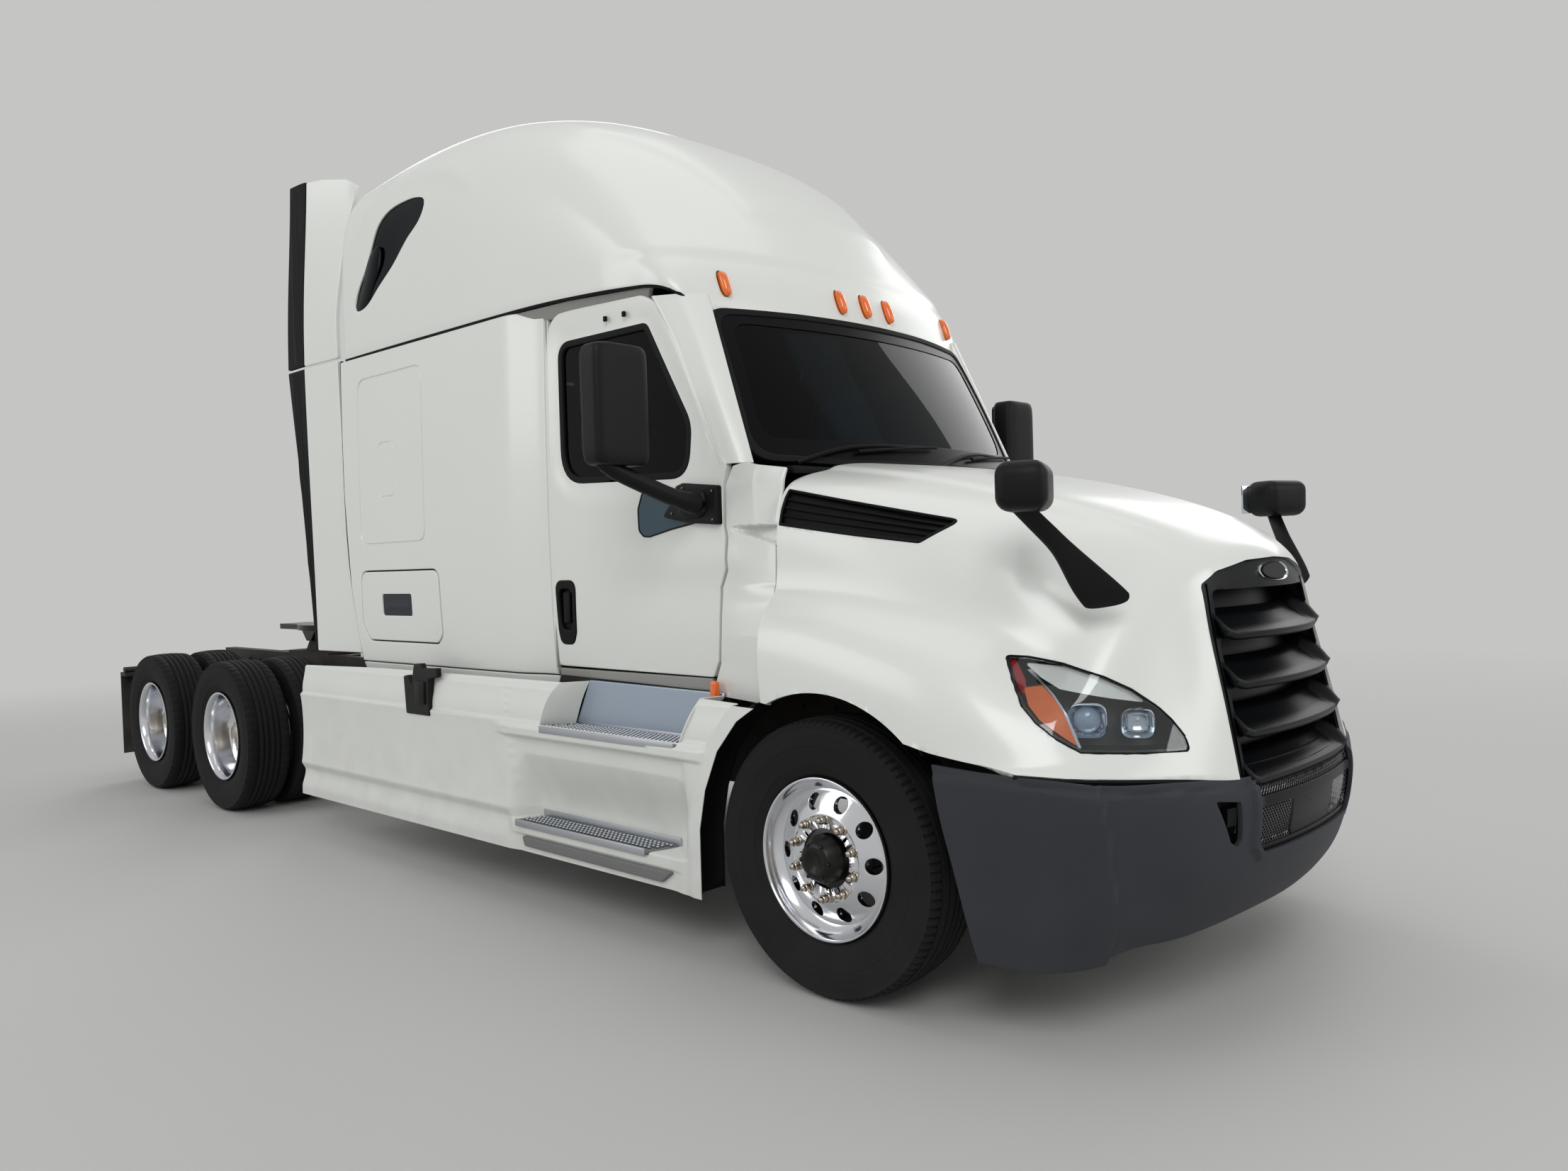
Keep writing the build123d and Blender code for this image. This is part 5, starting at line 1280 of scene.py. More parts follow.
def build_sills():
    """White sill under the sleeper, a grey sill under the doors, a shelf under the roof's overhang over the doors
    painted grey for the shade there, a grey line painted for the shade of the seam behind the door, and the black
    seam at the sleeper's rear.
    """
    for label, side in SIDES:
        place = side_face(
            side, lambda a, b: side_width(a, np.full(np.shape(b), 1.13)) - 0.006 - 0.3 * (1.085 - b) * 0.4,
        )
        sill = panel(
            f"sleeper_sill_{label}", [(-3.63, 1.078), (-3.6, 1.018), (-2.1, 1.0), (-1.8, 1.012), (-1.765, 1.078)],
            place, depth=0.03, pitch=0.05,
        )
        finish_as(sill, "body_paint")
        sill = panel(
            f"door_sill_{label}", [(-1.76, 1.116), (-1.76, 1.082), (-0.72, 1.062), (-0.7, 1.116)], place, depth=0.03,
            pitch=0.05,
        )
        finish_as(sill, "sill_grey")
        # The shelf under the roof's overhang is white panel; its grey paints the shade under the overhang.
        shelf = [(-2.07, 2.815), (-1.8, 2.752), (-1.04, 2.728), (-1.0, 2.77), (-1.55, 2.803)]
        lid = panel(
            f"drip_shelf_{label}", shelf, side_face(side, lambda a, b: 1.058 - 0.55 * np.maximum(0, 2.82 - b)),
            depth=0.02, pitch=0.04,
        )
        finish_as(lid, "sill_grey")
        # A grey line behind the door paints the seam's thin shadow.
        rows = np.array([(-1.768, side * 1.02, z) for z in np.linspace(1.13, 2.78, 30)])
        seam = tube(f"door_seam_{label}", rows, 0.006, 6)
        finish_as(seam, "sill_grey")
        back = [(x, side * (side_width(np.array(x), np.array(z)) - 0.012), z) for x, z in SLEEPER_BACK]
        seam = tube(f"sleeper_seam_{label}", run_through(back, 30), 0.011, 8)
        finish_as(seam, "seam_rubber")


# ---- hood, grille and headlamps --------------------------------------------------------------------------
# Lines from the rear edge to the front seam, one for each place across the hood: (station, width, height).
HOOD_ROWS = (
    ((-0.345, 0, 1.988), (-0.345, 0.3, 1.985), (-0.345, 0.56, 1.972), (-0.345, 0.8, 1.93), (-0.345, 0.935, 1.86),
     (-0.338, 0.993, 1.68), (-0.33, 1.012, 1.5), (-0.322, 1.078, 1.415), (-0.305, 1.15, 1.3), (-0.282, 1.168, 1.06)),
    ((-0.1, 0, 1.96), (-0.1, 0.3, 1.956), (-0.1, 0.55, 1.938), (-0.1, 0.78, 1.888), (-0.1, 0.922, 1.806),
     (-0.1, 0.983, 1.63), (-0.1, 1.005, 1.475), (-0.1, 1.085, 1.392), (-0.1, 1.155, 1.275), (-0.1, 1.176, 1.04)),
    ((0.2, 0, 1.912), (0.2, 0.3, 1.907), (0.2, 0.53, 1.884), (0.2, 0.74, 1.826), (0.2, 0.88, 1.735),
     (0.2, 0.955, 1.565), (0.2, 0.99, 1.42), (0.2, 1.095, 1.325), (0.2, 1.164, 1.195), (0.2, 1.179, 1.0)),
    ((0.5, 0, 1.846), (0.5, 0.29, 1.84), (0.5, 0.5, 1.812), (0.5, 0.68, 1.752), (0.495, 0.825, 1.655),
     (0.485, 0.915, 1.495), (0.475, 0.96, 1.365), (0.455, 1.082, 1.265), (0.435, 1.158, 1.145),
     (0.415, 1.179, 0.962)),
    ((0.8, 0, 1.758), (0.795, 0.27, 1.752), (0.785, 0.47, 1.722), (0.765, 0.62, 1.66), (0.735, 0.76, 1.555),
     (0.7, 0.86, 1.405), (0.665, 0.925, 1.292), (0.61, 1.06, 1.205), (0.555, 1.148, 1.1), (0.5, 1.177, 0.944)),
    ((1.02, 0, 1.672), (1.005, 0.25, 1.664), (0.985, 0.45, 1.628), (0.945, 0.58, 1.56), (0.895, 0.715, 1.45),
     (0.84, 0.825, 1.315), (0.785, 0.905, 1.215), (0.715, 1.035, 1.145), (0.645, 1.132, 1.062), (0.57, 1.172, 0.934)),
    ((1.165, 0, 1.585), (1.14, 0.25, 1.572), (1.108, 0.45, 1.52), (1.055, 0.59, 1.44), (0.995, 0.725, 1.338),
     (0.93, 0.838, 1.228), (0.875, 0.922, 1.145), (0.8, 1.025, 1.085), (0.722, 1.115, 1.018), (0.64, 1.165, 0.925)),
    ((1.222, 0, 1.43), (1.198, 0.25, 1.415), (1.148, 0.475, 1.35), (1.092, 0.615, 1.262), (1.038, 0.748, 1.18),
     (0.98, 0.862, 1.105), (0.928, 0.948, 1.048), (0.862, 1.036, 1.005), (0.785, 1.106, 0.965),
     (0.702, 1.156, 0.918)),
    ((1.27, 0, 1.15), (1.25, 0.26, 1.14), (1.205, 0.492, 1.095), (1.147, 0.645, 1.05), (1.086, 0.78, 1.01),
     (1.026, 0.888, 0.975), (0.974, 0.972, 0.948), (0.908, 1.048, 0.93), (0.832, 1.104, 0.918), (0.752, 1.148, 0.91)),
    ((1.303, 0, 0.846), (1.293, 0.26, 0.842), (1.262, 0.5, 0.834), (1.203, 0.672, 0.852), (1.133, 0.812, 0.868),
     (1.068, 0.922, 0.878), (1.01, 1.0, 0.885), (0.945, 1.062, 0.89), (0.872, 1.106, 0.895), (0.8, 1.14, 0.9)),
)
NEAREST = 6
# The headlamp's sketch plane cuts the front corner; its outline runs from the top inner corner.
LAMP_AT, LAMP_TURN = (0.74, 1.1), math.radians(29.3)
LAMP = ((0.0, 1.256), (0.024, 1.177), (0.055, 1.098), (0.096, 1.05), (0.16, 1.0), (0.235, 0.958), (0.395, 0.948))
LAMP += ((0.577, 0.942), (0.563, 0.99), (0.523, 1.044), (0.482, 1.085), (0.4, 1.145), (0.316, 1.187), (0.188, 1.228))
LAMP += ((0.079, 1.25),)
# The hood's side vent in station and height, and the grille in side and height.
VENT = ((-0.33, 1.872), (-0.333, 1.728), (0.025, 1.673), (0.288, 1.637), (0.412, 1.716))
GRILLE = ((-0.474, 1.468), (-0.385, 1.512), (-0.2, 1.545), (0.0, 1.553), (0.2, 1.545), (0.385, 1.512))
GRILLE += ((0.474, 1.468), (0.52, 0.78), (-0.52, 0.78))


def hood_grid(along=130, across=181):
    """Points of the hood, from its rear edge to its front seam, with the raised centre."""
    rows = []
    for half in HOOD_ROWS:
        half = np.array(half, float)
        rows.append(np.concatenate([half[::-1], half[1:] * (1, -1, 1)]))
    grid = facing(skin(rows, along, across), (0, 0, 1))
    x, y = grid[..., 0], np.abs(grid[..., 1])
    edge = np.interp(x, (-0.35, 0.34, 0.8, 1.1), (0.645, 0.59, 0.5, 0.44))
    lift = 0.011 * (1 - ease(y, edge - 0.028, edge + 0.028)) * (1 - ease(x, 0.98, 1.12))
    return grid + grid_normals(grid) * lift[..., None]


def lamp_place(side):
    """Sketch of the lamp's outline on a plane across the front corner; c is the depth inwards."""
    along, across = (math.cos(LAMP_TURN), math.sin(LAMP_TURN)), (-math.sin(LAMP_TURN), math.cos(LAMP_TURN))

    def place(a, b, c):
        x = LAMP_AT[0] + along[0] * a + across[0] * c
        y = LAMP_AT[1] - along[1] * a - across[1] * c
        return places(x, side * y, b)

    return place


def nearby_mean(far, values):
    """Mean of the values of the few nearest points, weighted by how near they are."""
    near = np.argsort(far)[:NEAREST]
    weight = 1 / far[near]
    return (values[near] * weight).sum() / weight.sum()


def read_points(points, axes, first, second, wanted):
    """One coordinate of a surface's points, at places given along the two other axes."""
    out = []
    for a, b in zip(np.ravel(first), np.ravel(second)):
        far = (points[:, axes[0]] - a) ** 2 + (points[:, axes[1]] - b) ** 2 + 1e-7
        out.append(nearby_mean(far, points[:, wanted]))
    return np.array(out)


def front_of(grid, y, z):
    """Station of the hood's front face at a width and height."""
    return read_points(grid.reshape(-1, 3), (1, 2), y, z, 0).reshape(np.shape(y))


def build_hood(hood):
    """Hood with its arches, lamp and grille openings, side vents, arch linings and nose seals."""
    grid = hood_grid()
    body = shell("hood_shell", grid, HOOD_WALL)
    opening = rounded(GRILLE, [0.03, 0.1, 0.2, 0.3, 0.2, 0.1, 0.03, 0, 0], 5)
    cutters = [prism("cut_grille", opening, along_x, 0.95, 1.6)]
    for label, side in SIDES:
        arch = full_turn(120)
        circle = places(hood.arch * np.cos(arch), WHEEL_Z + hood.arch * np.sin(arch))
        cutters.append(prism(f"cut_arch_{label}", circle, along_y, side * 0.55, side * 1.4))
        cutters.append(prism(f"cut_lamp_{label}", smooth_corners(LAMP, 0.012), lamp_place(side), -0.2, 0.3))
        cutters.append(
            prism(f"cut_vent_{label}", rounded(VENT, [0, 0, 0.2, 0.03, 0.02]), along_y, side * 0.8, side * 1.3)
        )
    carve(body, cutters)
    soften(body, 0.0035, 2)
    finish_as(body, "body_paint", "hood", "hood")
    for label, side in SIDES:
        vent = shell(f"hood_vent_{label}", sunk_grid(grid, 0.012), 0.01)
        carve(
            vent, [prism("keep", rounded(VENT, [0.004, 0.004, 0.2, 0.03, 0.02]), along_y, side * 0.8, side * 1.3)],
            "INTERSECT",
        )
        finish_as(shade(vent, 40), "trim_plastic", "hood")
        build_vent_bars(grid, label, side)
    arch_linings(hood)
    build_nose_plate(grid)


def smooth_corners(points, radius):
    """A sketch outline with small rounds on its corners."""
    return rounded([np.array(p) for p in points], radius, 4)


def surface_at(grid, side, x, z):
    """Width of the hood's side at a station and height, read from its grid."""
    points = grid.reshape(-1, 3)
    return read_points(points[points[:, 1] * side > 0.5], (0, 2), x, z, 1)


def build_vent_bars(grid, label, side):
    """Three blades and a raised rim in the hood's side vent."""
    pieces = []
    for k, share in enumerate((0.25, 0.5, 0.75)):
        low, high = np.array([(-0.325, 1.735), (0.3, 1.648)]), np.array([(-0.325, 1.862), (0.395, 1.712)])
        line = low + (high - low) * share
        x = np.linspace(line[0][0], line[1][0], 24)
        z = np.interp(x, line[:, 0], line[:, 1])
        y = surface_at(grid, side, x, z) - side * 0.009
        pieces.append(tube(f"bar_{k}", places(x, y, z), 0.006, 8))
    rim = rounded(VENT, [0.01, 0.01, 0.2, 0.03, 0.02], 8)
    rim = inset(divided(rim, 0.03), 0.006)
    y = surface_at(grid, side, rim[:, 0], rim[:, 1]) - side * 0.002
    ring = places(rim[:, 0], y, rim[:, 1])
    pieces.append(tube("rim", np.concatenate([ring, ring[:1]]), 0.006, 8))
    finish_as(shade(joined(pieces, f"vent_blades_{label}"), 40), "trim_plastic", "hood")


def arch_linings(hood):
    """Dark lining over each front tyre, inside the hood."""
    for label, side in SIDES:
        turn = np.linspace(math.radians(43), math.radians(116), 40)
        rings = []
        for y in (0.66, 0.8, 0.95, 1.08, 1.145):
            radius = hood.arch + (0.012 if y > 1.0 else 0.03)
            rings.append(places(radius * np.cos(turn), side * y, WHEEL_Z + radius * np.sin(turn)))
        liner = shade(shell(f"arch_lining_{label}", facing(np.array(rings), (0, 0, 1)), 0.006), 50)
        finish_as(liner, "trim_plastic", "hood")


def build_nose_plate(grid):
    """Black seam strip along the hood's front lower edge."""
    line = grid[-1]
    keep = line[(np.abs(line[:, 1]) > 0.5)]
    for label, side in SIDES:
        path = keep[keep[:, 1] * side > 0]
        path = path[np.argsort(path[:, 1] * side)]
        path = path + (-0.014, 0, -0.01)
        strip = tube(f"nose_seal_{label}", run_through(path[::4], 60), 0.01, 8)
        finish_as(strip, "seam_rubber", "hood")


def lamp_sheet(name, grid, outline, side, sink, thick, corner=0.006):
    """Part of the lamp that follows the hood's surface at a depth."""
    sheet = shell(name, sunk_grid(grid, sink), thick)
    carve(sheet, [prism("keep", smooth_corners(outline, corner), lamp_place(side), -0.3, 0.45)], "INTERSECT")
    return shade(sheet, 40)


def build_headlamps():
    """Headlamps: clear lens, housing, light bar, red and amber parts, fin, bowls and seal."""
    grid = hood_grid(100, 141)
    loop = counter_clockwise(np.array(LAMP))
    for label, side in SIDES:
        place = lamp_place(side)
        lens = lamp_sheet(f"lamp_lens_{label}", grid, shifted(loop, 0.004), side, 0.0, 0.005, 0.012)
        finish_as(lens, "lamp_lens", "hood", "headlamps" if side < 0 else ())
        half = grid[:, : grid.shape[1] // 2 + 1] if grid[5, 5, 1] * side > 0 else grid[:, grid.shape[1] // 2 :]
        back = lamp_sheet(f"lamp_housing_{label}", half, shifted(loop, 0.004), side, 0.085, 0.006, 0.012)
        finish_as(back, "lamp_black", "hood")
        wall = lamp_sheet(f"lamp_wall_{label}", half, shifted(loop, 0.003), side, 0.006, 0.095, 0.012)
        carve(wall, [prism("hollow", smooth_corners(shifted(loop, 0.01), 0.012), place, -0.3, 0.45)])
        finish_as(shade(wall, 30), "lamp_black", "hood")
        bar = (
            (0.063, 1.227), (0.191, 1.213), (0.293, 1.182), (0.393, 1.138), (0.445, 1.097), (0.333, 1.116),
            (0.175, 1.146), (0.114, 1.182),
        )
        finish_as(lamp_sheet(f"lamp_bar_{label}", half, bar, side, 0.02, 0.02), "lamp_white", "hood")
        red = ((0.014, 1.238), (0.034, 1.24), (0.066, 1.178), (0.072, 1.128), (0.04, 1.15))
        finish_as(lamp_sheet(f"lamp_red_{label}", half, red, side, 0.016, 0.03), "red_lens", "hood")
        wedge = (
            (0.062, 1.152), (0.12, 1.158), (0.151, 1.128), (0.187, 1.079), (0.223, 1.012), (0.229, 0.975),
            (0.186, 1.002), (0.111, 1.056), (0.076, 1.1),
        )
        finish_as(lamp_sheet(f"lamp_amber_{label}", half, wedge, side, 0.014, 0.034), "amber_lens", "hood")
        fin = (
            (0.07, 1.208), (0.084, 1.208), (0.158, 1.13), (0.196, 1.074), (0.238, 0.972), (0.229, 0.97),
            (0.186, 1.078), (0.15, 1.132),
        )
        finish_as(lamp_sheet(f"lamp_fin_{label}", half, fin, side, 0.012, 0.055, 0.002), "lamp_chrome", "hood")
        lamp_bowls(label, side, half)
        hood_seal = tube(f"lamp_seal_{label}", lamp_edge(grid, loop, side), 0.0035, 6, closed_ends=False)
        finish_as(hood_seal, "seam_rubber", "hood")


def lamp_edge(grid, loop, side):
    """The lamp's outline laid on the hood's surface."""
    points = grid.reshape(-1, 3)
    points = points[points[:, 1] * side > 0.3]
    place = lamp_place(side)
    ring = divided(smooth_corners(shifted(loop, 0.001), 0.012), 0.02)
    base = place(ring[:, 0], ring[:, 1], np.zeros(len(ring)))
    along = place(np.zeros(1), np.zeros(1), np.ones(1))[0] - place(np.zeros(1), np.zeros(1), np.zeros(1))[0]
    out = []
    for start in base:
        offset = points - start
        depth = offset @ along
        far = ((offset - depth[:, None] * along) ** 2).sum(1) + 1e-7 + (depth > 0.3) * 1.0
        out.append(start + along * (nearby_mean(far, depth) + 0.002))
    return np.array(out + [out[0]])


def lamp_bowls(label, side, half):
    """Two reflectors, each with a faceted rim and a lens."""
    place = lamp_place(side)
    # The low beam's lens is glass with a glow that paints its reflection.
    for name, centre, size, glass in (
        ("low", (0.258, 1.05), 0.058, "projector_glass"),
        ("high", (0.415, 1.035), 0.05, "lamp_lens"),
    ):
        turn = full_turn(40)
        squared = 1 / (np.abs(np.cos(turn)) ** 4 + np.abs(np.sin(turn)) ** 4) ** 0.25
        edge = places(centre[0] + size * squared * np.cos(turn), centre[1] + size * 0.92 * squared * np.sin(turn))
        depth = lamp_depth(half, side, centre)
        rings = []
        for share, sink in (
            (1.06, 0.02), (1.0, 0.014), (0.94, 0.02), (0.86, 0.045), (0.55, 0.062), (0.3, 0.066), (0.04, 0.067),
        ):
            ring = centre + (edge - centre) * share
            rings.append(place(ring[:, 0], ring[:, 1], np.full(40, depth + sink)))
        rings.append(place(*(np.array(centre)[:, None] * np.ones(40)), np.full(40, depth + 0.075)))
        outer = centre + (edge - centre) * 1.06
        rings.insert(0, place(outer[:, 0], outer[:, 1], np.full(40, depth + 0.078)))
        bowl = swept(f"lamp_bowl_{name}_{label}", rings, False)
        finish_as(shade(bowl, 40), "lamp_chrome", "hood")
        dome = []
        for tilt in np.linspace(0, 90, 9):
            r = size * 0.74 * math.cos(math.radians(tilt))
            ring = places(centre[0] + r * np.cos(turn), centre[1] + r * np.sin(turn))
            dome.append(
                place(ring[:, 0], ring[:, 1], np.full(40, depth + 0.05 - 0.03 * math.sin(math.radians(tilt))))
            )
        dome.append(place(*(np.array(centre)[:, None] * np.ones(40)), np.full(40, depth + 0.06)))
        lens = swept(f"lamp_eye_{name}_{label}", dome, False)
        finish_as(shade(lens, 50), glass, "hood")


def lamp_depth(half, side, centre):
    """How deep the hood's surface lies under a place in the lamp's sketch."""
    points = half.reshape(-1, 3)
    place = lamp_place(side)
    start = place(np.array([centre[0]]), np.array([centre[1]]), np.zeros(1))[0]
    along = place(np.zeros(1), np.zeros(1), np.ones(1))[0] - place(np.zeros(1), np.zeros(1), np.zeros(1))[0]
    offset = points - start
    depth = offset @ along
    far = ((offset - depth[:, None] * along) ** 2).sum(1)
    return float(depth[np.argmin(far)])


# Height and half width of the grille's sides, and the heights of its blades.
GRILLE_EDGE = ((0.78, 0.512), (0.967, 0.504), (1.2, 0.49), (1.4, 0.474), (1.468, 0.466))
BLADES = (1.452, 1.29, 1.126, 0.966, 0.812)


def grille_half(z):
    """Half width of the grille at a height."""
    table = np.array(GRILLE_EDGE)
    return np.interp(z, table[:, 0], table[:, 1])


def build_grille():
    """Black surround, a brow with a plain oval place, and scooped blades over a dark back."""
    grid = hood_grid(100, 141)
    front = grid[:, np.abs(grid[grid.shape[0] // 2, :, 1]) < 0.75]
    sheet = shell("grille_surround", sunk_grid(front, 0.014), 0.016)
    outer = rounded(inset(np.array(GRILLE), 0.004), [0, 0, 0.03, 0.1, 0.2, 0.3, 0.2, 0.1, 0.03], 5)
    carve(sheet, [prism("keep", outer, along_x, 0.95, 1.6)], "INTERSECT")
    windows = []
    for top, low in zip(BLADES[:-1], BLADES[1:]):
        z1, z0 = top - 0.004, low + 0.014
        w1, w0 = grille_half(z1) - 0.052, grille_half(z0) - 0.052
        loop = rounded([(-w1, z1), (w1, z1), (w0, z0), (-w0, z0)], [0.03, 0.03, 0.045, 0.045], 6)
        windows.append(prism("gap", loop, along_x, 0.95, 1.6))
    carve(sheet, windows)
    soften(sheet, 0.004, 2)
    finish_as(sheet, "grille_plastic", "hood", "grille")
    pieces = []
    for k, z in enumerate(BLADES[1:]):
        half = grille_half(z) - 0.046
        y = np.linspace(-half, half, 61)
        base = front_of(front, y, np.full(61, z))
        base = np.convolve(np.pad(base, 6, mode="edge"), np.ones(13) / 13, "valid") - 0.006
        curl = 0.055 * ease(np.abs(y), half - 0.075, half)
        section = ((0.012, -0.004), (0.018, 0.006), (0.01, 0.014), (-0.035, 0.03), (-0.085, 0.062), (-0.11, 0.092))
        section += ((-0.116, 0.088), (-0.09, 0.052), (-0.04, 0.018), (-0.004, -0.014), (0.006, -0.014))
        rings = []
        for dx, dz in section:
            rings.append(places(base + dx, y, z + dz + curl * (0.3 + 0.7 * (dx < -0.02))))
        pieces.append(shade(swept(f"blade_{k}", np.array(rings).transpose(1, 0, 2)), 40))
    y = np.linspace(-0.44, 0.44, 41)
    heights = np.linspace(0.83, 1.47, 25)
    back = np.stack([places(front_of(front, y, np.full(41, h)) - 0.135, y, h) for h in heights])
    back[..., 0] = np.minimum(back[..., 0], back[..., 20:21, 0])
    pieces.append(shade(shell("grille_back", back[:, ::-1], 0.008), 40))
    finish_as(joined(pieces, "grille_blades"), "grille_plastic", "hood")
    badge(front)
    for label, side in SIDES:
        cheek = []
        for h in heights:
            w = grille_half(h) - 0.036
            x = front_of(front, [side * w], [h])[0]
            cheek.append(
                [(x - 0.01, side * w, h), (x - 0.075, side * (w - 0.012), h), (x - 0.15, side * (w - 0.02), h)]
            )
        cheek = facing(np.array(cheek), (0, -side, 0))
        finish_as(shade(shell(f"grille_cheek_{label}", cheek, 0.006), 40), "grille_plastic", "hood")


def badge(front):
    """Plain oval place with a bright rim, without any mark."""
    turn = full_turn(72)
    rings = []
    for share, rise in ((1.0, -0.012), (1.0, 0.004), (0.97, 0.007), (0.9, 0.004), (0.86, -0.002)):
        y = 0.132 * share * bent(np.cos(turn), 0.85)
        z = 1.502 + 0.034 * share * bent(np.sin(turn), 0.85)
        rings.append(places(front_of(front, y, z) - 0.014 + rise, y, z))
    finish_as(shade(swept("badge_rim", rings), 30), "lamp_chrome", "hood")
    y = 0.11 * np.cos(turn)
    z = 1.502 + 0.027 * np.sin(turn)
    x = front_of(front, y, z)
    plate = swept("badge_plate", [places(x - back, y, z) for back in (0.02, 0.009)])
    finish_as(shade(plate, 30), "grille_plastic", "hood")


HOOD_MIRROR_YAW = -24


def build_hood_mirrors():
    """Mirror heads on the hood, each on a flat arm, with its glass turned to the driver."""
    for label, side in SIDES:
        head = soft_box(f"hood_mirror_{label}", (0.735, -0.115, 1.722), (0.9, 0.115, 1.88), 0.045, 5)
        co = points_of(head)
        co[:, 1] *= 1 - 0.25 * np.clip((co[:, 2] - 1.72) / -0.16 + 0.35, 0, 1)
        put_points(head, co - (0.815, 0, 1.8))
        put_right(place_at(head, (0.812, side * 1.062, 1.8), HOOD_MIRROR_YAW * side))
        finish_as(shade(head, 60), "mirror_plastic", "hood", "hood_mirrors" if side < 0 else ())
        arm_path = (
            (0.8, 1.055, 1.735), (0.828, 1.02, 1.69), (0.885, 0.955, 1.6), (0.94, 0.895, 1.5), (0.975, 0.85, 1.435),
        )
        path = run_through(np.array(arm_path), 26)
        rings = []
        for k, point in enumerate(path):
            t = k / 25
            wide, deep = 0.034 + 0.04 * ease(t, 0.35, 1.0), 0.02 + 0.012 * t
            turn = full_turn(24)
            a = bent(np.cos(turn), 0.7) * wide
            b = bent(np.sin(turn), 0.7) * deep
            out = np.array([0.3, 0.55, 0.78])
            out /= np.linalg.norm(out)
            across = np.array([0.82, -0.5, 0.03 + 0.25 * t])
            across -= out * (across @ out)
            across /= np.linalg.norm(across)
            ring = point + np.outer(a, across) + np.outer(b, out)
            rings.append(ring * (1, side, 1))
        finish_as(shade(swept(f"hood_mirror_arm_{label}", rings), 45), "mirror_plastic", "hood")
        glass = soft_box(f"hood_mirror_glass_{label}", (-0.004, -0.088, -0.062), (0.004, 0.088, 0.062), 0.002, 2)
        place_at(glass, (0.738, side * 1.03, 1.8), HOOD_MIRROR_YAW * side)
        finish_as(glass, "mirror_glass", "hood")


def place_at(piece, where, yaw):
    """Turns a piece made about the origin and moves it to its place."""
    co = points_of(piece)
    c, s = math.cos(math.radians(yaw)), math.sin(math.radians(yaw))
    turned = places(co[:, 0] * c - co[:, 1] * s, co[:, 0] * s + co[:, 1] * c, co[:, 2])
    return put_points(piece, turned + where)


# ---- geometry node trees for what repeats ----------------------------------------------------------------
def node_tree(name, numbers):
    """A geometry tree with named number inputs; returns the tree, its start and its end."""
    tree = bpy.data.node_groups.new(name, "GeometryNodeTree")
    tree.interface.new_socket("Geometry", in_out="INPUT", socket_type="NodeSocketGeometry")
    for label, start in numbers:
        kind = "NodeSocketInt" if isinstance(start, int) else "NodeSocketFloat"
        tree.interface.new_socket(label, in_out="INPUT", socket_type=kind).default_value = start
    tree.interface.new_socket("Geometry", in_out="OUTPUT", socket_type="NodeSocketGeometry")
    return tree, tree.nodes.new("NodeGroupInput"), tree.nodes.new("NodeGroupOutput")


def node_end(tree, geometry_socket, end, material):
    """Realizes the instances and sets their material."""
    real = tree.nodes.new("GeometryNodeRealizeInstances")
    dress = tree.nodes.new("GeometryNodeSetMaterial")
    dress.inputs["Material"].default_value = material
    tree.links.new(geometry_socket, real.inputs[0])
    tree.links.new(real.outputs[0], dress.inputs["Geometry"])
    tree.links.new(dress.outputs[0], end.inputs[0])


def node_made(piece, tree, **sizes):
    """Runs a tree on a piece with these sizes and keeps the plain mesh."""
    step = piece.modifiers.new("nodes", "NODES")
    step.node_group = tree
    for socket in tree.interface.items_tree:
        if socket.in_out == "INPUT" and socket.name in sizes:
            step[socket.identifier] = sizes[socket.name]
    return baked(piece)


def wire_tree(material):
    """Round wire along every edge."""
    tree, start, end = node_tree("woven_wire", [("Wire Radius", 0.0012), ("Sides", 4)])
    curve = tree.nodes.new("GeometryNodeMeshToCurve")
    circle = tree.nodes.new("GeometryNodeCurvePrimitiveCircle")
    sweep = tree.nodes.new("GeometryNodeCurveToMesh")
    tree.links.new(start.outputs["Geometry"], curve.inputs["Mesh"])
    tree.links.new(start.outputs["Wire Radius"], circle.inputs["Radius"])
    tree.links.new(start.outputs["Sides"], circle.inputs["Resolution"])
    tree.links.new(curve.outputs[0], sweep.inputs["Curve"])
    tree.links.new(circle.outputs[0], sweep.inputs["Profile Curve"])
    sweep.inputs["Fill Caps"].default_value = True
    node_end(tree, sweep.outputs[0], end, material)
    return tree


def studs_tree(name, material):
    """A round or six-sided stud on every point, standing along the point's normal attribute."""
    tree, start, end = node_tree(
        name, [("Stud Radius", 0.01), ("Stud Height", 0.01), ("Sides", 6), ("Top Share", 0.8)],
    )
    stud = tree.nodes.new("GeometryNodeMeshCone")
    stud.inputs["Depth"].default_value = 1
    top = times(tree, start.outputs["Stud Radius"], start.outputs["Top Share"])
    tree.links.new(start.outputs["Sides"], stud.inputs["Vertices"])
    tree.links.new(top, stud.inputs["Radius Top"])
    tree.links.new(start.outputs["Stud Radius"], stud.inputs["Radius Bottom"])
    tree.links.new(start.outputs["Stud Height"], stud.inputs["Depth"])
    along = tree.nodes.new("GeometryNodeInputNamedAttribute")
    along.data_type = "FLOAT_VECTOR"
    along.inputs["Name"].default_value = "stands"
    turn = tree.nodes.new("FunctionNodeAlignRotationToVector")
    turn.axis = "Z"
    tree.links.new(along.outputs[0], turn.inputs["Vector"])
    points = tree.nodes.new("GeometryNodeMeshToPoints")
    place = tree.nodes.new("GeometryNodeInstanceOnPoints")
    tree.links.new(start.outputs["Geometry"], points.inputs["Mesh"])
    tree.links.new(points.outputs[0], place.inputs["Points"])
    tree.links.new(stud.outputs["Mesh"], place.inputs["Instance"])
    tree.links.new(turn.outputs[0], place.inputs["Rotation"])
    node_end(tree, place.outputs[0], end, material)
    return tree


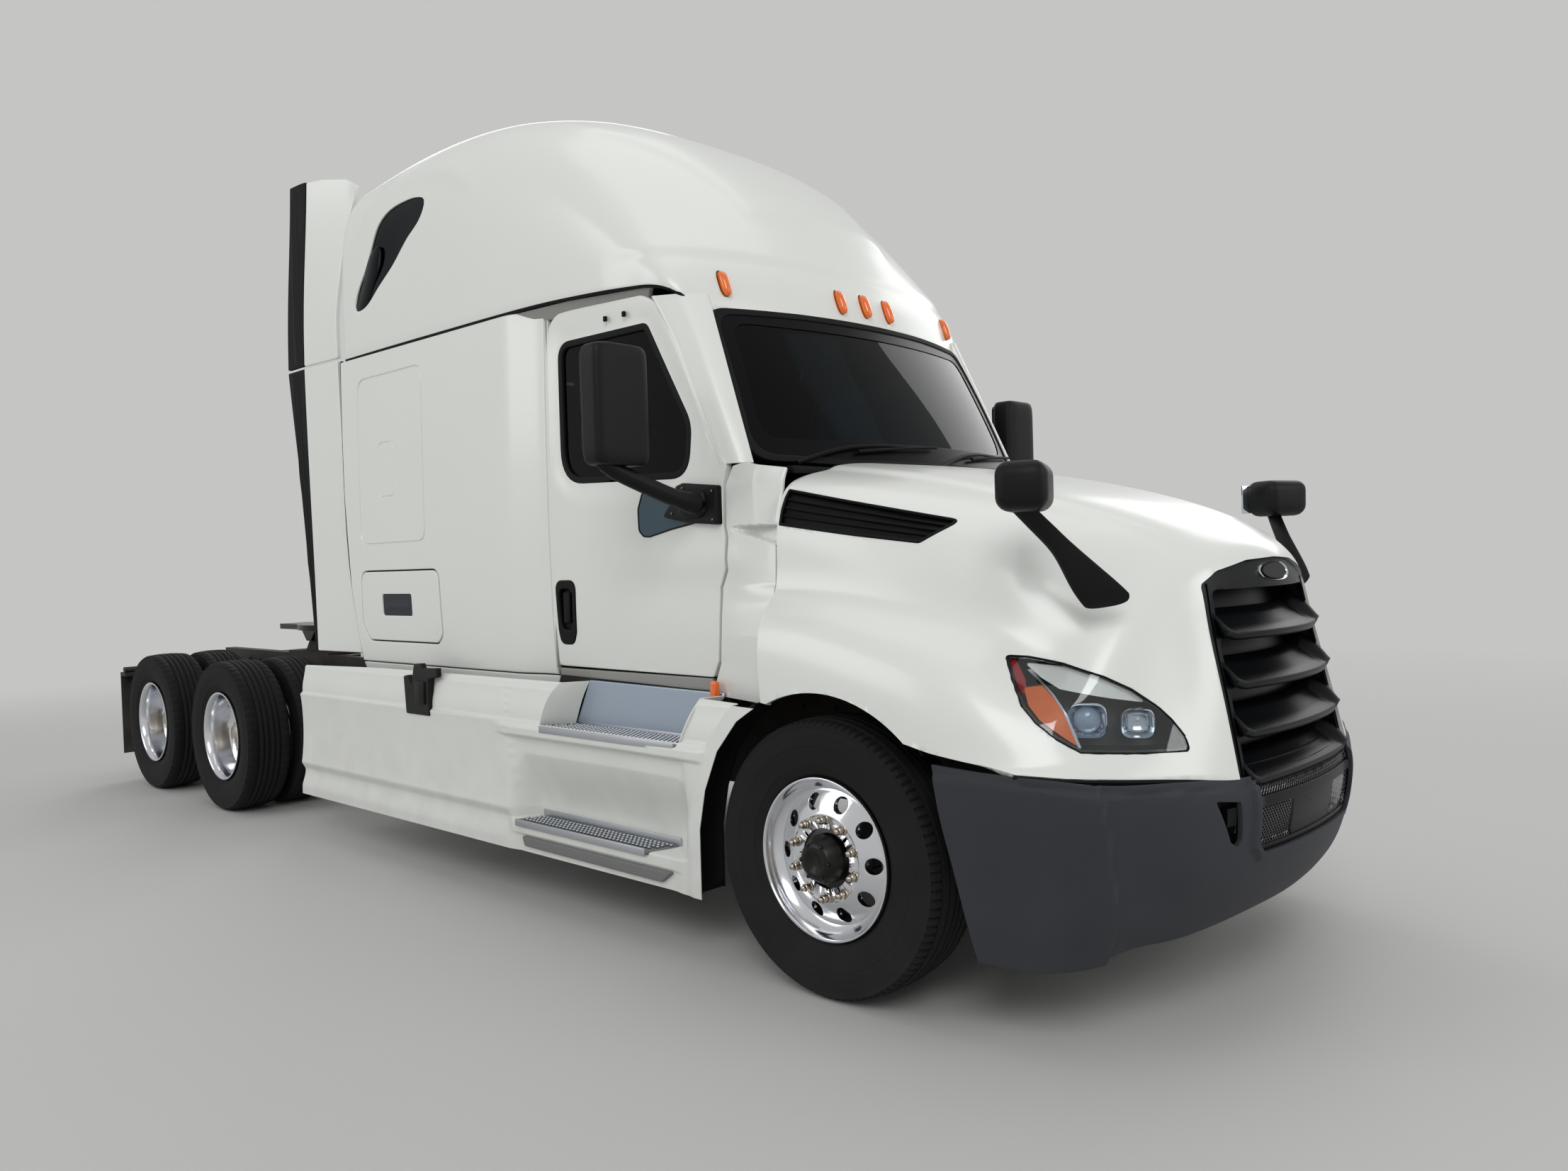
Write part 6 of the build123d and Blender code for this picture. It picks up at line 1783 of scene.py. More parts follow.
def studs(name, points, stands, finish_name, radius, height, body="root", sides=6, top=0.8):
    """Studs at points, made by the stud tree, as one piece."""
    piece = new_piece(name, points, [])
    stands = np.broadcast_to(np.asarray(stands, float), (len(points), 3))
    piece.data.attributes.new("stands", "FLOAT_VECTOR", "POINT").data.foreach_set("vector", stands.ravel())
    key = f"studs_{finish_name}"
    tree = bpy.data.node_groups.get(key) or studs_tree(key, paint[finish_name])
    node_made(piece, tree, **{"Stud Radius": radius, "Stud Height": height, "Sides": sides, "Top Share": top})
    return finish_as(shade(piece, 30), finish_name, body)


# ---- bumper ----------------------------------------------------------------------------------------------
# Columns from the rear edge at the side to the middle of the nose; each from the top edge down.
BUMPER_COLUMNS = (
    ((0.498, 1.172, 0.905), (0.52, 1.177, 0.8), (0.575, 1.178, 0.6), (0.63, 1.174, 0.4), (0.662, 1.165, 0.283)),
    ((0.72, 1.164, 0.896), (0.735, 1.17, 0.8), (0.76, 1.17, 0.6), (0.785, 1.163, 0.4), (0.8, 1.15, 0.284)),
    ((0.925, 1.114, 0.886), (0.93, 1.121, 0.8), (0.935, 1.121, 0.6), (0.935, 1.11, 0.4), (0.925, 1.094, 0.288)),
    ((1.043, 1.06, 0.877), (1.048, 1.064, 0.8), (1.048, 1.056, 0.6), (1.035, 1.028, 0.42), (1.0, 0.994, 0.296)),
    ((1.11, 0.95, 0.868), (1.119, 0.952, 0.8), (1.115, 0.942, 0.6), (1.085, 0.92, 0.42), (1.035, 0.888, 0.303)),
    ((1.17, 0.8, 0.86), (1.18, 0.802, 0.8), (1.174, 0.8, 0.6), (1.128, 0.79, 0.42), (1.078, 0.77, 0.312)),
    ((1.23, 0.62, 0.848), (1.243, 0.62, 0.8), (1.235, 0.62, 0.6), (1.18, 0.618, 0.42), (1.122, 0.61, 0.322)),
    ((1.268, 0.47, 0.838), (1.284, 0.47, 0.79), (1.272, 0.47, 0.6), (1.215, 0.47, 0.42), (1.154, 0.462, 0.33)),
    ((1.3, 0.25, 0.832), (1.32, 0.25, 0.785), (1.305, 0.25, 0.6), (1.245, 0.25, 0.42), (1.184, 0.25, 0.338)),
    ((1.315, 0.0, 0.83), (1.335, 0.0, 0.78), (1.318, 0.0, 0.6), (1.258, 0.0, 0.42), (1.198, 0.0, 0.34)),
)
# Openings in the bumper, in side and height.
LOWER_OPENING = ((-0.452, 0.9), (-0.446, 0.62), (-0.405, 0.578), (0.405, 0.578), (0.446, 0.62), (0.452, 0.9))
SLOT = ((-0.655, 0.782), (-0.54, 0.766), (-0.528, 0.64), (-0.545, 0.618), (-0.585, 0.64))


def bumper_grid(along=230, across=61):
    """Points of the bumper's face with its corner fold, top edge, recesses and tucked lower edge."""
    half = np.array(BUMPER_COLUMNS, float)
    rows = np.concatenate([half * (1, -1, 1), half[-2::-1]])
    grid = facing(skin(rows, along, across), (1, 0, 0))
    x, y, z = grid[..., 0], np.abs(grid[..., 1]), grid[..., 2]
    fold = np.interp(z, (0.28, 0.42, 0.6, 0.88), (0.965, 0.985, 1.03, 1.064))
    inboard = ease(fold - y, 0.0, 0.011) * (1 - ease(fold - y, 0.05, 0.34))
    dip = -0.02 * inboard
    top = np.interp(y, (0, 0.47, 0.8, 1.06, 1.12, 1.172), (0.83, 0.838, 0.86, 0.877, 0.886, 0.905))
    dip += -0.007 * ease(z, top - 0.034, top - 0.026) - 0.004 * np.exp(-(((z - top + 0.03) / 0.004) ** 2))
    near = np.hypot((y - 0.8) / 1.6, z - 0.47)
    dip += -0.012 * np.exp(-((near / 0.075) ** 2))
    frame_near = distance_field(grid[..., 1], z, np.array(LOWER_OPENING))
    dip += 0.01 * (1 - ease(frame_near, 0.022, 0.032)) * (x > 1.0)
    tuck = -0.02 * (1 - ease(z, 0.285, 0.33)) * ease(0.95 - y, 0.0, 0.2)
    return grid + grid_normals(grid) * (dip + tuck)[..., None]


def front_sheet(name, grid, window, sink, thickness, slant=0.0):
    """A sheet that follows the nose a set depth behind its face, over Y and Z limits."""
    y0, y1, z0, z1 = window
    across, up = max(8, int((y1 - y0) / 0.02)), max(5, int((z1 - z0) / 0.012))
    at_y, at_z = np.meshgrid(np.linspace(0, 1, across), np.linspace(z0, z1, up), indexing="ij")
    lean = slant * (z1 - at_z)
    at_y = (y0 + lean) + (y1 - y0 - 2 * lean) * at_y
    deep = front_of(grid, at_y, np.minimum(at_z, 0.825)) - sink
    return shell(name, facing(places(deep, at_y, at_z), (1, 0, 0)), thickness)


def build_bumper(bumper):
    """The moulded bumper with its fog lamp slots, and the lower grille in its opening."""
    grid = bumper_grid()
    shield = shell("bumper_shell", grid, BUMPER_WALL)
    opening = rounded(LOWER_OPENING, [0, 0.05, 0.04, 0.04, 0.05, 0], 5)
    slots = [rounded(SLOT, [0.008, 0.008, 0.02, 0.01, 0.02], 4) * (-side, 1) for _, side in SIDES]
    carve(shield, [prism(f"cut_{k}", loop, along_x, 1.0, 1.5) for k, loop in enumerate([opening, *slots])])
    soften(shield, 0.003, 2)
    finish_as(shade(shield, 48), "bumper_plastic", stands_for="bumper")
    backs = []
    for (_, side), loop in zip(SIDES, slots):
        low, high = loop.min(0) - 0.06, loop.max(0) + 0.03
        backs.append(front_sheet("slot_back", grid, (low[0], high[0], low[1], high[1]), 0.045, 0.006))
        fin = sorted((side * 0.59, side * 0.546))
        backs.append(front_sheet("slot_fin", grid, (*fin, 0.69, 0.748), 0.012, 0.026))
    finish_as(shade(joined(backs, "bumper_slots"), 40), "trim_plastic")
    build_lower_grille(bumper, grid)


def build_lower_grille(bumper, grid):
    """Wire mesh each side of a plain centre plate, a bar, and a mesh strip over it."""
    front = grid[np.abs(grid[:, 0, 1]) < 0.55]
    bars = (
        (-0.205, 0.205, 0.588, 0.73, 0.02, 0.012, 0.1),
        (-0.45, 0.45, 0.728, 0.766, 0.01, 0.03, 0.0),
        (-0.43, 0.43, 0.56, 0.6, 0.014, 0.04, -0.3),
    )
    pieces = [front_sheet("bar", front, bar[:4], *bar[4:]) for bar in bars]
    whole = soften(joined(pieces, "lower_grille_bars"), 0.003, 2)
    finish_as(whole, "grille_plastic", stands_for="lower_grille")
    tree = wire_tree(paint["mesh_black"])
    windows = {
        "right": (-0.44, -0.196, 0.596, 0.73), "left": (0.196, 0.44, 0.596, 0.73),
        "strip": (-0.44, 0.44, 0.764, 0.834),
    }
    for name, (y0, y1, z0, z1) in windows.items():
        pitch = bumper.mesh_pitch
        columns, rows = int((y1 - y0) / pitch), int((z1 - z0) / (pitch * 0.55))
        shift = [(j + 0.5 * (i % 2)) * pitch for i in range(rows + 1) for j in range(columns + 1)]
        rise = [z0 + (z1 - z0) * i / rows for i in range(rows + 1) for j in range(columns + 1)]
        edges = [
            (i * (columns + 1) + j, (i + 1) * (columns + 1) + j + turn)
            for i in range(rows) for j in range(columns + 1) for turn in ((0, 1) if i % 2 else (-1, 0))
            if 0 <= j + turn <= columns
        ]
        at_y, at_z = np.array(shift) + y0, np.array(rise)
        spots = places(front_of(front, at_y, at_z) - 0.022, at_y, at_z)
        net = new_piece(f"lower_mesh_{name}", spots, [], edges)
        node_made(net, tree, **{"Wire Radius": bumper.wire_radius, "Sides": 5})
        finish_as(shade(net, 60), "mesh_black")
    back = front_sheet("lower_grille_back", front, (-0.475, 0.475, 0.545, 0.858), 0.062, 0.006)
    finish_as(shade(back, 40), "trim_plastic")


# ---- wheels ----------------------------------------------------------------------------------------------
# Wheels: radii are measured from the axle, and Y from the wheel's middle unless it is named for a wheel.
RIM_FLANGE = 0.298
FRONT_WHEEL_Y, OUTER_DRIVE_Y, INNER_DRIVE_Y = 1.037, 1.077, 0.734
HAND_HOLES, HOLE_RING = 10, 0.208
NUT_RING = 0.1425
DISC_FACE, DISC_BACK = 0.1035, -0.082


def tyre(name, ribs, lugs):
    """Tyre about a centre at y 0: sidewalls with moulded rings, ribs, and lugs cut into the tread's edges."""
    out = TYRE_RADIUS
    wall = [
        (0.098, 0.2885), (0.104, 0.3), (0.113, 0.306), (0.116, 0.314), (0.119, 0.322), (0.126, 0.336),
        (0.1265, 0.3385),
        (0.1285, 0.34), (0.1315, 0.356), (0.135, 0.376), (0.138, 0.398), (0.1388, 0.402), (0.1378, 0.404),
        (0.1388, 0.406),
        (0.14, 0.42), (0.1405, 0.436), (0.1395, 0.44), (0.1405, 0.444), (0.1395, 0.456), (0.1385, 0.468),
        (0.1365, 0.48),
        (0.1385, 0.484), (0.1375, 0.49), (0.132, 0.4945), (0.1265, 0.4985), (0.1225, 0.501),
    ]
    tread = []
    for centre in ribs:
        tread += [(centre + 0.0065, 0.0), (centre + 0.0035, 0.013), (centre - 0.0035, 0.013), (centre - 0.0065, 0.0)]
    rise = [(y, out - 0.0088 * (abs(y) / 0.1225) ** 2.2 - deep) for y, deep in tread]
    half = wall + [p for p in rise if p[0] > 0]
    profile = half + [(-y, r) for y, r in half[::-1]]
    profile += [(-0.085, 0.29), (0.085, 0.29)]
    piece = lathe(name, profile, steps=lugs * 4)
    co = points_of(piece)
    radius = np.hypot(co[:, 0], co[:, 2])
    turn = np.arctan2(co[:, 0], co[:, 2]) / (2 * math.pi) * lugs * 4
    notch = (np.round(turn) % 4 == 0) & (np.abs(co[:, 1]) > 0.094) & (np.abs(co[:, 1]) < 0.1335) & (radius > 0.49)
    shrink = np.where(notch, 1 - 0.008 / radius, 1.0)
    co[:, 0] *= shrink
    co[:, 2] *= shrink
    return painted(shade(put_points(piece, co), 38), "tyre_rubber")


def rim(name, hole_radius, steps=120):
    """Forged rim about a centre at y 0, its disc towards +y, with round hand holes if they have a radius."""
    f = RIM_FLANGE
    profile = [
        (0.122, f), (0.127, f - 0.002), (0.128, f - 0.008), (0.12, f - 0.013), (0.104, f - 0.017), (0.088, f - 0.024),
        (0.072, f - 0.042), (0.066, f - 0.05), (0.07, f - 0.06), (0.08, f - 0.074), (0.094, f - 0.104),
        (0.104, f - 0.128),
        (0.107, f - 0.134), (0.1085, f - 0.14), (0.104, f - 0.143), (0.1035, f - 0.15), (0.1035, 0.11),
        (0.1035, 0.1105),
        (0.082, 0.1105), (0.082, f - 0.136), (0.062, f - 0.082), (0.044, f - 0.054), (0.03, f - 0.036),
        (-0.06, f - 0.032),
        (-0.1, f - 0.026), (-0.118, f - 0.018), (-0.127, f - 0.01), (-0.127, f), (-0.115, f), (-0.108, f - 0.012),
        (-0.09, f - 0.018), (-0.05, f - 0.022), (0.05, f - 0.022), (0.09, f - 0.018), (0.11, f - 0.01), (0.114, f),
    ]
    piece = lathe(name, profile, steps=steps)
    if hole_radius:
        cutters = []
        for k in range(HAND_HOLES):
            turn = 2 * math.pi * (k + 0.5) / HAND_HOLES
            cutter = lathe(
                "hole", [(0.0, 0.0), (0.0, hole_radius), (0.2, hole_radius), (0.2, 0.0)], steps=28, closed=False,
            )
            move(cutter, (HOLE_RING * math.sin(turn), 0.0, HOLE_RING * math.cos(turn)))
            cutters.append(cutter)
        carve(piece, [joined(cutters, "holes")])
        soften(piece, 0.0022, 2, 40)
    co = points_of(piece)
    turned = piece.data.attributes.new("turned_radius", "FLOAT", "POINT")
    turned.data.foreach_set("value", np.hypot(co[:, 0], co[:, 2]) + co[:, 1])
    return painted(shade(piece, 32), "wheel_polish")


def move(piece, offset, over=False):
    """Shifts a mesh, turned over about the wheel's middle first if asked."""
    put_points(piece, points_of(piece) * (1, -1 if over else 1, 1) + offset)
    if over:
        piece.data.flip_normals()
    return piece


def placed(piece, name, offset, over=False):
    """A copy of a wheel part, moved to its place."""
    return move(doubled(piece, name), offset, over)


def nuts(name, seat, length):
    """Ten wheel nuts with their caps on a ring, in the wheel's own frame."""
    turn = np.radians(36 * np.arange(10))
    ring = places(NUT_RING * np.sin(turn), seat, NUT_RING * np.cos(turn))
    steps = (
        ("flange", 0.0, 0.02, 0.006, 24, 0.9),
        ("hex", 0.005, 0.0165, length * 0.62, 6, 0.92),
        ("tip", 0.003 + length * 0.62, 0.012, length * 0.38, 16, 0.75),
    )
    parts = [
        studs(f"{name}_{part}", ring + (0, out, 0), (0, 1, 0), "stud_steel", radius, height, sides=sides, top=top)
        for part, out, radius, height, sides, top in steps
    ]
    return painted(joined(parts, name), "stud_steel")


def build_wheels(wheels):
    """Front wheels, and the inner and outer drive wheels, each with tyre, rim, nuts and hub."""
    front = tyre("front_tyre_form", (0.088, 0.05, 0.014), 100)
    drive = tyre("drive_tyre_form", (0.07, 0.036, 0.004), 56)
    wheel = rim("rim_form", wheels.hole_radius)
    dish = rim("dish_form", 0.0, 96)
    for label, side in SIDES:
        over = side < 0
        middle = (0.0, side * FRONT_WHEEL_Y, WHEEL_Z)
        body = f"front_wheel_{label}"
        finish_as(placed(front, f"front_tyre_skin_{label}", middle, over), None, body, f"front_tyre_{label}")
        parts = [
            placed(wheel, "a", middle, over),
            move(nuts("front_nuts", DISC_FACE, wheels.nut_length), middle, over),
            move(hub(DISC_FACE, 0.09, "hub_black", True), middle, over),
        ]
        finish_as(joined(parts, f"front_rim_skin_{label}"), None, body, f"front_rim_{label}")
        for axle, station in zip(("front", "rear"), TANDEM):
            body = f"drive_wheels_{axle}_{label}"
            outer, inner = ((station, side * y, WHEEL_Z) for y in (OUTER_DRIVE_Y, INNER_DRIVE_Y))
            tyres = [placed(drive, "a", outer, over), placed(drive, "b", inner, over)]
            finish_as(joined(tyres, f"drive_tyre_skin_{axle}_{label}"), None, body, f"drive_tyres_{axle}_{label}")
            parts = [
                placed(wheel, "a", outer, not over),
                placed(dish, "b", inner, over),
                move(nuts("drive_nuts", DISC_BACK, wheels.nut_length), outer, over),
                move(hub(DISC_BACK, 0.108, "stud_steel", False), outer, over),
            ]
            finish_as(joined(parts, f"drive_rim_skin_{axle}_{label}"), None, body, f"drive_rims_{axle}_{label}")
    for form in (front, drive, wheel, dish):
        drop(form)


def hub(seat, radius, key, cap):
    """Hub end: a turned drum with a domed cap, or an axle flange with its ring of bolts."""
    if cap:
        profile = [(seat - 0.02, 0.0), (seat - 0.02, radius), (seat + 0.012, radius), (seat + 0.018, radius - 0.006)]
        profile += [(seat + 0.034, radius - 0.008), (seat + 0.04, radius - 0.016), (seat + 0.058, radius - 0.02)]
        profile += [
            (seat + 0.066, radius - 0.034), (seat + 0.068, radius - 0.055), (seat + 0.062, radius - 0.058),
            (seat + 0.063, 0.0),
        ]
    else:
        profile = [(seat - 0.02, 0.0), (seat - 0.02, radius), (seat + 0.02, radius), (seat + 0.03, radius - 0.014)]
        profile += [(seat + 0.075, radius - 0.02), (seat + 0.078, radius - 0.006), (seat + 0.09, radius - 0.006)]
        profile += [(seat + 0.096, radius - 0.03), (seat + 0.12, radius - 0.05), (seat + 0.124, 0.0)]
    drum = lathe("hub", profile, steps=64, closed=False)
    parts = [painted(shade(drum, 30), key)]
    count = 6 if cap else 8
    turn = np.radians(360 / count * (np.arange(count) + 0.5))
    reach, seat_y = (radius - 0.026, seat + 0.058) if cap else (radius - 0.02, seat + 0.09)
    ring = places(reach * np.sin(turn), seat_y, reach * np.cos(turn))
    parts.append(studs("hub_bolts", ring, (0, 1, 0), "stud_steel" if not cap else "hub_black", 0.0085, 0.009))
    return joined(parts, "hub_end")


# ---- cowl sides, door mirrors, side skirts, steps and chassis --------------------------------------------
# Stations of the door's front edge, and stations and half widths of the hood's rear edge, by height.
COWL_Z = (1.04, 1.11, 1.18, 1.305, 1.49, 1.56, 1.69, 1.745, 1.9, 1.99)
COWL_X = (-0.688, -0.688, -0.652, -0.636, -0.62, -0.578, -0.57, -0.58, -0.574, -0.52)
HOOD_END_Z = (1.04, 1.3, 1.415, 1.5, 1.68, 1.86, 1.99)
HOOD_END_X = (-0.29, -0.314, -0.331, -0.339, -0.35, -0.356, -0.356)
HOOD_END_Y = (1.168, 1.15, 1.078, 1.012, 0.993, 0.945, 0.93)


def pillow(name, centre, half, squareness=(0.35, 0.22), steps=(56, 33)):
    """Box with full, round faces."""
    turn = full_turn(steps[0])
    rise = np.linspace(-math.pi / 2, math.pi / 2, steps[1])
    around = places(bent(np.cos(turn), squareness[0]), bent(np.sin(turn), squareness[0]))
    rows = [
        np.column_stack([around * bent(np.cos(r), squareness[1]), np.full(len(turn), bent(np.sin(r), squareness[1]))])
        for r in rise
    ]
    points = np.array(rows).reshape(-1, 3) * np.array(half) + np.array(centre)
    return shade(put_right(new_piece(name, points, grid_faces(steps[1], steps[0], 0, True))), 60)


def build_cowl(cab):
    """White panels between the doors and the hood, and the black tray under the windscreen."""
    s, t = np.meshgrid(np.linspace(0, 1, 150), np.linspace(0, 1, 56), indexing="ij")
    z = 1.045 + s * (np.interp(t, (0, 0.35, 1), (1.972, 1.985, 1.958)) - 1.045)
    x_door = np.interp(z, COWL_Z, COWL_X) + cab.seam
    x = x_door + (np.interp(z, HOOD_END_Z, HOOD_END_X) - x_door) * t
    y_door = side_width(np.full(z.shape, -0.63), z) - 0.003
    y_hood = np.interp(z, HOOD_END_Z, HOOD_END_Y)
    upper = y_door - (y_door - y_hood + 0.014) * ease(t, 0.7, 1.0) - 0.02 * ease(z, 1.9, 1.985) * t
    middle = y_door + (y_hood - 0.006 - y_door) * ease(t, 0.1, 1.0)
    lower = y_door + (y_hood - 0.05 - y_door) * t**1.2
    w_up, w_low = ease(z, 1.728, 1.734), 1 - ease(z, 1.4, 1.5)
    y = upper * w_up + (1 - w_up) * (middle * (1 - w_low) + lower * w_low)
    shadow_line = 1.728 - 0.08 * np.clip((x + 0.56) / 0.24, 0, 1)
    y -= 0.03 * ease(z, shadow_line - 0.004, shadow_line + 0.004) * (1 - w_up) * ease(t, 0.05, 0.5)
    for label, side in SIDES:
        grid = facing(places(x, side * y, z), (0, side, 0))
        finish_as(shade(shell(f"cowl_panel_{label}", grid, COWL_WALL), 32), "body_paint", stands_for="cowl")
    parts = [
        box_at("tray", (-0.6, -0.352), (-0.87, 0.87), (1.935, 1.968), key="trim_plastic"),
        box_at("firewall", (-0.605, -0.575), (-0.96, 0.96), (1.12, 1.94), key="chassis_paint"),
    ]
    for _, side in SIDES:
        parts.append(box_at("hinge_wall", (-0.6, -0.46), (0.9, 0.915), (1.12, 1.93), side, 0.003, "chassis_paint"))
        for height in (1.47, 1.7):
            parts.append(
                box_at(
                    "hinge_lug", (-0.64, -0.6), (0.985, 1.012), (height - 0.03, height + 0.03), side, 0.006,
                    "bracket_black",
                )
            )
    finish_as(joined(parts, "cowl_tray"), stands_for="cowl")


# The low window in the door: a bluish pane that paints the shadow the door mirror casts on the door.
MIRROR_SHADOW_WINDOW = [
    (-1.078, 1.905), (-1.112, 1.83), (-1.11, 1.738), (-1.08, 1.712), (-1.04, 1.71), (-0.9, 1.736), (-0.74, 1.758),
    (-0.74, 1.9),
]


def build_door_mirrors():
    """Mirror heads on round arms, their base plates on the doors, and under them bluish low windows that paint the
    mirrors' shadows on the doors.
    """
    for label, side in SIDES:
        place, body = side_place(side), f"door_{label}"
        head = pillow(f"mirror_head_{label}", (-0.768, side * 1.424, 2.209), (0.064, 0.133, 0.233), (0.42, 0.2))
        finish_as(head, "mirror_plastic", body, f"mirror_{label}")
        for name, low, high in (("main", 2.165, 2.415), ("wide", 2.01, 2.145)):
            flat = lambda a, b, c: places(-0.8315 + c, side * a, b)
            outline = rounded([(1.315, low), (1.535, low), (1.535, high), (1.315, high)], 0.03)
            glass = panel(f"mirror_glass_{name}_{label}", outline, flat, depth=0.004, edge=0.001, pitch=0.05)
            finish_as(glass, "mirror_glass", body)
            rim = panel(
                f"mirror_rim_{name}_{label}", inset(outline, -0.008), sunk(flat, -0.003),
                holes=[inset(outline, 0.002)], depth=0.012, edge=0.002, pitch=0.04,
            )
            finish_as(rim, "seam_rubber", body)
        line = [
            (-0.772, 1.5, 1.99), (-0.772, 1.455, 1.968), (-0.765, 1.385, 1.938), (-0.748, 1.27, 1.893),
            (-0.725, 1.15, 1.85), (-0.7, 1.06, 1.828),
        ]
        path = run_through([(x, side * y, z) for x, y, z in line], 26)
        arm = tube(
            f"mirror_arm_{label}", path,
            np.interp(np.linspace(0, 1, 26), (0, 0.15, 0.8, 1), (0.026, 0.034, 0.036, 0.052)), 24,
        )
        plate = [
            (-0.925, 1.788), (-0.865, 1.85), (-0.835, 1.912), (-0.795, 1.922), (-0.59, 1.9), (-0.59, 1.742),
            (-0.775, 1.757),
        ]
        base = panel(
            f"mirror_base_{label}", rounded(plate, 0.012), sunk(place, -0.03), depth=0.03, edge=0.008, pitch=0.03,
        )
        boss = pillow("boss", (-0.735, side * 1.065, 1.832), (0.085, 0.03, 0.058), (0.7, 0.5), (40, 21))
        parts = [painted(p, "mirror_plastic") for p in (arm, base, boss)]
        spots = [
            (x, side * (side_width(np.array(x), np.array(z)) + 0.029), z)
            for x, z in ((-0.615, 1.878), (-0.615, 1.764), (-0.79, 1.9), (-0.86, 1.8))
        ]
        parts.append(studs("plate_screws", spots, (0, side, 0), "bare_steel", 0.006, 0.006, sides=10))
        finish_as(joined(parts, f"mirror_bracket_{label}"), None, body, f"mirror_{label}")
        # The low window and its rubber stand where the mirror's shadow falls: a painted shadow.
        window = rounded(MIRROR_SHADOW_WINDOW, [0.03, 0.05, 0.03, 0.03, 0.03, 0.1, 0.02, 0.02])
        low = panel(f"low_window_{label}", window, sunk(place, -0.0015), depth=0.012, edge=0.002, pitch=0.05)
        finish_as(low, "peep_glass", body)
        line = places(window[:, 0], side * (side_width(window[:, 0], window[:, 1]) + 0.0015), window[:, 1])
        bead = tube(f"low_window_rubber_{label}", np.concatenate([line, line[:1]]), 0.0035, 6)
        finish_as(bead, "seam_rubber", body)


# The skirt's edge at the front wheel, the step heights, and the frame rails' bolts.
ARCH_LINE = [(-0.612, 0.284), (-0.61, 0.54), (-0.573, 0.7), (-0.498, 0.86), (-0.385, 0.985), (-0.288, 1.042)]
UPPER_TREAD, LOWER_TREAD = 0.866, 0.41
RAIL_SIDE, BOLT_ROWS = 0.434, (0.93, 0.8)


def skirt_depth(x, z):
    """How far the skirt's face stands inside its outer plane."""
    behind = 1 - ease(x, -2.0, -1.94)
    upper = 0.016 * ease(z, 0.868, 0.884) + 0.02 * ease(z, 0.9, 1.04) + 0.03 * ease(z, 1.03, 1.062)
    concave = 0.015 * np.sin(np.clip((z - 0.46) / 0.41, 0, 1) * math.pi) ** 0.7 * ease(-x, 0.7, 1.2)
    skirt_lip = 0.022 * (1 - ease(z, 0.405, 0.458)) * ease(z, 0.3, 0.4)
    rear = upper + concave + skirt_lip * behind
    lip = ease(z, 0.8, 0.812) * (1 - ease(z, 0.846, 0.868)) * ease(x, -2.1, -1.95)
    across = ease(x, -1.98, -1.84) * (1 - ease(x, -0.8 + 0.1 * (z - 0.4), -0.7 + 0.1 * (z - 0.4)))
    scoop = 0.125 * across * (1 - ease(z, 0.45, 0.815)) * ease(z, 0.398, 0.41)
    hollow = 0.02 * ease(x, -1.97, -1.9) * (1 - ease(x, -0.74, -0.7)) * (
        1 - ease(z, 0.795, 0.812)
    ) * ease(z, 0.398, 0.41)
    tuck = 0.012 * ease(x, -1.98, -1.88) * (1 - ease(x, -0.8, -0.72)) * (1 - ease(z, 0.335, 0.352))
    arch = distance_field(x, z, np.array(ARCH_LINE), False)
    flange = ease(arch, 0.062, 0.074)
    body = rear - 0.016 * lip + np.maximum(scoop, hollow) + tuck + 0.01
    seam = 0.006 * np.exp(-(((x + 1.98 - 0.085 * (0.892 - z) / 0.564) / 0.006) ** 2))
    return body * flange + seam + 0.035 * ease(z, 1.05, 1.066) * ease(x, -0.7, -0.6)


def skirt_faces(side):
    """The skirt's face in three fields: below the rib, behind the upper step and at the wheel arch."""
    arch = np.array(ARCH_LINE)
    front = lambda z: np.interp(z, arch[:, 1], arch[:, 0])
    rear = lambda z: np.interp(z, (0.262, 1.045), (-4.213, -4.19))
    notch_rear = lambda z: np.interp(z, (0.872, 1.03, 1.07), (-1.7, -1.612, -1.588))
    notch_front = lambda z: np.interp(z, (0.862, 1.0, 1.06), (-0.735, -0.665, -0.645))
    fields = (
        (
            rear, front, (0.262, 0.872), 170,
            (0.27, 0.3, 0.34, 0.36, 0.395, 0.415, 0.43, 0.47, 0.79, 0.82, 0.84, 0.872),
        ),
        (rear, notch_rear, (0.872, 1.066), 110, (0.88, 0.9, 1.02, 1.066)),
        (notch_front, front, (0.872, 1.041), 44, (0.88, 0.9, 1.0, 1.041)),
    )
    for start, end, span, across, stops in fields:
        heights = [
            np.linspace(a, b, max(4, int((b - a) / 0.006)), endpoint=False)
            for a, b in zip((span[0],) + stops[:-1], stops)
        ]
        heights = np.unique(np.append(np.concatenate(heights), stops[-1]))
        z, t = np.meshgrid(heights, np.linspace(0, 1, across), indexing="ij")
        x = start(z) + (end(z) - start(z)) * t
        top = np.interp(x, (-4.19, -3.27, -1.6, -0.64, -0.29), (1.042, 1.06, 1.066, 1.05, 1.041))
        z = np.where(z > 1.0, 1.0 + (z - 1.0) * (top - 1.0) / (stops[-1] - 1.0 + 1e-9), z)
        yield facing(places(x, side * (1.2 - skirt_depth(x, z)), z), (0, side, 0))


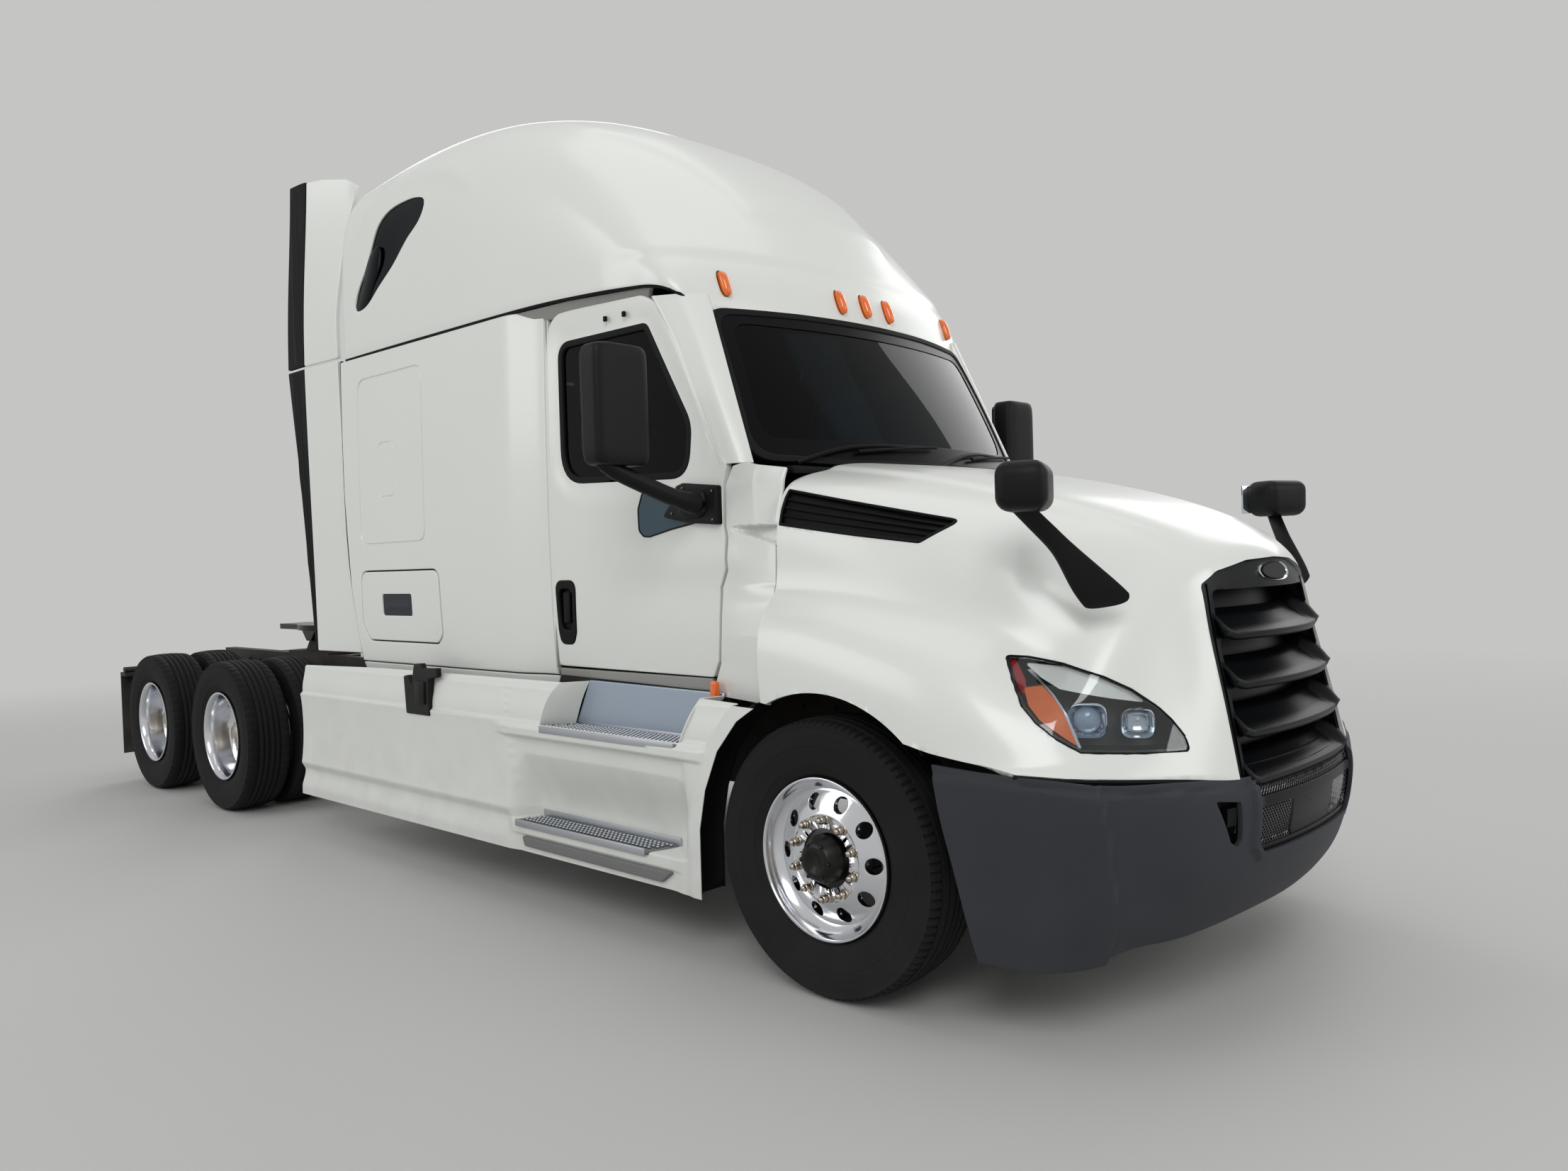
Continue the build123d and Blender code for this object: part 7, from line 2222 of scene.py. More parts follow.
def build_skirts():
    """Painted side skirts with their ribs, step scoops, arch flanges, latches and lower inserts."""
    for label, side in SIDES:
        fields = [shell("field", grid, SKIRT_WALL) for grid in skirt_faces(side)]
        walls = (
            ((-1.7, 1.184, 0.868), (-1.612, 1.166, 1.03), (-1.588, 1.14, 1.066)),
            ((-1.6, 1.052, 0.868), (-1.53, 1.04, 1.03), (-1.51, 1.034, 1.066)),
        ), (
            ((-0.735, 1.184, 0.868), (-0.667, 1.166, 1.0), (-0.645, 1.14, 1.05)),
            ((-0.712, 1.052, 0.868), (-0.65, 1.044, 1.0), (-0.625, 1.036, 1.05)),
        )
        for outer, inner in walls:
            rows = np.array([run_through(outer, 12), run_through(inner, 12)]) * (1, side, 1)
            fields.append(
                shell("return", np.stack([rows[0] + (rows[1] - rows[0]) * t for t in np.linspace(0, 1, 6)]), 0.006)
            )
        finish_as(shade(joined(fields, f"skirt_{label}"), 70), "body_paint_low", stands_for="chassis_fairings")
        parts = []
        line = divided(ARCH_LINE, 0.05, False)
        rows = []
        for lip, y in ((0.004, 1.188), (0.014, 1.186), (0.016, 1.07), (0.006, 1.065)):
            edge = shifted(line, lip, False)
            rows.append(places(edge[:, 0], side * y, edge[:, 1]))
        lining = shade(shell("arch_lining", np.array(rows), 0.006), 40)
        parts.append(painted(lining, "seam_rubber"))
        insert = panel(
            "insert", rounded([(-1.86, 0.338), (-1.84, 0.292), (-0.86, 0.288), (-0.8, 0.33), (-0.8, 0.338)], 0.01),
            side_face(side, lambda a, b: 1.196), depth=0.03, edge=0.006, pitch=0.06,
        )
        parts.append(painted(insert, "insert_grey"))
        parts.append(box_at("shelf", (-4.17, -1.63), (1.02, 1.12), (1.008, 1.018), side, 0.004, "chassis_paint"))
        hook = [
            (-2.832, 1.106), (-2.765, 1.11), (-2.742, 1.086), (-2.6, 1.092), (-2.585, 1.046), (-2.662, 1.034),
            (-2.668, 0.842), (-2.905, 0.842),
        ]
        hook += [(-2.922, 1.04), (-2.884, 1.046), (-2.852, 1.01), (-2.83, 0.992)]
        hook_face = side_face(side, lambda a, b: 1.194 - 0.2 * np.maximum(0, b - 1.04))
        plate = panel("hook", rounded(hook, 0.01, 3), hook_face, depth=0.03, edge=0.006, pitch=0.03)
        parts.append(painted(plate, "bracket_black"))
        parts.append(box_at("hook_core", (-2.8, -2.7), (1.19, 1.203), (0.9, 1.02), side, 0.01, "bracket_black"))
        finish_as(joined(parts, f"skirt_fittings_{label}"), stands_for="chassis_fairings")


def build_steps(chassis):
    """Step treads with raised grip studs, their front edges, kick plates and hangers."""
    for label, side in SIDES:
        parts, studs_at = [], []
        for name, height, front, back, ends_front, ends_back in (
            ("upper", UPPER_TREAD, 1.202, 1.05, (-1.69, -0.742), (-1.56, -0.712)),
            ("lower", LOWER_TREAD, 1.2, 1.072, (-1.912, -0.945), (-1.85, -0.87)),
        ):
            loop = [(ends_front[0], front), (ends_front[1], front), (ends_back[1], back), (ends_back[0], back)]
            loop = rounded([(a, side * b) for a, b in loop], 0.008, 3)
            tread = prism(f"tread_{name}", counter_clockwise(loop), along_z, height - 0.022, height)
            parts.append(painted(soften(tread, 0.003, 2), "tread_plate"))
            pitch = chassis.stud_pitch
            depths = np.arange(back + 0.022, front - 0.01, pitch)
            for k, depth in enumerate(depths):
                share = (front - depth) / (front - back)
                start = ends_front[0] + (ends_back[0] - ends_front[0]) * share + 0.018 + pitch / 2 * (k % 2)
                end = ends_front[1] + (ends_back[1] - ends_front[1]) * share - 0.016
                studs_at += [(at, side * depth, height + 0.0025) for at in np.arange(start, end, pitch)]
            edge = box_at(
                "tread_edge", (ends_front[0] + 0.01, ends_front[1] - 0.01), (front - 0.004, front + 0.002),
                (height - 0.028, height + 0.004), side, 0.002, "tread_aluminium",
            )
            parts.append(edge)
            rise = 0.034 if name == "lower" else 0.014
            parts.append(
                box_at(
                    "tread_back", (ends_back[0], ends_back[1]), (back - 0.006, back + 0.002),
                    (height - 0.02, height + rise), side, 0.002, "tread_aluminium",
                )
            )
        parts.append(
            studs(
                f"tread_studs_{label}", studs_at, (0, 0, 1), "tread_aluminium", chassis.stud_pitch * 0.36, 0.006,
                sides=10, top=0.62,
            )
        )
        kick = panel(
            "kick", [(-1.605, 0.868), (-0.7, 0.868), (-0.62, 1.062), (-1.505, 1.072)],
            side_face(side, lambda a, b: 1.046 - 0.05 * (b - 0.868)), depth=0.012, edge=0.003, pitch=0.06,
        )
        parts.append(painted(kick, "kick_aluminium"))
        finish_as(joined(parts, f"steps_{label}"), stands_for="cab_steps")
        hangers = [
            box_at("hanger", (x, x + 0.05), (1.0, 1.04), (0.37, 1.0), side, 0.006, "chassis_paint")
            for x in (-1.93, -0.76)
        ]
        finish_as(joined(hangers, f"step_hangers_{label}"))


def build_rear(chassis):
    """Tail lamps, bolts on the mud flaps and along the frame rails, tank straps and deck cleats."""
    lamps = []
    low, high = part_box("tail_lamps")
    x0, x1, z0, z1 = low[0] - AXLE_X, high[0] - AXLE_X, low[2], high[2]
    for _, side in SIDES:
        for x, y, rim, key in (
            ((x0 + 0.022, x1), (0.2, 0.4), 0.0, "trim_plastic"),
            ((x0, x0 + 0.026), (0.212, 0.325), 0.01, "red_lens"),
            ((x0, x0 + 0.026), (0.329, 0.388), 0.01, "lamp_white"),
        ):
            lamps.append(box_at("lamp", x, y, (z0 + rim, z1 - rim), side, 0.008, key))
    finish_as(joined(lamps, "tail_lamp_sets"), stands_for="tail_lamps")
    bolts, stands = [], []
    for _, side in SIDES:
        for station in np.arange(-7.2, 0.4, chassis.bolt_pitch):
            for height in BOLT_ROWS:
                bolts.append((station, side * RAIL_SIDE, height))
                stands.append((0, side, 0))
    studs("rail_bolts", bolts, stands, "chassis_paint", 0.013, 0.012)
    bands = []
    for _, side in SIDES:
        for station in (-3.0, -2.3):
            ring = lathe("strap", [(-0.03, 0.304), (-0.03, 0.309), (0.03, 0.309), (0.03, 0.304)], steps=64)
            co = points_of(ring)[:, [1, 0, 2]] + (station, side * 0.83, 0.64)
            put_right(put_points(ring, co))
            bands.append(painted(shade(ring, 40), "stud_steel"))
    finish_as(joined(bands, "tank_straps"))
    cleats = [(x, y, 1.013) for x in np.arange(-4.75, -3.8, 0.05) for y in np.arange(-0.4, 0.41, 0.05)]
    studs("deck_cleats", cleats, (0, 0, 1), "tread_aluminium", 0.012, 0.005, sides=8, top=0.5)
    flap_bolts = [(-7.402, side * y, 0.835) for _, side in SIDES for y in np.arange(0.68, 1.19, 0.1)]
    studs("flap_bolts", flap_bolts, (-1, 0, 0), "stud_steel", 0.01, 0.01)


# CAD nodes that stay as they are, by finish.
CARRIED = {
    "chassis_paint": ("frame",),
    "cast_metal": (
        "suspension", "front_axle", "drive_axles", "knuckle_right", "knuckle_left", "engine", "fifth_wheel_mount",
    ),
    "tank_aluminium": ("fuel_tanks",),
    "bare_steel": ("radiator",),
    "plate_grease": ("fifth_wheel",),
    "tread_aluminium": ("deck_plate",),
    "flap_rubber": ("mud_flaps",),
}


def dress_carried():
    """Gives each CAD node that stays as it is its finish."""
    for key, nodes in CARRIED.items():
        for node in nodes:
            if node not in bpy.data.objects:
                raise RuntimeError(f"no node {node}")
            painted(bpy.data.objects[node], key)


# ---- inside the cab --------------------------------------------------------------------------------------
def leaned(piece, pivot_z, slope):
    """Moves each point back by its height over the pivot."""
    for v in piece.data.vertices:
        v.co.x -= slope * (v.co.z - pivot_z)
    piece.data.update()
    return piece


def build_floor():
    """Cab floor with a ribbed mat, and the dark underside."""
    floor = soft_box("cab_floor_pan", (-3.69, -1.005, 1.02), (-0.61, 1.005, 1.118), 0.01, 2)
    finish_as(floor, "chassis_paint", stands_for="cab_floor")
    flat = lambda a, b, c: places(a, b, 1.128 - c)
    ribs = [(np.array([(-1.75, y), (-0.72, y)]), False, 0.012, -0.004) for y in np.arange(-0.88, 0.9, 0.11)]
    mat = panel(
        "floor_mat", [(-1.78, -0.94), (-0.66, -0.94), (-0.66, 0.94), (-1.78, 0.94)], flat, grooves=ribs, depth=0.012,
        pitch=0.06,
    )
    finish_as(mat, "interior_plastic")


def build_seats():
    """Two seats with bolsters, head rests and arm rests on their bases, and the bunk's mattress."""
    for label, side in SIDES:
        y = side * 0.56
        cushion = pillow(f"seat_cushion_{label}", (-1.43, y, 1.655), (0.255, 0.255, 0.075), (0.5, 0.55))
        back = leaned(pillow(f"seat_back_{label}", (-1.745, y, 1.98), (0.07, 0.245, 0.335), (0.6, 0.4)), 1.98, 0.16)
        rest = leaned(pillow(f"head_rest_{label}", (-1.735, y, 2.3), (0.055, 0.14, 0.09), (0.6, 0.5)), 1.98, 0.16)
        for piece in (cushion, back, rest):
            finish_as(piece, "seat_cloth", stands_for="seats")
        for k, (low, high) in enumerate(((0.285, 0.355), (0.765, 0.835))):
            bolster = pillow(
                f"seat_bolster_{label}_{k}", (-1.43, side * (low + high) / 2, 1.672), (0.235, 0.035, 0.072),
                (0.6, 0.6), (32, 17),
            )
            finish_as(bolster, "wheel_grip")
        parts = [
            box_at("base", (-1.66, -1.24), (0.36, 0.76), (1.128, 1.3), side, 0.02, "interior_plastic"),
            box_at("lift", (-1.6, -1.3), (0.42, 0.7), (1.29, 1.59), side, 0.02, "bracket_black"),
        ]
        for low, high in ((0.27, 0.32), (0.8, 0.845)):
            parts.append(box_at("arm_rest", (-1.74, -1.42), (low, high), (1.84, 1.9), side, 0.02, "wheel_grip"))
        finish_as(joined(parts, f"seat_base_{label}"), stands_for="seats")
    mattress = pillow("bunk_mattress", (-3.18, 0, 1.775), (0.47, 0.955, 0.085), (0.25, 0.35), (96, 21))
    finish_as(mattress, "bunk_cloth", stands_for="seats")
    frame_box = soft_box("bunk_base", (-3.65, -0.97, 1.13), (-2.72, 0.97, 1.7), 0.02, 2)
    finish_as(frame_box, "interior_trim", stands_for="seats")


def build_dash(inside):
    """Dash with its hood over the dials, air vents, glove box line, steering wheel and column."""
    shape = [
        (-0.622, 1.955), (-0.76, 1.975), (-0.88, 1.95), (-0.945, 1.89), (-0.955, 1.8), (-0.93, 1.69), (-0.89, 1.595),
        (-0.63, 1.57),
    ]
    body = prism("dash_body", counter_clockwise(rounded(shape, 0.04, 4)), along_y, -0.94, 0.94)
    parts = [painted(soften(body, 0.02, 3), "interior_plastic")]
    parts.append(
        painted(pillow("dial_hood", (-0.9, 0.56, 1.99), (0.12, 0.27, 0.05), (0.6, 0.6), (40, 17)), "interior_plastic")
    )
    parts.append(painted(soft_box("dial_glass", (-0.966, 0.36, 1.83), (-0.94, 0.76, 1.935), 0.012, 2), "dark_glass"))
    parts.append(painted(soft_box("screen", (-0.968, -0.15, 1.74), (-0.94, 0.13, 1.9), 0.01, 2), "dark_glass"))
    parts.append(painted(soft_box("glove_box", (-0.962, -0.86, 1.68), (-0.93, -0.3, 1.86), 0.02, 2), "interior_trim"))
    slats = []
    for y in (-0.82, -0.3, 0.15, 0.76):
        slats += [(-0.95, y - 0.05 + 0.0125 * k, 1.905) for k in range(9)]
    parts.append(studs("vent_slats", slats, (-1, 0, 0), "trim_plastic", 0.005, 0.018, sides=4, top=0.8))
    finish_as(joined(parts, "dash_assembly"), stands_for="dashboard")
    lean = math.radians(38)
    middle, radius = np.array((-1.04, 0.56, 1.88)), inside.wheel_radius
    across = np.array((-math.sin(lean), 0, math.cos(lean)))
    turn = np.linspace(0, 2 * math.pi, 73)
    ring = middle + radius * (np.outer(np.cos(turn), across) + np.outer(np.sin(turn), (0, 1, 0)))
    parts = [painted(tube("grip", ring, 0.015, 12, False), "wheel_grip")]
    for angle in (90, 210, 330):
        a = math.radians(angle)
        out = middle + radius * 0.97 * (math.cos(a) * across + math.sin(a) * np.array((0, 1.0, 0)))
        parts.append(
            painted(tube("spoke", run_through([middle, (middle + out) / 2, out], 6), 0.013, 10), "wheel_grip")
        )
    ahead = np.cross(across, (0, 1, 0))
    ahead = ahead if ahead[0] > 0 else -ahead
    parts.append(painted(pillow("hub", tuple(middle), (0.03, 0.06, 0.05), (0.7, 0.7), (24, 13)), "wheel_grip"))
    parts.append(
        painted(tube("column", [middle, middle + ahead * 0.1, middle + ahead * 0.24], 0.035, 16), "interior_plastic")
    )
    finish_as(joined(parts, "steering_wheel_form"), stands_for="dashboard")


# ---- engine bay ------------------------------------------------------------------------------------------
# Faces of the engine's and the radiator's plain blocks.
ENGINE_TOP, ENGINE_SIDE = 1.45, 0.352
RADIATOR_REAR, RADIATOR_FRONT = 0.84, 0.96


def build_engine_bay():
    """Ribbed cover, air cleaner, manifolds, hoses, fan and radiator fins on the engine's plain blocks."""
    parts = [box_at("cover", (-0.4, 0.62), (-0.165, 0.165), (ENGINE_TOP, 1.512), radius=0.018, key="lamp_black")]
    for station in np.arange(-0.34, 0.6, 0.075):
        parts.append(
            box_at("rib", (station, station + 0.014), (-0.15, 0.15), (1.508, 1.522), radius=0.004, key="lamp_black")
        )
    rim = [(x, side * 0.185, ENGINE_TOP + 0.004) for x in np.arange(-0.38, 0.62, 0.11) for _, side in SIDES]
    parts.append(studs("cover_bolts", rim, (0, 0, 1), "stud_steel", 0.01, 0.014))
    cleaner = [(-0.3, 0.0), (-0.3, 0.085), (-0.27, 0.1), (-0.05, 0.1), (-0.04, 0.106), (0.0, 0.106), (0.01, 0.1)]
    cleaner += [(0.22, 0.1), (0.3, 0.06), (0.3, 0.0)]
    parts.append(painted(shade(lathe("cleaner", cleaner, 0.0, -0.42, 1.6, 48, False), 32), "interior_plastic"))
    duct = run_through(
        [(-0.42, 0.28, 1.6), (-0.36, 0.36, 1.6), (-0.2, 0.39, 1.5), (0.1, 0.4, 1.4), (0.3, 0.4, 1.33)], 28,
    )
    parts.append(painted(tube("duct", duct, 0.045, 20), "hose_rubber"))
    for side, key, drop_to in ((-1, "cast_metal", 1.28), (1, "bare_steel", 1.22)):
        main_pipe = [(-0.36, side * 0.405, drop_to), (0.0, side * 0.408, drop_to), (0.4, side * 0.405, drop_to)]
        parts.append(painted(tube("manifold", run_through(main_pipe, 12), 0.036, 18), key))
        for station in np.arange(-0.3, 0.41, 0.14):
            stub = [(station, side * (ENGINE_SIDE - 0.01), drop_to + 0.02), (station, side * 0.4, drop_to)]
            parts.append(painted(tube("stub", stub, 0.026, 14), key))
        hose = [
            (0.7, side * 0.24, 1.34), (0.76, side * 0.27, 1.375), (0.8, side * 0.33, 1.385),
            (RADIATOR_REAR + 0.01, side * 0.36, 1.385),
        ]
        parts.append(painted(tube("hose", run_through(hose, 16), 0.028, 16), "hose_rubber"))
        drum = [(-0.055, 0.0), (-0.055, 0.07), (-0.045, 0.078), (0.045, 0.078), (0.055, 0.07), (0.055, 0.0)]
        parts.append(painted(shade(lathe("drum", drum, side * 0.405, 0.55, 1.02, 40, False), 32), "bare_steel"))
    turn = np.linspace(0, 2 * math.pi, 61)
    ring = places(0.785, 0.2 * np.cos(turn), 1.2 + 0.2 * np.sin(turn))
    parts.append(painted(tube("fan_ring", ring, 0.016, 12, False), "interior_plastic"))
    for k in range(8):
        a = 2 * math.pi * k / 8
        blade = [
            (0.78, 0.02 * math.cos(a), 1.2 + 0.02 * math.sin(a)),
            (0.785, 0.195 * math.cos(a + 0.3), 1.2 + 0.195 * math.sin(a + 0.3)),
        ]
        parts.append(painted(tube("fan_blade", blade, (0.022, 0.034), 8), "interior_plastic"))
    parts.append(painted(tube("fan_shaft", [(0.7, 0, 1.2), (0.8, 0, 1.2)], 0.04, 20), "bare_steel"))
    for y in np.arange(-0.44, 0.441, 0.022):
        parts.append(
            box_at(
                "fin", (RADIATOR_FRONT - 0.002, RADIATOR_FRONT + 0.006), (y, y + 0.005), (1.04, 1.385), radius=0.001,
                key="bare_steel",
            )
        )
    for height in (1.012, 1.395):
        parts.append(
            box_at(
                "header_tank", (RADIATOR_REAR - 0.005, RADIATOR_FRONT + 0.01), (-0.475, 0.475),
                (height - 0.022, height + 0.022), radius=0.01, key="interior_plastic",
            )
        )
    finish_as(joined(parts, "engine_bay_fittings"))


# ---- stage, light and camera -----------------------------------------------------------------------------
def seen_rays(tree):
    """1 for rays that show the background: straight from the camera, mirrored or through glass."""
    path = tree.nodes.new("ShaderNodeLightPath")
    direct = math_node(tree, "MAXIMUM", path.outputs["Is Camera Ray"], path.outputs["Is Transmission Ray"])
    return math_node(tree, "MAXIMUM", direct, path.outputs["Is Glossy Ray"])


def floor_finish(name, colour, rough, backdrop):
    """Pale floor, mottled faintly, that runs into the backdrop's colour far from the tractor."""
    material = bpy.data.materials.new(name)
    material.use_nodes = True
    tree = material.node_tree
    shader = tree.nodes["Principled BSDF"]
    shader.inputs["Roughness"].default_value = rough
    cloud = tree.nodes.new("ShaderNodeMix")
    cloud.data_type = "RGBA"
    cloud.inputs["A"].default_value = tuple(c * 0.97 for c in colour[:3]) + (1,)
    cloud.inputs["B"].default_value = tuple(colour[:3]) + (1,)
    tree.links.new(noise_of(tree, 0.6, 4.0), cloud.inputs["Factor"])
    tree.links.new(cloud.outputs["Result"], shader.inputs["Base Color"])
    reach = tree.nodes.new("ShaderNodeVectorMath")
    reach.operation = "LENGTH"
    tree.links.new(object_place(tree), reach.inputs[0])
    fade = tree.nodes.new("ShaderNodeMapRange")
    fade.interpolation_type = "SMOOTHSTEP"
    fade.inputs["From Min"].default_value, fade.inputs["From Max"].default_value = 6.0, 15.0
    tree.links.new(reach.outputs["Value"], fade.inputs["Value"])
    far = tree.nodes.new("ShaderNodeEmission")
    far.inputs["Color"].default_value = (*backdrop, 1)
    mix = tree.nodes.new("ShaderNodeMixShader")
    tree.links.new(times(tree, fade.outputs["Result"], seen_rays(tree)), mix.inputs[0])
    tree.links.new(shader.outputs[0], mix.inputs[1])
    tree.links.new(far.outputs[0], mix.inputs[2])
    tree.links.new(mix.outputs[0], tree.nodes["Material Output"].inputs["Surface"])
    return material


def build_stage(stage):
    """Floor, soft light from all round and the lamps."""
    floor = new_piece("stage_floor", [(-60, -60, 0), (60, -60, 0), (60, 60, 0), (-60, 60, 0)], [(0, 1, 2, 3)])
    floor.data.materials.append(floor_finish("pale_floor", stage.floor, 0.75, tuple(stage.backdrop)))
    world = bpy.data.worlds.new("studio")
    bpy.context.scene.world = world
    world.use_nodes = True
    tree = world.node_tree
    tree.nodes.clear()
    out = tree.nodes.new("ShaderNodeOutputWorld")
    soft, seen = tree.nodes.new("ShaderNodeBackground"), tree.nodes.new("ShaderNodeBackground")
    soft.inputs["Color"].default_value, soft.inputs["Strength"].default_value = (1, 1, 1, 1), stage.fill
    seen.inputs["Color"].default_value, seen.inputs["Strength"].default_value = (*stage.backdrop, 1), 1.0
    mix = tree.nodes.new("ShaderNodeMixShader")
    tree.links.new(seen_rays(tree), mix.inputs[0])
    tree.links.new(soft.outputs[0], mix.inputs[1])
    tree.links.new(seen.outputs[0], mix.inputs[2])
    tree.links.new(mix.outputs[0], out.inputs["Surface"])
    lamps = (
        ("key", (AXLE_X + 7.5, -11.0, 10.5), (AXLE_X - 1.0, 0.0, 1.6), 7.0, stage.key),
        ("side", (AXLE_X - 8.5, -12.0, 7.0), (AXLE_X - 2.5, 0.0, 1.6), 7.0, stage.key * 0.45),
        ("front", (AXLE_X + 11.0, 3.5, 6.0), (AXLE_X + 0.8, 0.0, 1.2), 5.0, stage.key * 0.35),
        ("top", (AXLE_X - 2.0, 1.0, 12.0), (AXLE_X - 2.0, 0.0, 0.0), 9.0, stage.key * 0.2),
        ("rear", (AXLE_X - 14.0, 7.0, 8.0), (AXLE_X - 3.0, 0.0, 1.8), 6.0, stage.key * 0.35),
        ("far_side", (AXLE_X - 1.0, 13.0, 8.0), (AXLE_X - 2.0, 0.0, 1.5), 7.0, stage.key * 0.4),
    )
    for name, place, aim, size, watts in lamps:
        light = bpy.data.lights.new(name, "AREA")
        light.shape, light.size, light.energy = "SQUARE", size, watts
        lamp = bpy.data.objects.new(f"light_{name}", light)
        bpy.context.scene.collection.objects.link(lamp)
        lamp.location = place
        lamp.rotation_mode = "QUATERNION"
        lamp.rotation_quaternion = (Vector(aim) - Vector(place)).to_track_quat("-Z", "Y")
    bpy.context.scene.view_settings.view_transform = "Standard"


# Where the camera stands from the front axle, and its heading, rise and roll in degrees.
CAMERA_AT = (2.75717, -4.23434, 1.59551)
CAMERA_TURN = (133.389, -1.296, -1.762)


def build_camera(stage):
    """The camera, level with the lamps and a little off the tractor's right front corner."""
    lens = bpy.data.cameras.new("camera")
    lens.sensor_fit, lens.sensor_width, lens.lens = "HORIZONTAL", 36.0, stage.lens
    lens.clip_start, lens.clip_end = 0.05, 200.0
    camera = bpy.data.objects.new("camera", lens)
    bpy.context.scene.collection.objects.link(camera)
    yaw, pitch, roll = (math.radians(angle) for angle in CAMERA_TURN)
    ahead = Vector((math.cos(yaw) * math.cos(pitch), math.sin(yaw) * math.cos(pitch), math.sin(pitch)))
    side = Vector((math.sin(yaw), -math.cos(yaw), 0))
    up = side.cross(ahead)
    right = side * math.cos(roll) + up * math.sin(roll)
    top = up * math.cos(roll) - side * math.sin(roll)
    turn = Matrix((right, top, -ahead)).transposed()
    camera.rotation_mode = "QUATERNION"
    camera.rotation_quaternion = turn.to_quaternion()
    camera.location = Vector(CAMERA_AT) + Vector((AXLE_X, 0, 0))
    bpy.context.scene.camera = camera


# ---- settings, operators and panel -----------------------------------------------------------------------
def length_setting(name, description, default):
    """A size that the user may change."""
    return bpy.props.FloatProperty(
        name=name, description=description, default=default, min=0.0, unit="LENGTH", precision=4,
    )


def colour_setting(name, description, default):
    """A colour that the user may change."""
    return bpy.props.FloatVectorProperty(
        name=name, description=description, default=default, min=0.0, max=1.0, subtype="COLOR",
    )


class TractorColours(bpy.types.PropertyGroup):
    """Colours of the painted and moulded panels."""

    body: colour_setting("Body", "Paint of the cab, hood and skirts", (0.78, 0.8, 0.765))
    bumper: colour_setting("Bumper", "Moulded plastic of the bumper", (0.026, 0.029, 0.037))


class TractorCab(bpy.types.PropertyGroup):
    """Sizes of the cab and sleeper."""

    seam: length_setting("Panel seam", "Width of the seams between pressed panels", 0.008)


class TractorHood(bpy.types.PropertyGroup):
    """Sizes of the hood."""

    arch: length_setting("Arch radius", "Radius of the wheel arch in the hood", 0.603)


class TractorBumper(bpy.types.PropertyGroup):
    """Sizes of the bumper's lower grille."""

    mesh_pitch: length_setting("Mesh pitch", "Spacing of the lower grille's wires", 0.0165)
    wire_radius: length_setting("Wire radius", "Radius of the lower grille's wires", 0.0024)


class TractorWheels(bpy.types.PropertyGroup):
    """Sizes of the rims and their nuts."""

    hole_radius: length_setting("Hand hole radius", "Radius of the holes round a rim's disc", 0.03)
    nut_length: length_setting("Nut length", "How far the wheel nuts stand off the disc", 0.04)


class TractorChassis(bpy.types.PropertyGroup):
    """Spacing of what repeats on the chassis."""

    stud_pitch: length_setting("Grip pitch", "Spacing of the grip studs on the treads", 0.026)
    bolt_pitch: length_setting("Bolt pitch", "Spacing of the bolts along the frame rails", 0.19)


class TractorInside(bpy.types.PropertyGroup):
    """Sizes inside the cab."""

    wheel_radius: length_setting("Steering wheel radius", "Radius of the steering wheel's rim", 0.205)


class TractorStage(bpy.types.PropertyGroup):
    """Floor, light and camera."""

    floor: colour_setting("Floor", "Colour of the studio floor", (0.56, 0.56, 0.55))
    backdrop: colour_setting("Backdrop", "Colour seen behind the tractor", (0.56, 0.56, 0.55))
    fill: bpy.props.FloatProperty(
        name="Fill", description="Strength of the light from all round", default=0.46, min=0.0,
    )
    key: bpy.props.FloatProperty(
        name="Key", description="Power of the main lamp", default=700.0, min=0.0, unit="POWER",
    )
    lens: bpy.props.FloatProperty(
        name="Lens", description="Focal length of the camera", default=26.441, min=1.0, unit="CAMERA",
    )


class TractorOperator:
    """What every tractor operator shares."""

    bl_options = {"REGISTER", "UNDO"}


class TractorFinishesOperator(TractorOperator, bpy.types.Operator):
    """Makes every paint, plastic, glass and metal"""

    bl_idname = "tractor.finishes"
    bl_label = "Make Finishes"

    def execute(self, context):
        paint.update(make_finishes(context.scene.tractor_colours))
        return {"FINISHED"}


class TractorSleeperSidesOperator(TractorOperator, bpy.types.Operator):
    """Builds the sleeper sides with their baggage doors"""

    bl_idname = "tractor.sleeper_sides"
    bl_label = "Build Sleeper Sides"

    def execute(self, context):
        build_sleeper_sides(context.scene.tractor_cab)
        return {"FINISHED"}


class TractorDoorsOperator(TractorOperator, bpy.types.Operator):
    """Builds the cab doors with glass, seals and handles"""

    bl_idname = "tractor.doors"
    bl_label = "Build Doors"

    def execute(self, context):
        build_doors()
        return {"FINISHED"}


class TractorRoofOperator(TractorOperator, bpy.types.Operator):
    """Builds the roof cap"""

    bl_idname = "tractor.roof"
    bl_label = "Build Roof"

    def execute(self, context):
        build_roof()
        return {"FINISHED"}


class TractorMarkersOperator(TractorOperator, bpy.types.Operator):
    """Builds the five marker lamps on the roof"""

    bl_idname = "tractor.markers"
    bl_label = "Build Marker Lamps"

    def execute(self, context):
        build_markers()
        return {"FINISHED"}


class TractorWindscreenOperator(TractorOperator, bpy.types.Operator):
    """Builds the windscreen with its band and wipers"""

    bl_idname = "tractor.windscreen"
    bl_label = "Build Windscreen"

    def execute(self, context):
        build_windscreen()
        return {"FINISHED"}


class TractorPillarsOperator(TractorOperator, bpy.types.Operator):
    """Builds the windscreen pillars"""

    bl_idname = "tractor.pillars"
    bl_label = "Build Pillars"

    def execute(self, context):
        build_pillars()
        return {"FINISHED"}


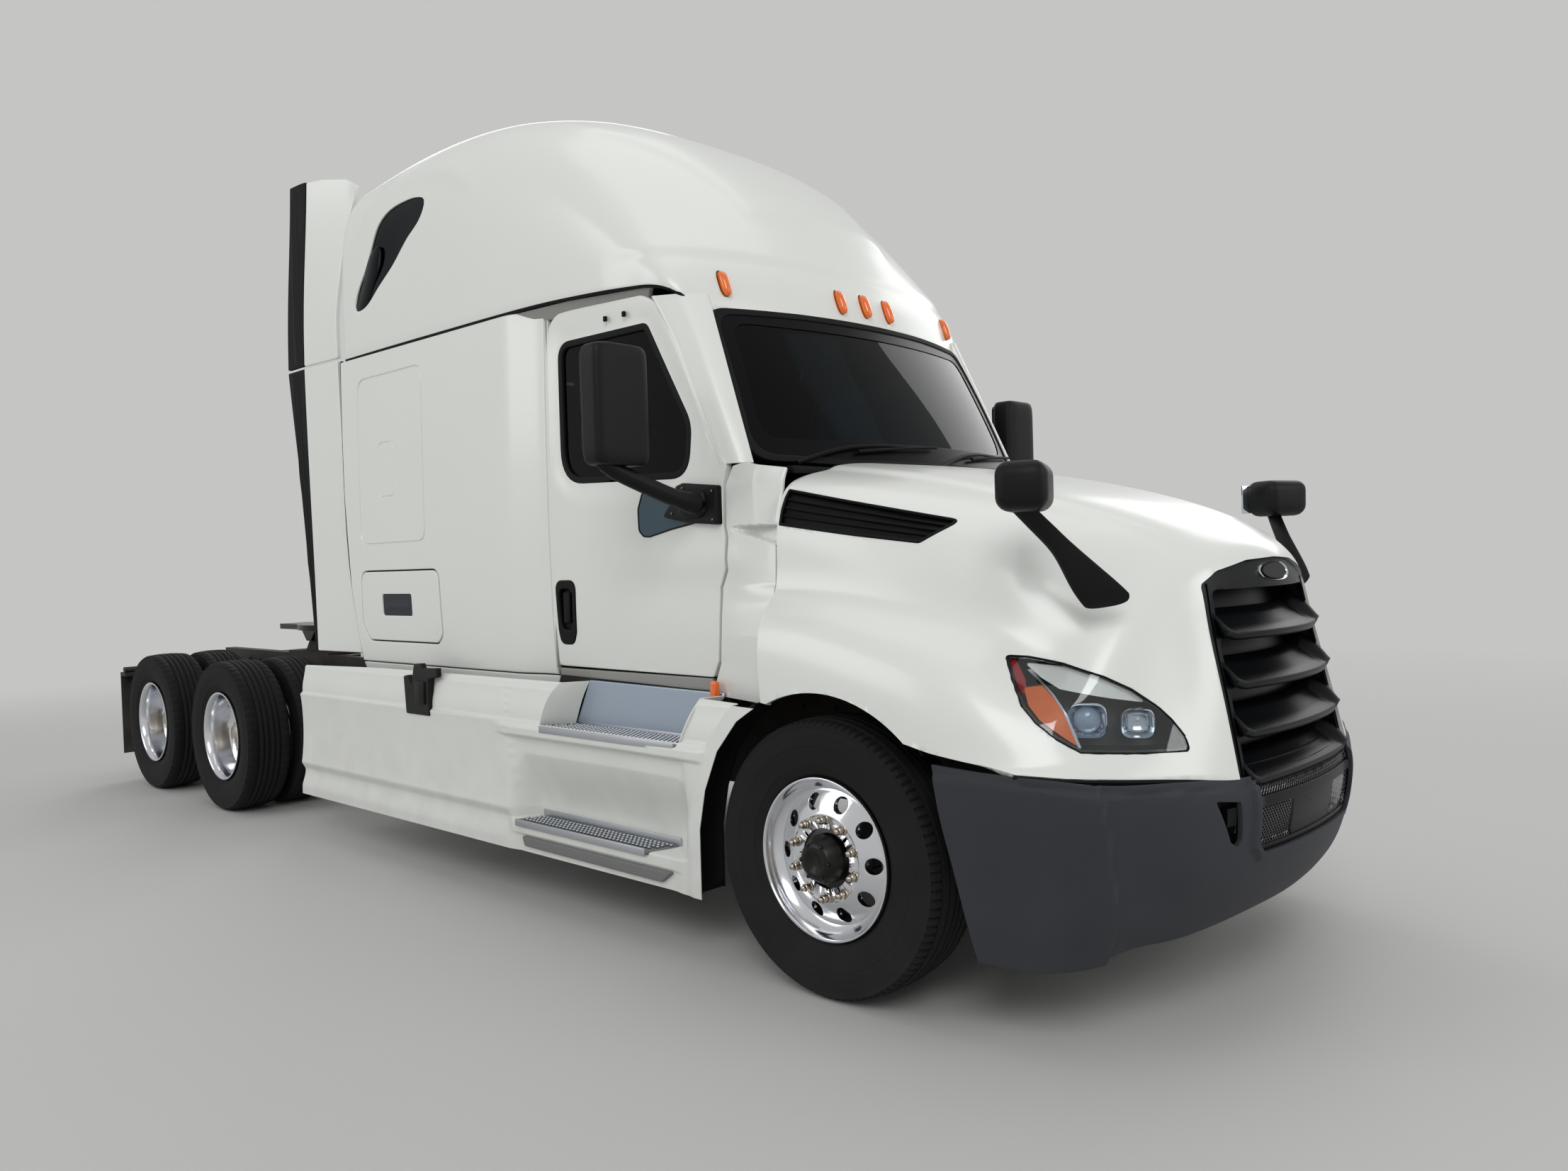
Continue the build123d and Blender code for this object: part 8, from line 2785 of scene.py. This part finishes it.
class TractorCabBackOperator(TractorOperator, bpy.types.Operator):
    """Builds the back wall of the sleeper"""

    bl_idname = "tractor.cab_back"
    bl_label = "Build Sleeper Back"

    def execute(self, context):
        build_cab_back()
        return {"FINISHED"}


class TractorExtendersOperator(TractorOperator, bpy.types.Operator):
    """Builds the side extenders and their rubber edges"""

    bl_idname = "tractor.extenders"
    bl_label = "Build Side Extenders"

    def execute(self, context):
        build_extenders()
        return {"FINISHED"}


class TractorSillsOperator(TractorOperator, bpy.types.Operator):
    """Builds the sills under the doors"""

    bl_idname = "tractor.sills"
    bl_label = "Build Sills"

    def execute(self, context):
        build_sills()
        return {"FINISHED"}


class TractorHoodOperator(TractorOperator, bpy.types.Operator):
    """Builds the hood with its vents and nose plate"""

    bl_idname = "tractor.hood"
    bl_label = "Build Hood"

    def execute(self, context):
        build_hood(context.scene.tractor_hood)
        return {"FINISHED"}


class TractorHeadlampsOperator(TractorOperator, bpy.types.Operator):
    """Builds both headlamps"""

    bl_idname = "tractor.headlamps"
    bl_label = "Build Headlamps"

    def execute(self, context):
        build_headlamps()
        return {"FINISHED"}


class TractorGrilleOperator(TractorOperator, bpy.types.Operator):
    """Builds the grille and its blades"""

    bl_idname = "tractor.grille"
    bl_label = "Build Grille"

    def execute(self, context):
        build_grille()
        return {"FINISHED"}


class TractorHoodMirrorsOperator(TractorOperator, bpy.types.Operator):
    """Builds the mirrors on the hood"""

    bl_idname = "tractor.hood_mirrors"
    bl_label = "Build Hood Mirrors"

    def execute(self, context):
        build_hood_mirrors()
        return {"FINISHED"}


class TractorBumperOperator(TractorOperator, bpy.types.Operator):
    """Builds the bumper and the lower grille"""

    bl_idname = "tractor.bumper"
    bl_label = "Build Bumper"

    def execute(self, context):
        build_bumper(context.scene.tractor_bumper)
        return {"FINISHED"}


class TractorWheelsOperator(TractorOperator, bpy.types.Operator):
    """Builds the tyres, rims, nuts and hubs"""

    bl_idname = "tractor.wheels"
    bl_label = "Build Wheels"

    def execute(self, context):
        build_wheels(context.scene.tractor_wheels)
        return {"FINISHED"}


class TractorCowlOperator(TractorOperator, bpy.types.Operator):
    """Builds the cowl sides"""

    bl_idname = "tractor.cowl"
    bl_label = "Build Cowl"

    def execute(self, context):
        build_cowl(context.scene.tractor_cab)
        return {"FINISHED"}


class TractorDoorMirrorsOperator(TractorOperator, bpy.types.Operator):
    """Builds the mirrors on the doors"""

    bl_idname = "tractor.door_mirrors"
    bl_label = "Build Door Mirrors"

    def execute(self, context):
        build_door_mirrors()
        return {"FINISHED"}


class TractorSkirtsOperator(TractorOperator, bpy.types.Operator):
    """Builds the side skirts"""

    bl_idname = "tractor.skirts"
    bl_label = "Build Skirts"

    def execute(self, context):
        build_skirts()
        return {"FINISHED"}


class TractorStepsOperator(TractorOperator, bpy.types.Operator):
    """Builds the step treads and kick plates"""

    bl_idname = "tractor.steps"
    bl_label = "Build Steps"

    def execute(self, context):
        build_steps(context.scene.tractor_chassis)
        return {"FINISHED"}


class TractorRearOperator(TractorOperator, bpy.types.Operator):
    """Builds the tail lamps, bolts, straps and cleats"""

    bl_idname = "tractor.rear"
    bl_label = "Build Rear"

    def execute(self, context):
        build_rear(context.scene.tractor_chassis)
        return {"FINISHED"}


class TractorEngineBayOperator(TractorOperator, bpy.types.Operator):
    """Builds the covers, pipes and hoses round the engine"""

    bl_idname = "tractor.engine_bay"
    bl_label = "Build Engine Bay"

    def execute(self, context):
        build_engine_bay()
        return {"FINISHED"}


class TractorFloorOperator(TractorOperator, bpy.types.Operator):
    """Builds the floor pan and its mats"""

    bl_idname = "tractor.floor"
    bl_label = "Build Cab Floor"

    def execute(self, context):
        build_floor()
        return {"FINISHED"}


class TractorSeatsOperator(TractorOperator, bpy.types.Operator):
    """Builds the seats and the bunk"""

    bl_idname = "tractor.seats"
    bl_label = "Build Seats"

    def execute(self, context):
        build_seats()
        return {"FINISHED"}


class TractorDashOperator(TractorOperator, bpy.types.Operator):
    """Builds the dashboard and steering wheel"""

    bl_idname = "tractor.dash"
    bl_label = "Build Dashboard"

    def execute(self, context):
        build_dash(context.scene.tractor_inside)
        return {"FINISHED"}


class TractorCarriedOperator(TractorOperator, bpy.types.Operator):
    """Gives the frame, axles and engine their finishes"""

    bl_idname = "tractor.carried"
    bl_label = "Dress Chassis"

    def execute(self, context):
        dress_carried()
        return {"FINISHED"}


class TractorStageOperator(TractorOperator, bpy.types.Operator):
    """Builds the floor, the lamps and the camera"""

    bl_idname = "tractor.stage"
    bl_label = "Build Stage"

    def execute(self, context):
        build_stage(context.scene.tractor_stage)
        build_camera(context.scene.tractor_stage)
        return {"FINISHED"}


SETTINGS = {
    "tractor_colours": TractorColours,
    "tractor_cab": TractorCab,
    "tractor_hood": TractorHood,
    "tractor_bumper": TractorBumper,
    "tractor_wheels": TractorWheels,
    "tractor_chassis": TractorChassis,
    "tractor_inside": TractorInside,
    "tractor_stage": TractorStage,
}
OPERATORS = (
    TractorFinishesOperator,
    TractorSleeperSidesOperator,
    TractorDoorsOperator,
    TractorRoofOperator,
    TractorMarkersOperator,
    TractorWindscreenOperator,
    TractorPillarsOperator,
    TractorCabBackOperator,
    TractorExtendersOperator,
    TractorSillsOperator,
    TractorHoodOperator,
    TractorHeadlampsOperator,
    TractorGrilleOperator,
    TractorHoodMirrorsOperator,
    TractorBumperOperator,
    TractorWheelsOperator,
    TractorCowlOperator,
    TractorDoorMirrorsOperator,
    TractorSkirtsOperator,
    TractorStepsOperator,
    TractorRearOperator,
    TractorEngineBayOperator,
    TractorFloorOperator,
    TractorSeatsOperator,
    TractorDashOperator,
    TractorCarriedOperator,
    TractorStageOperator,
)


class TractorPanel(bpy.types.Panel):
    """Lists the settings and the operators in order"""

    bl_idname = "VIEW3D_PT_tractor"
    bl_label = "Road Tractor"
    bl_space_type = "VIEW_3D"
    bl_region_type = "UI"
    bl_category = "Tractor"

    def draw(self, context):
        for key, group in SETTINGS.items():
            box = self.layout.box()
            box.label(text=key.replace("tractor_", "").title())
            for setting in group.__annotations__:
                box.prop(getattr(context.scene, key), setting)
        for operator in OPERATORS:
            self.layout.operator(operator.bl_idname)


def register():
    """Adds the classes, and the settings to the scene."""
    for kind in (*SETTINGS.values(), *OPERATORS, TractorPanel):
        bpy.utils.register_class(kind)
    for key, group in SETTINGS.items():
        setattr(bpy.types.Scene, key, bpy.props.PointerProperty(type=group))


def unregister():
    """Takes the settings and the classes away again."""
    for key in SETTINGS:
        delattr(bpy.types.Scene, key)
    for kind in reversed((*SETTINGS.values(), *OPERATORS, TractorPanel)):
        bpy.utils.unregister_class(kind)


def main():
    """Registers the classes and builds everything in order."""
    register()
    for operator in OPERATORS:
        group, name = operator.bl_idname.split(".")
        getattr(getattr(bpy.ops, group), name)()


if __name__ == "__main__":
    main()
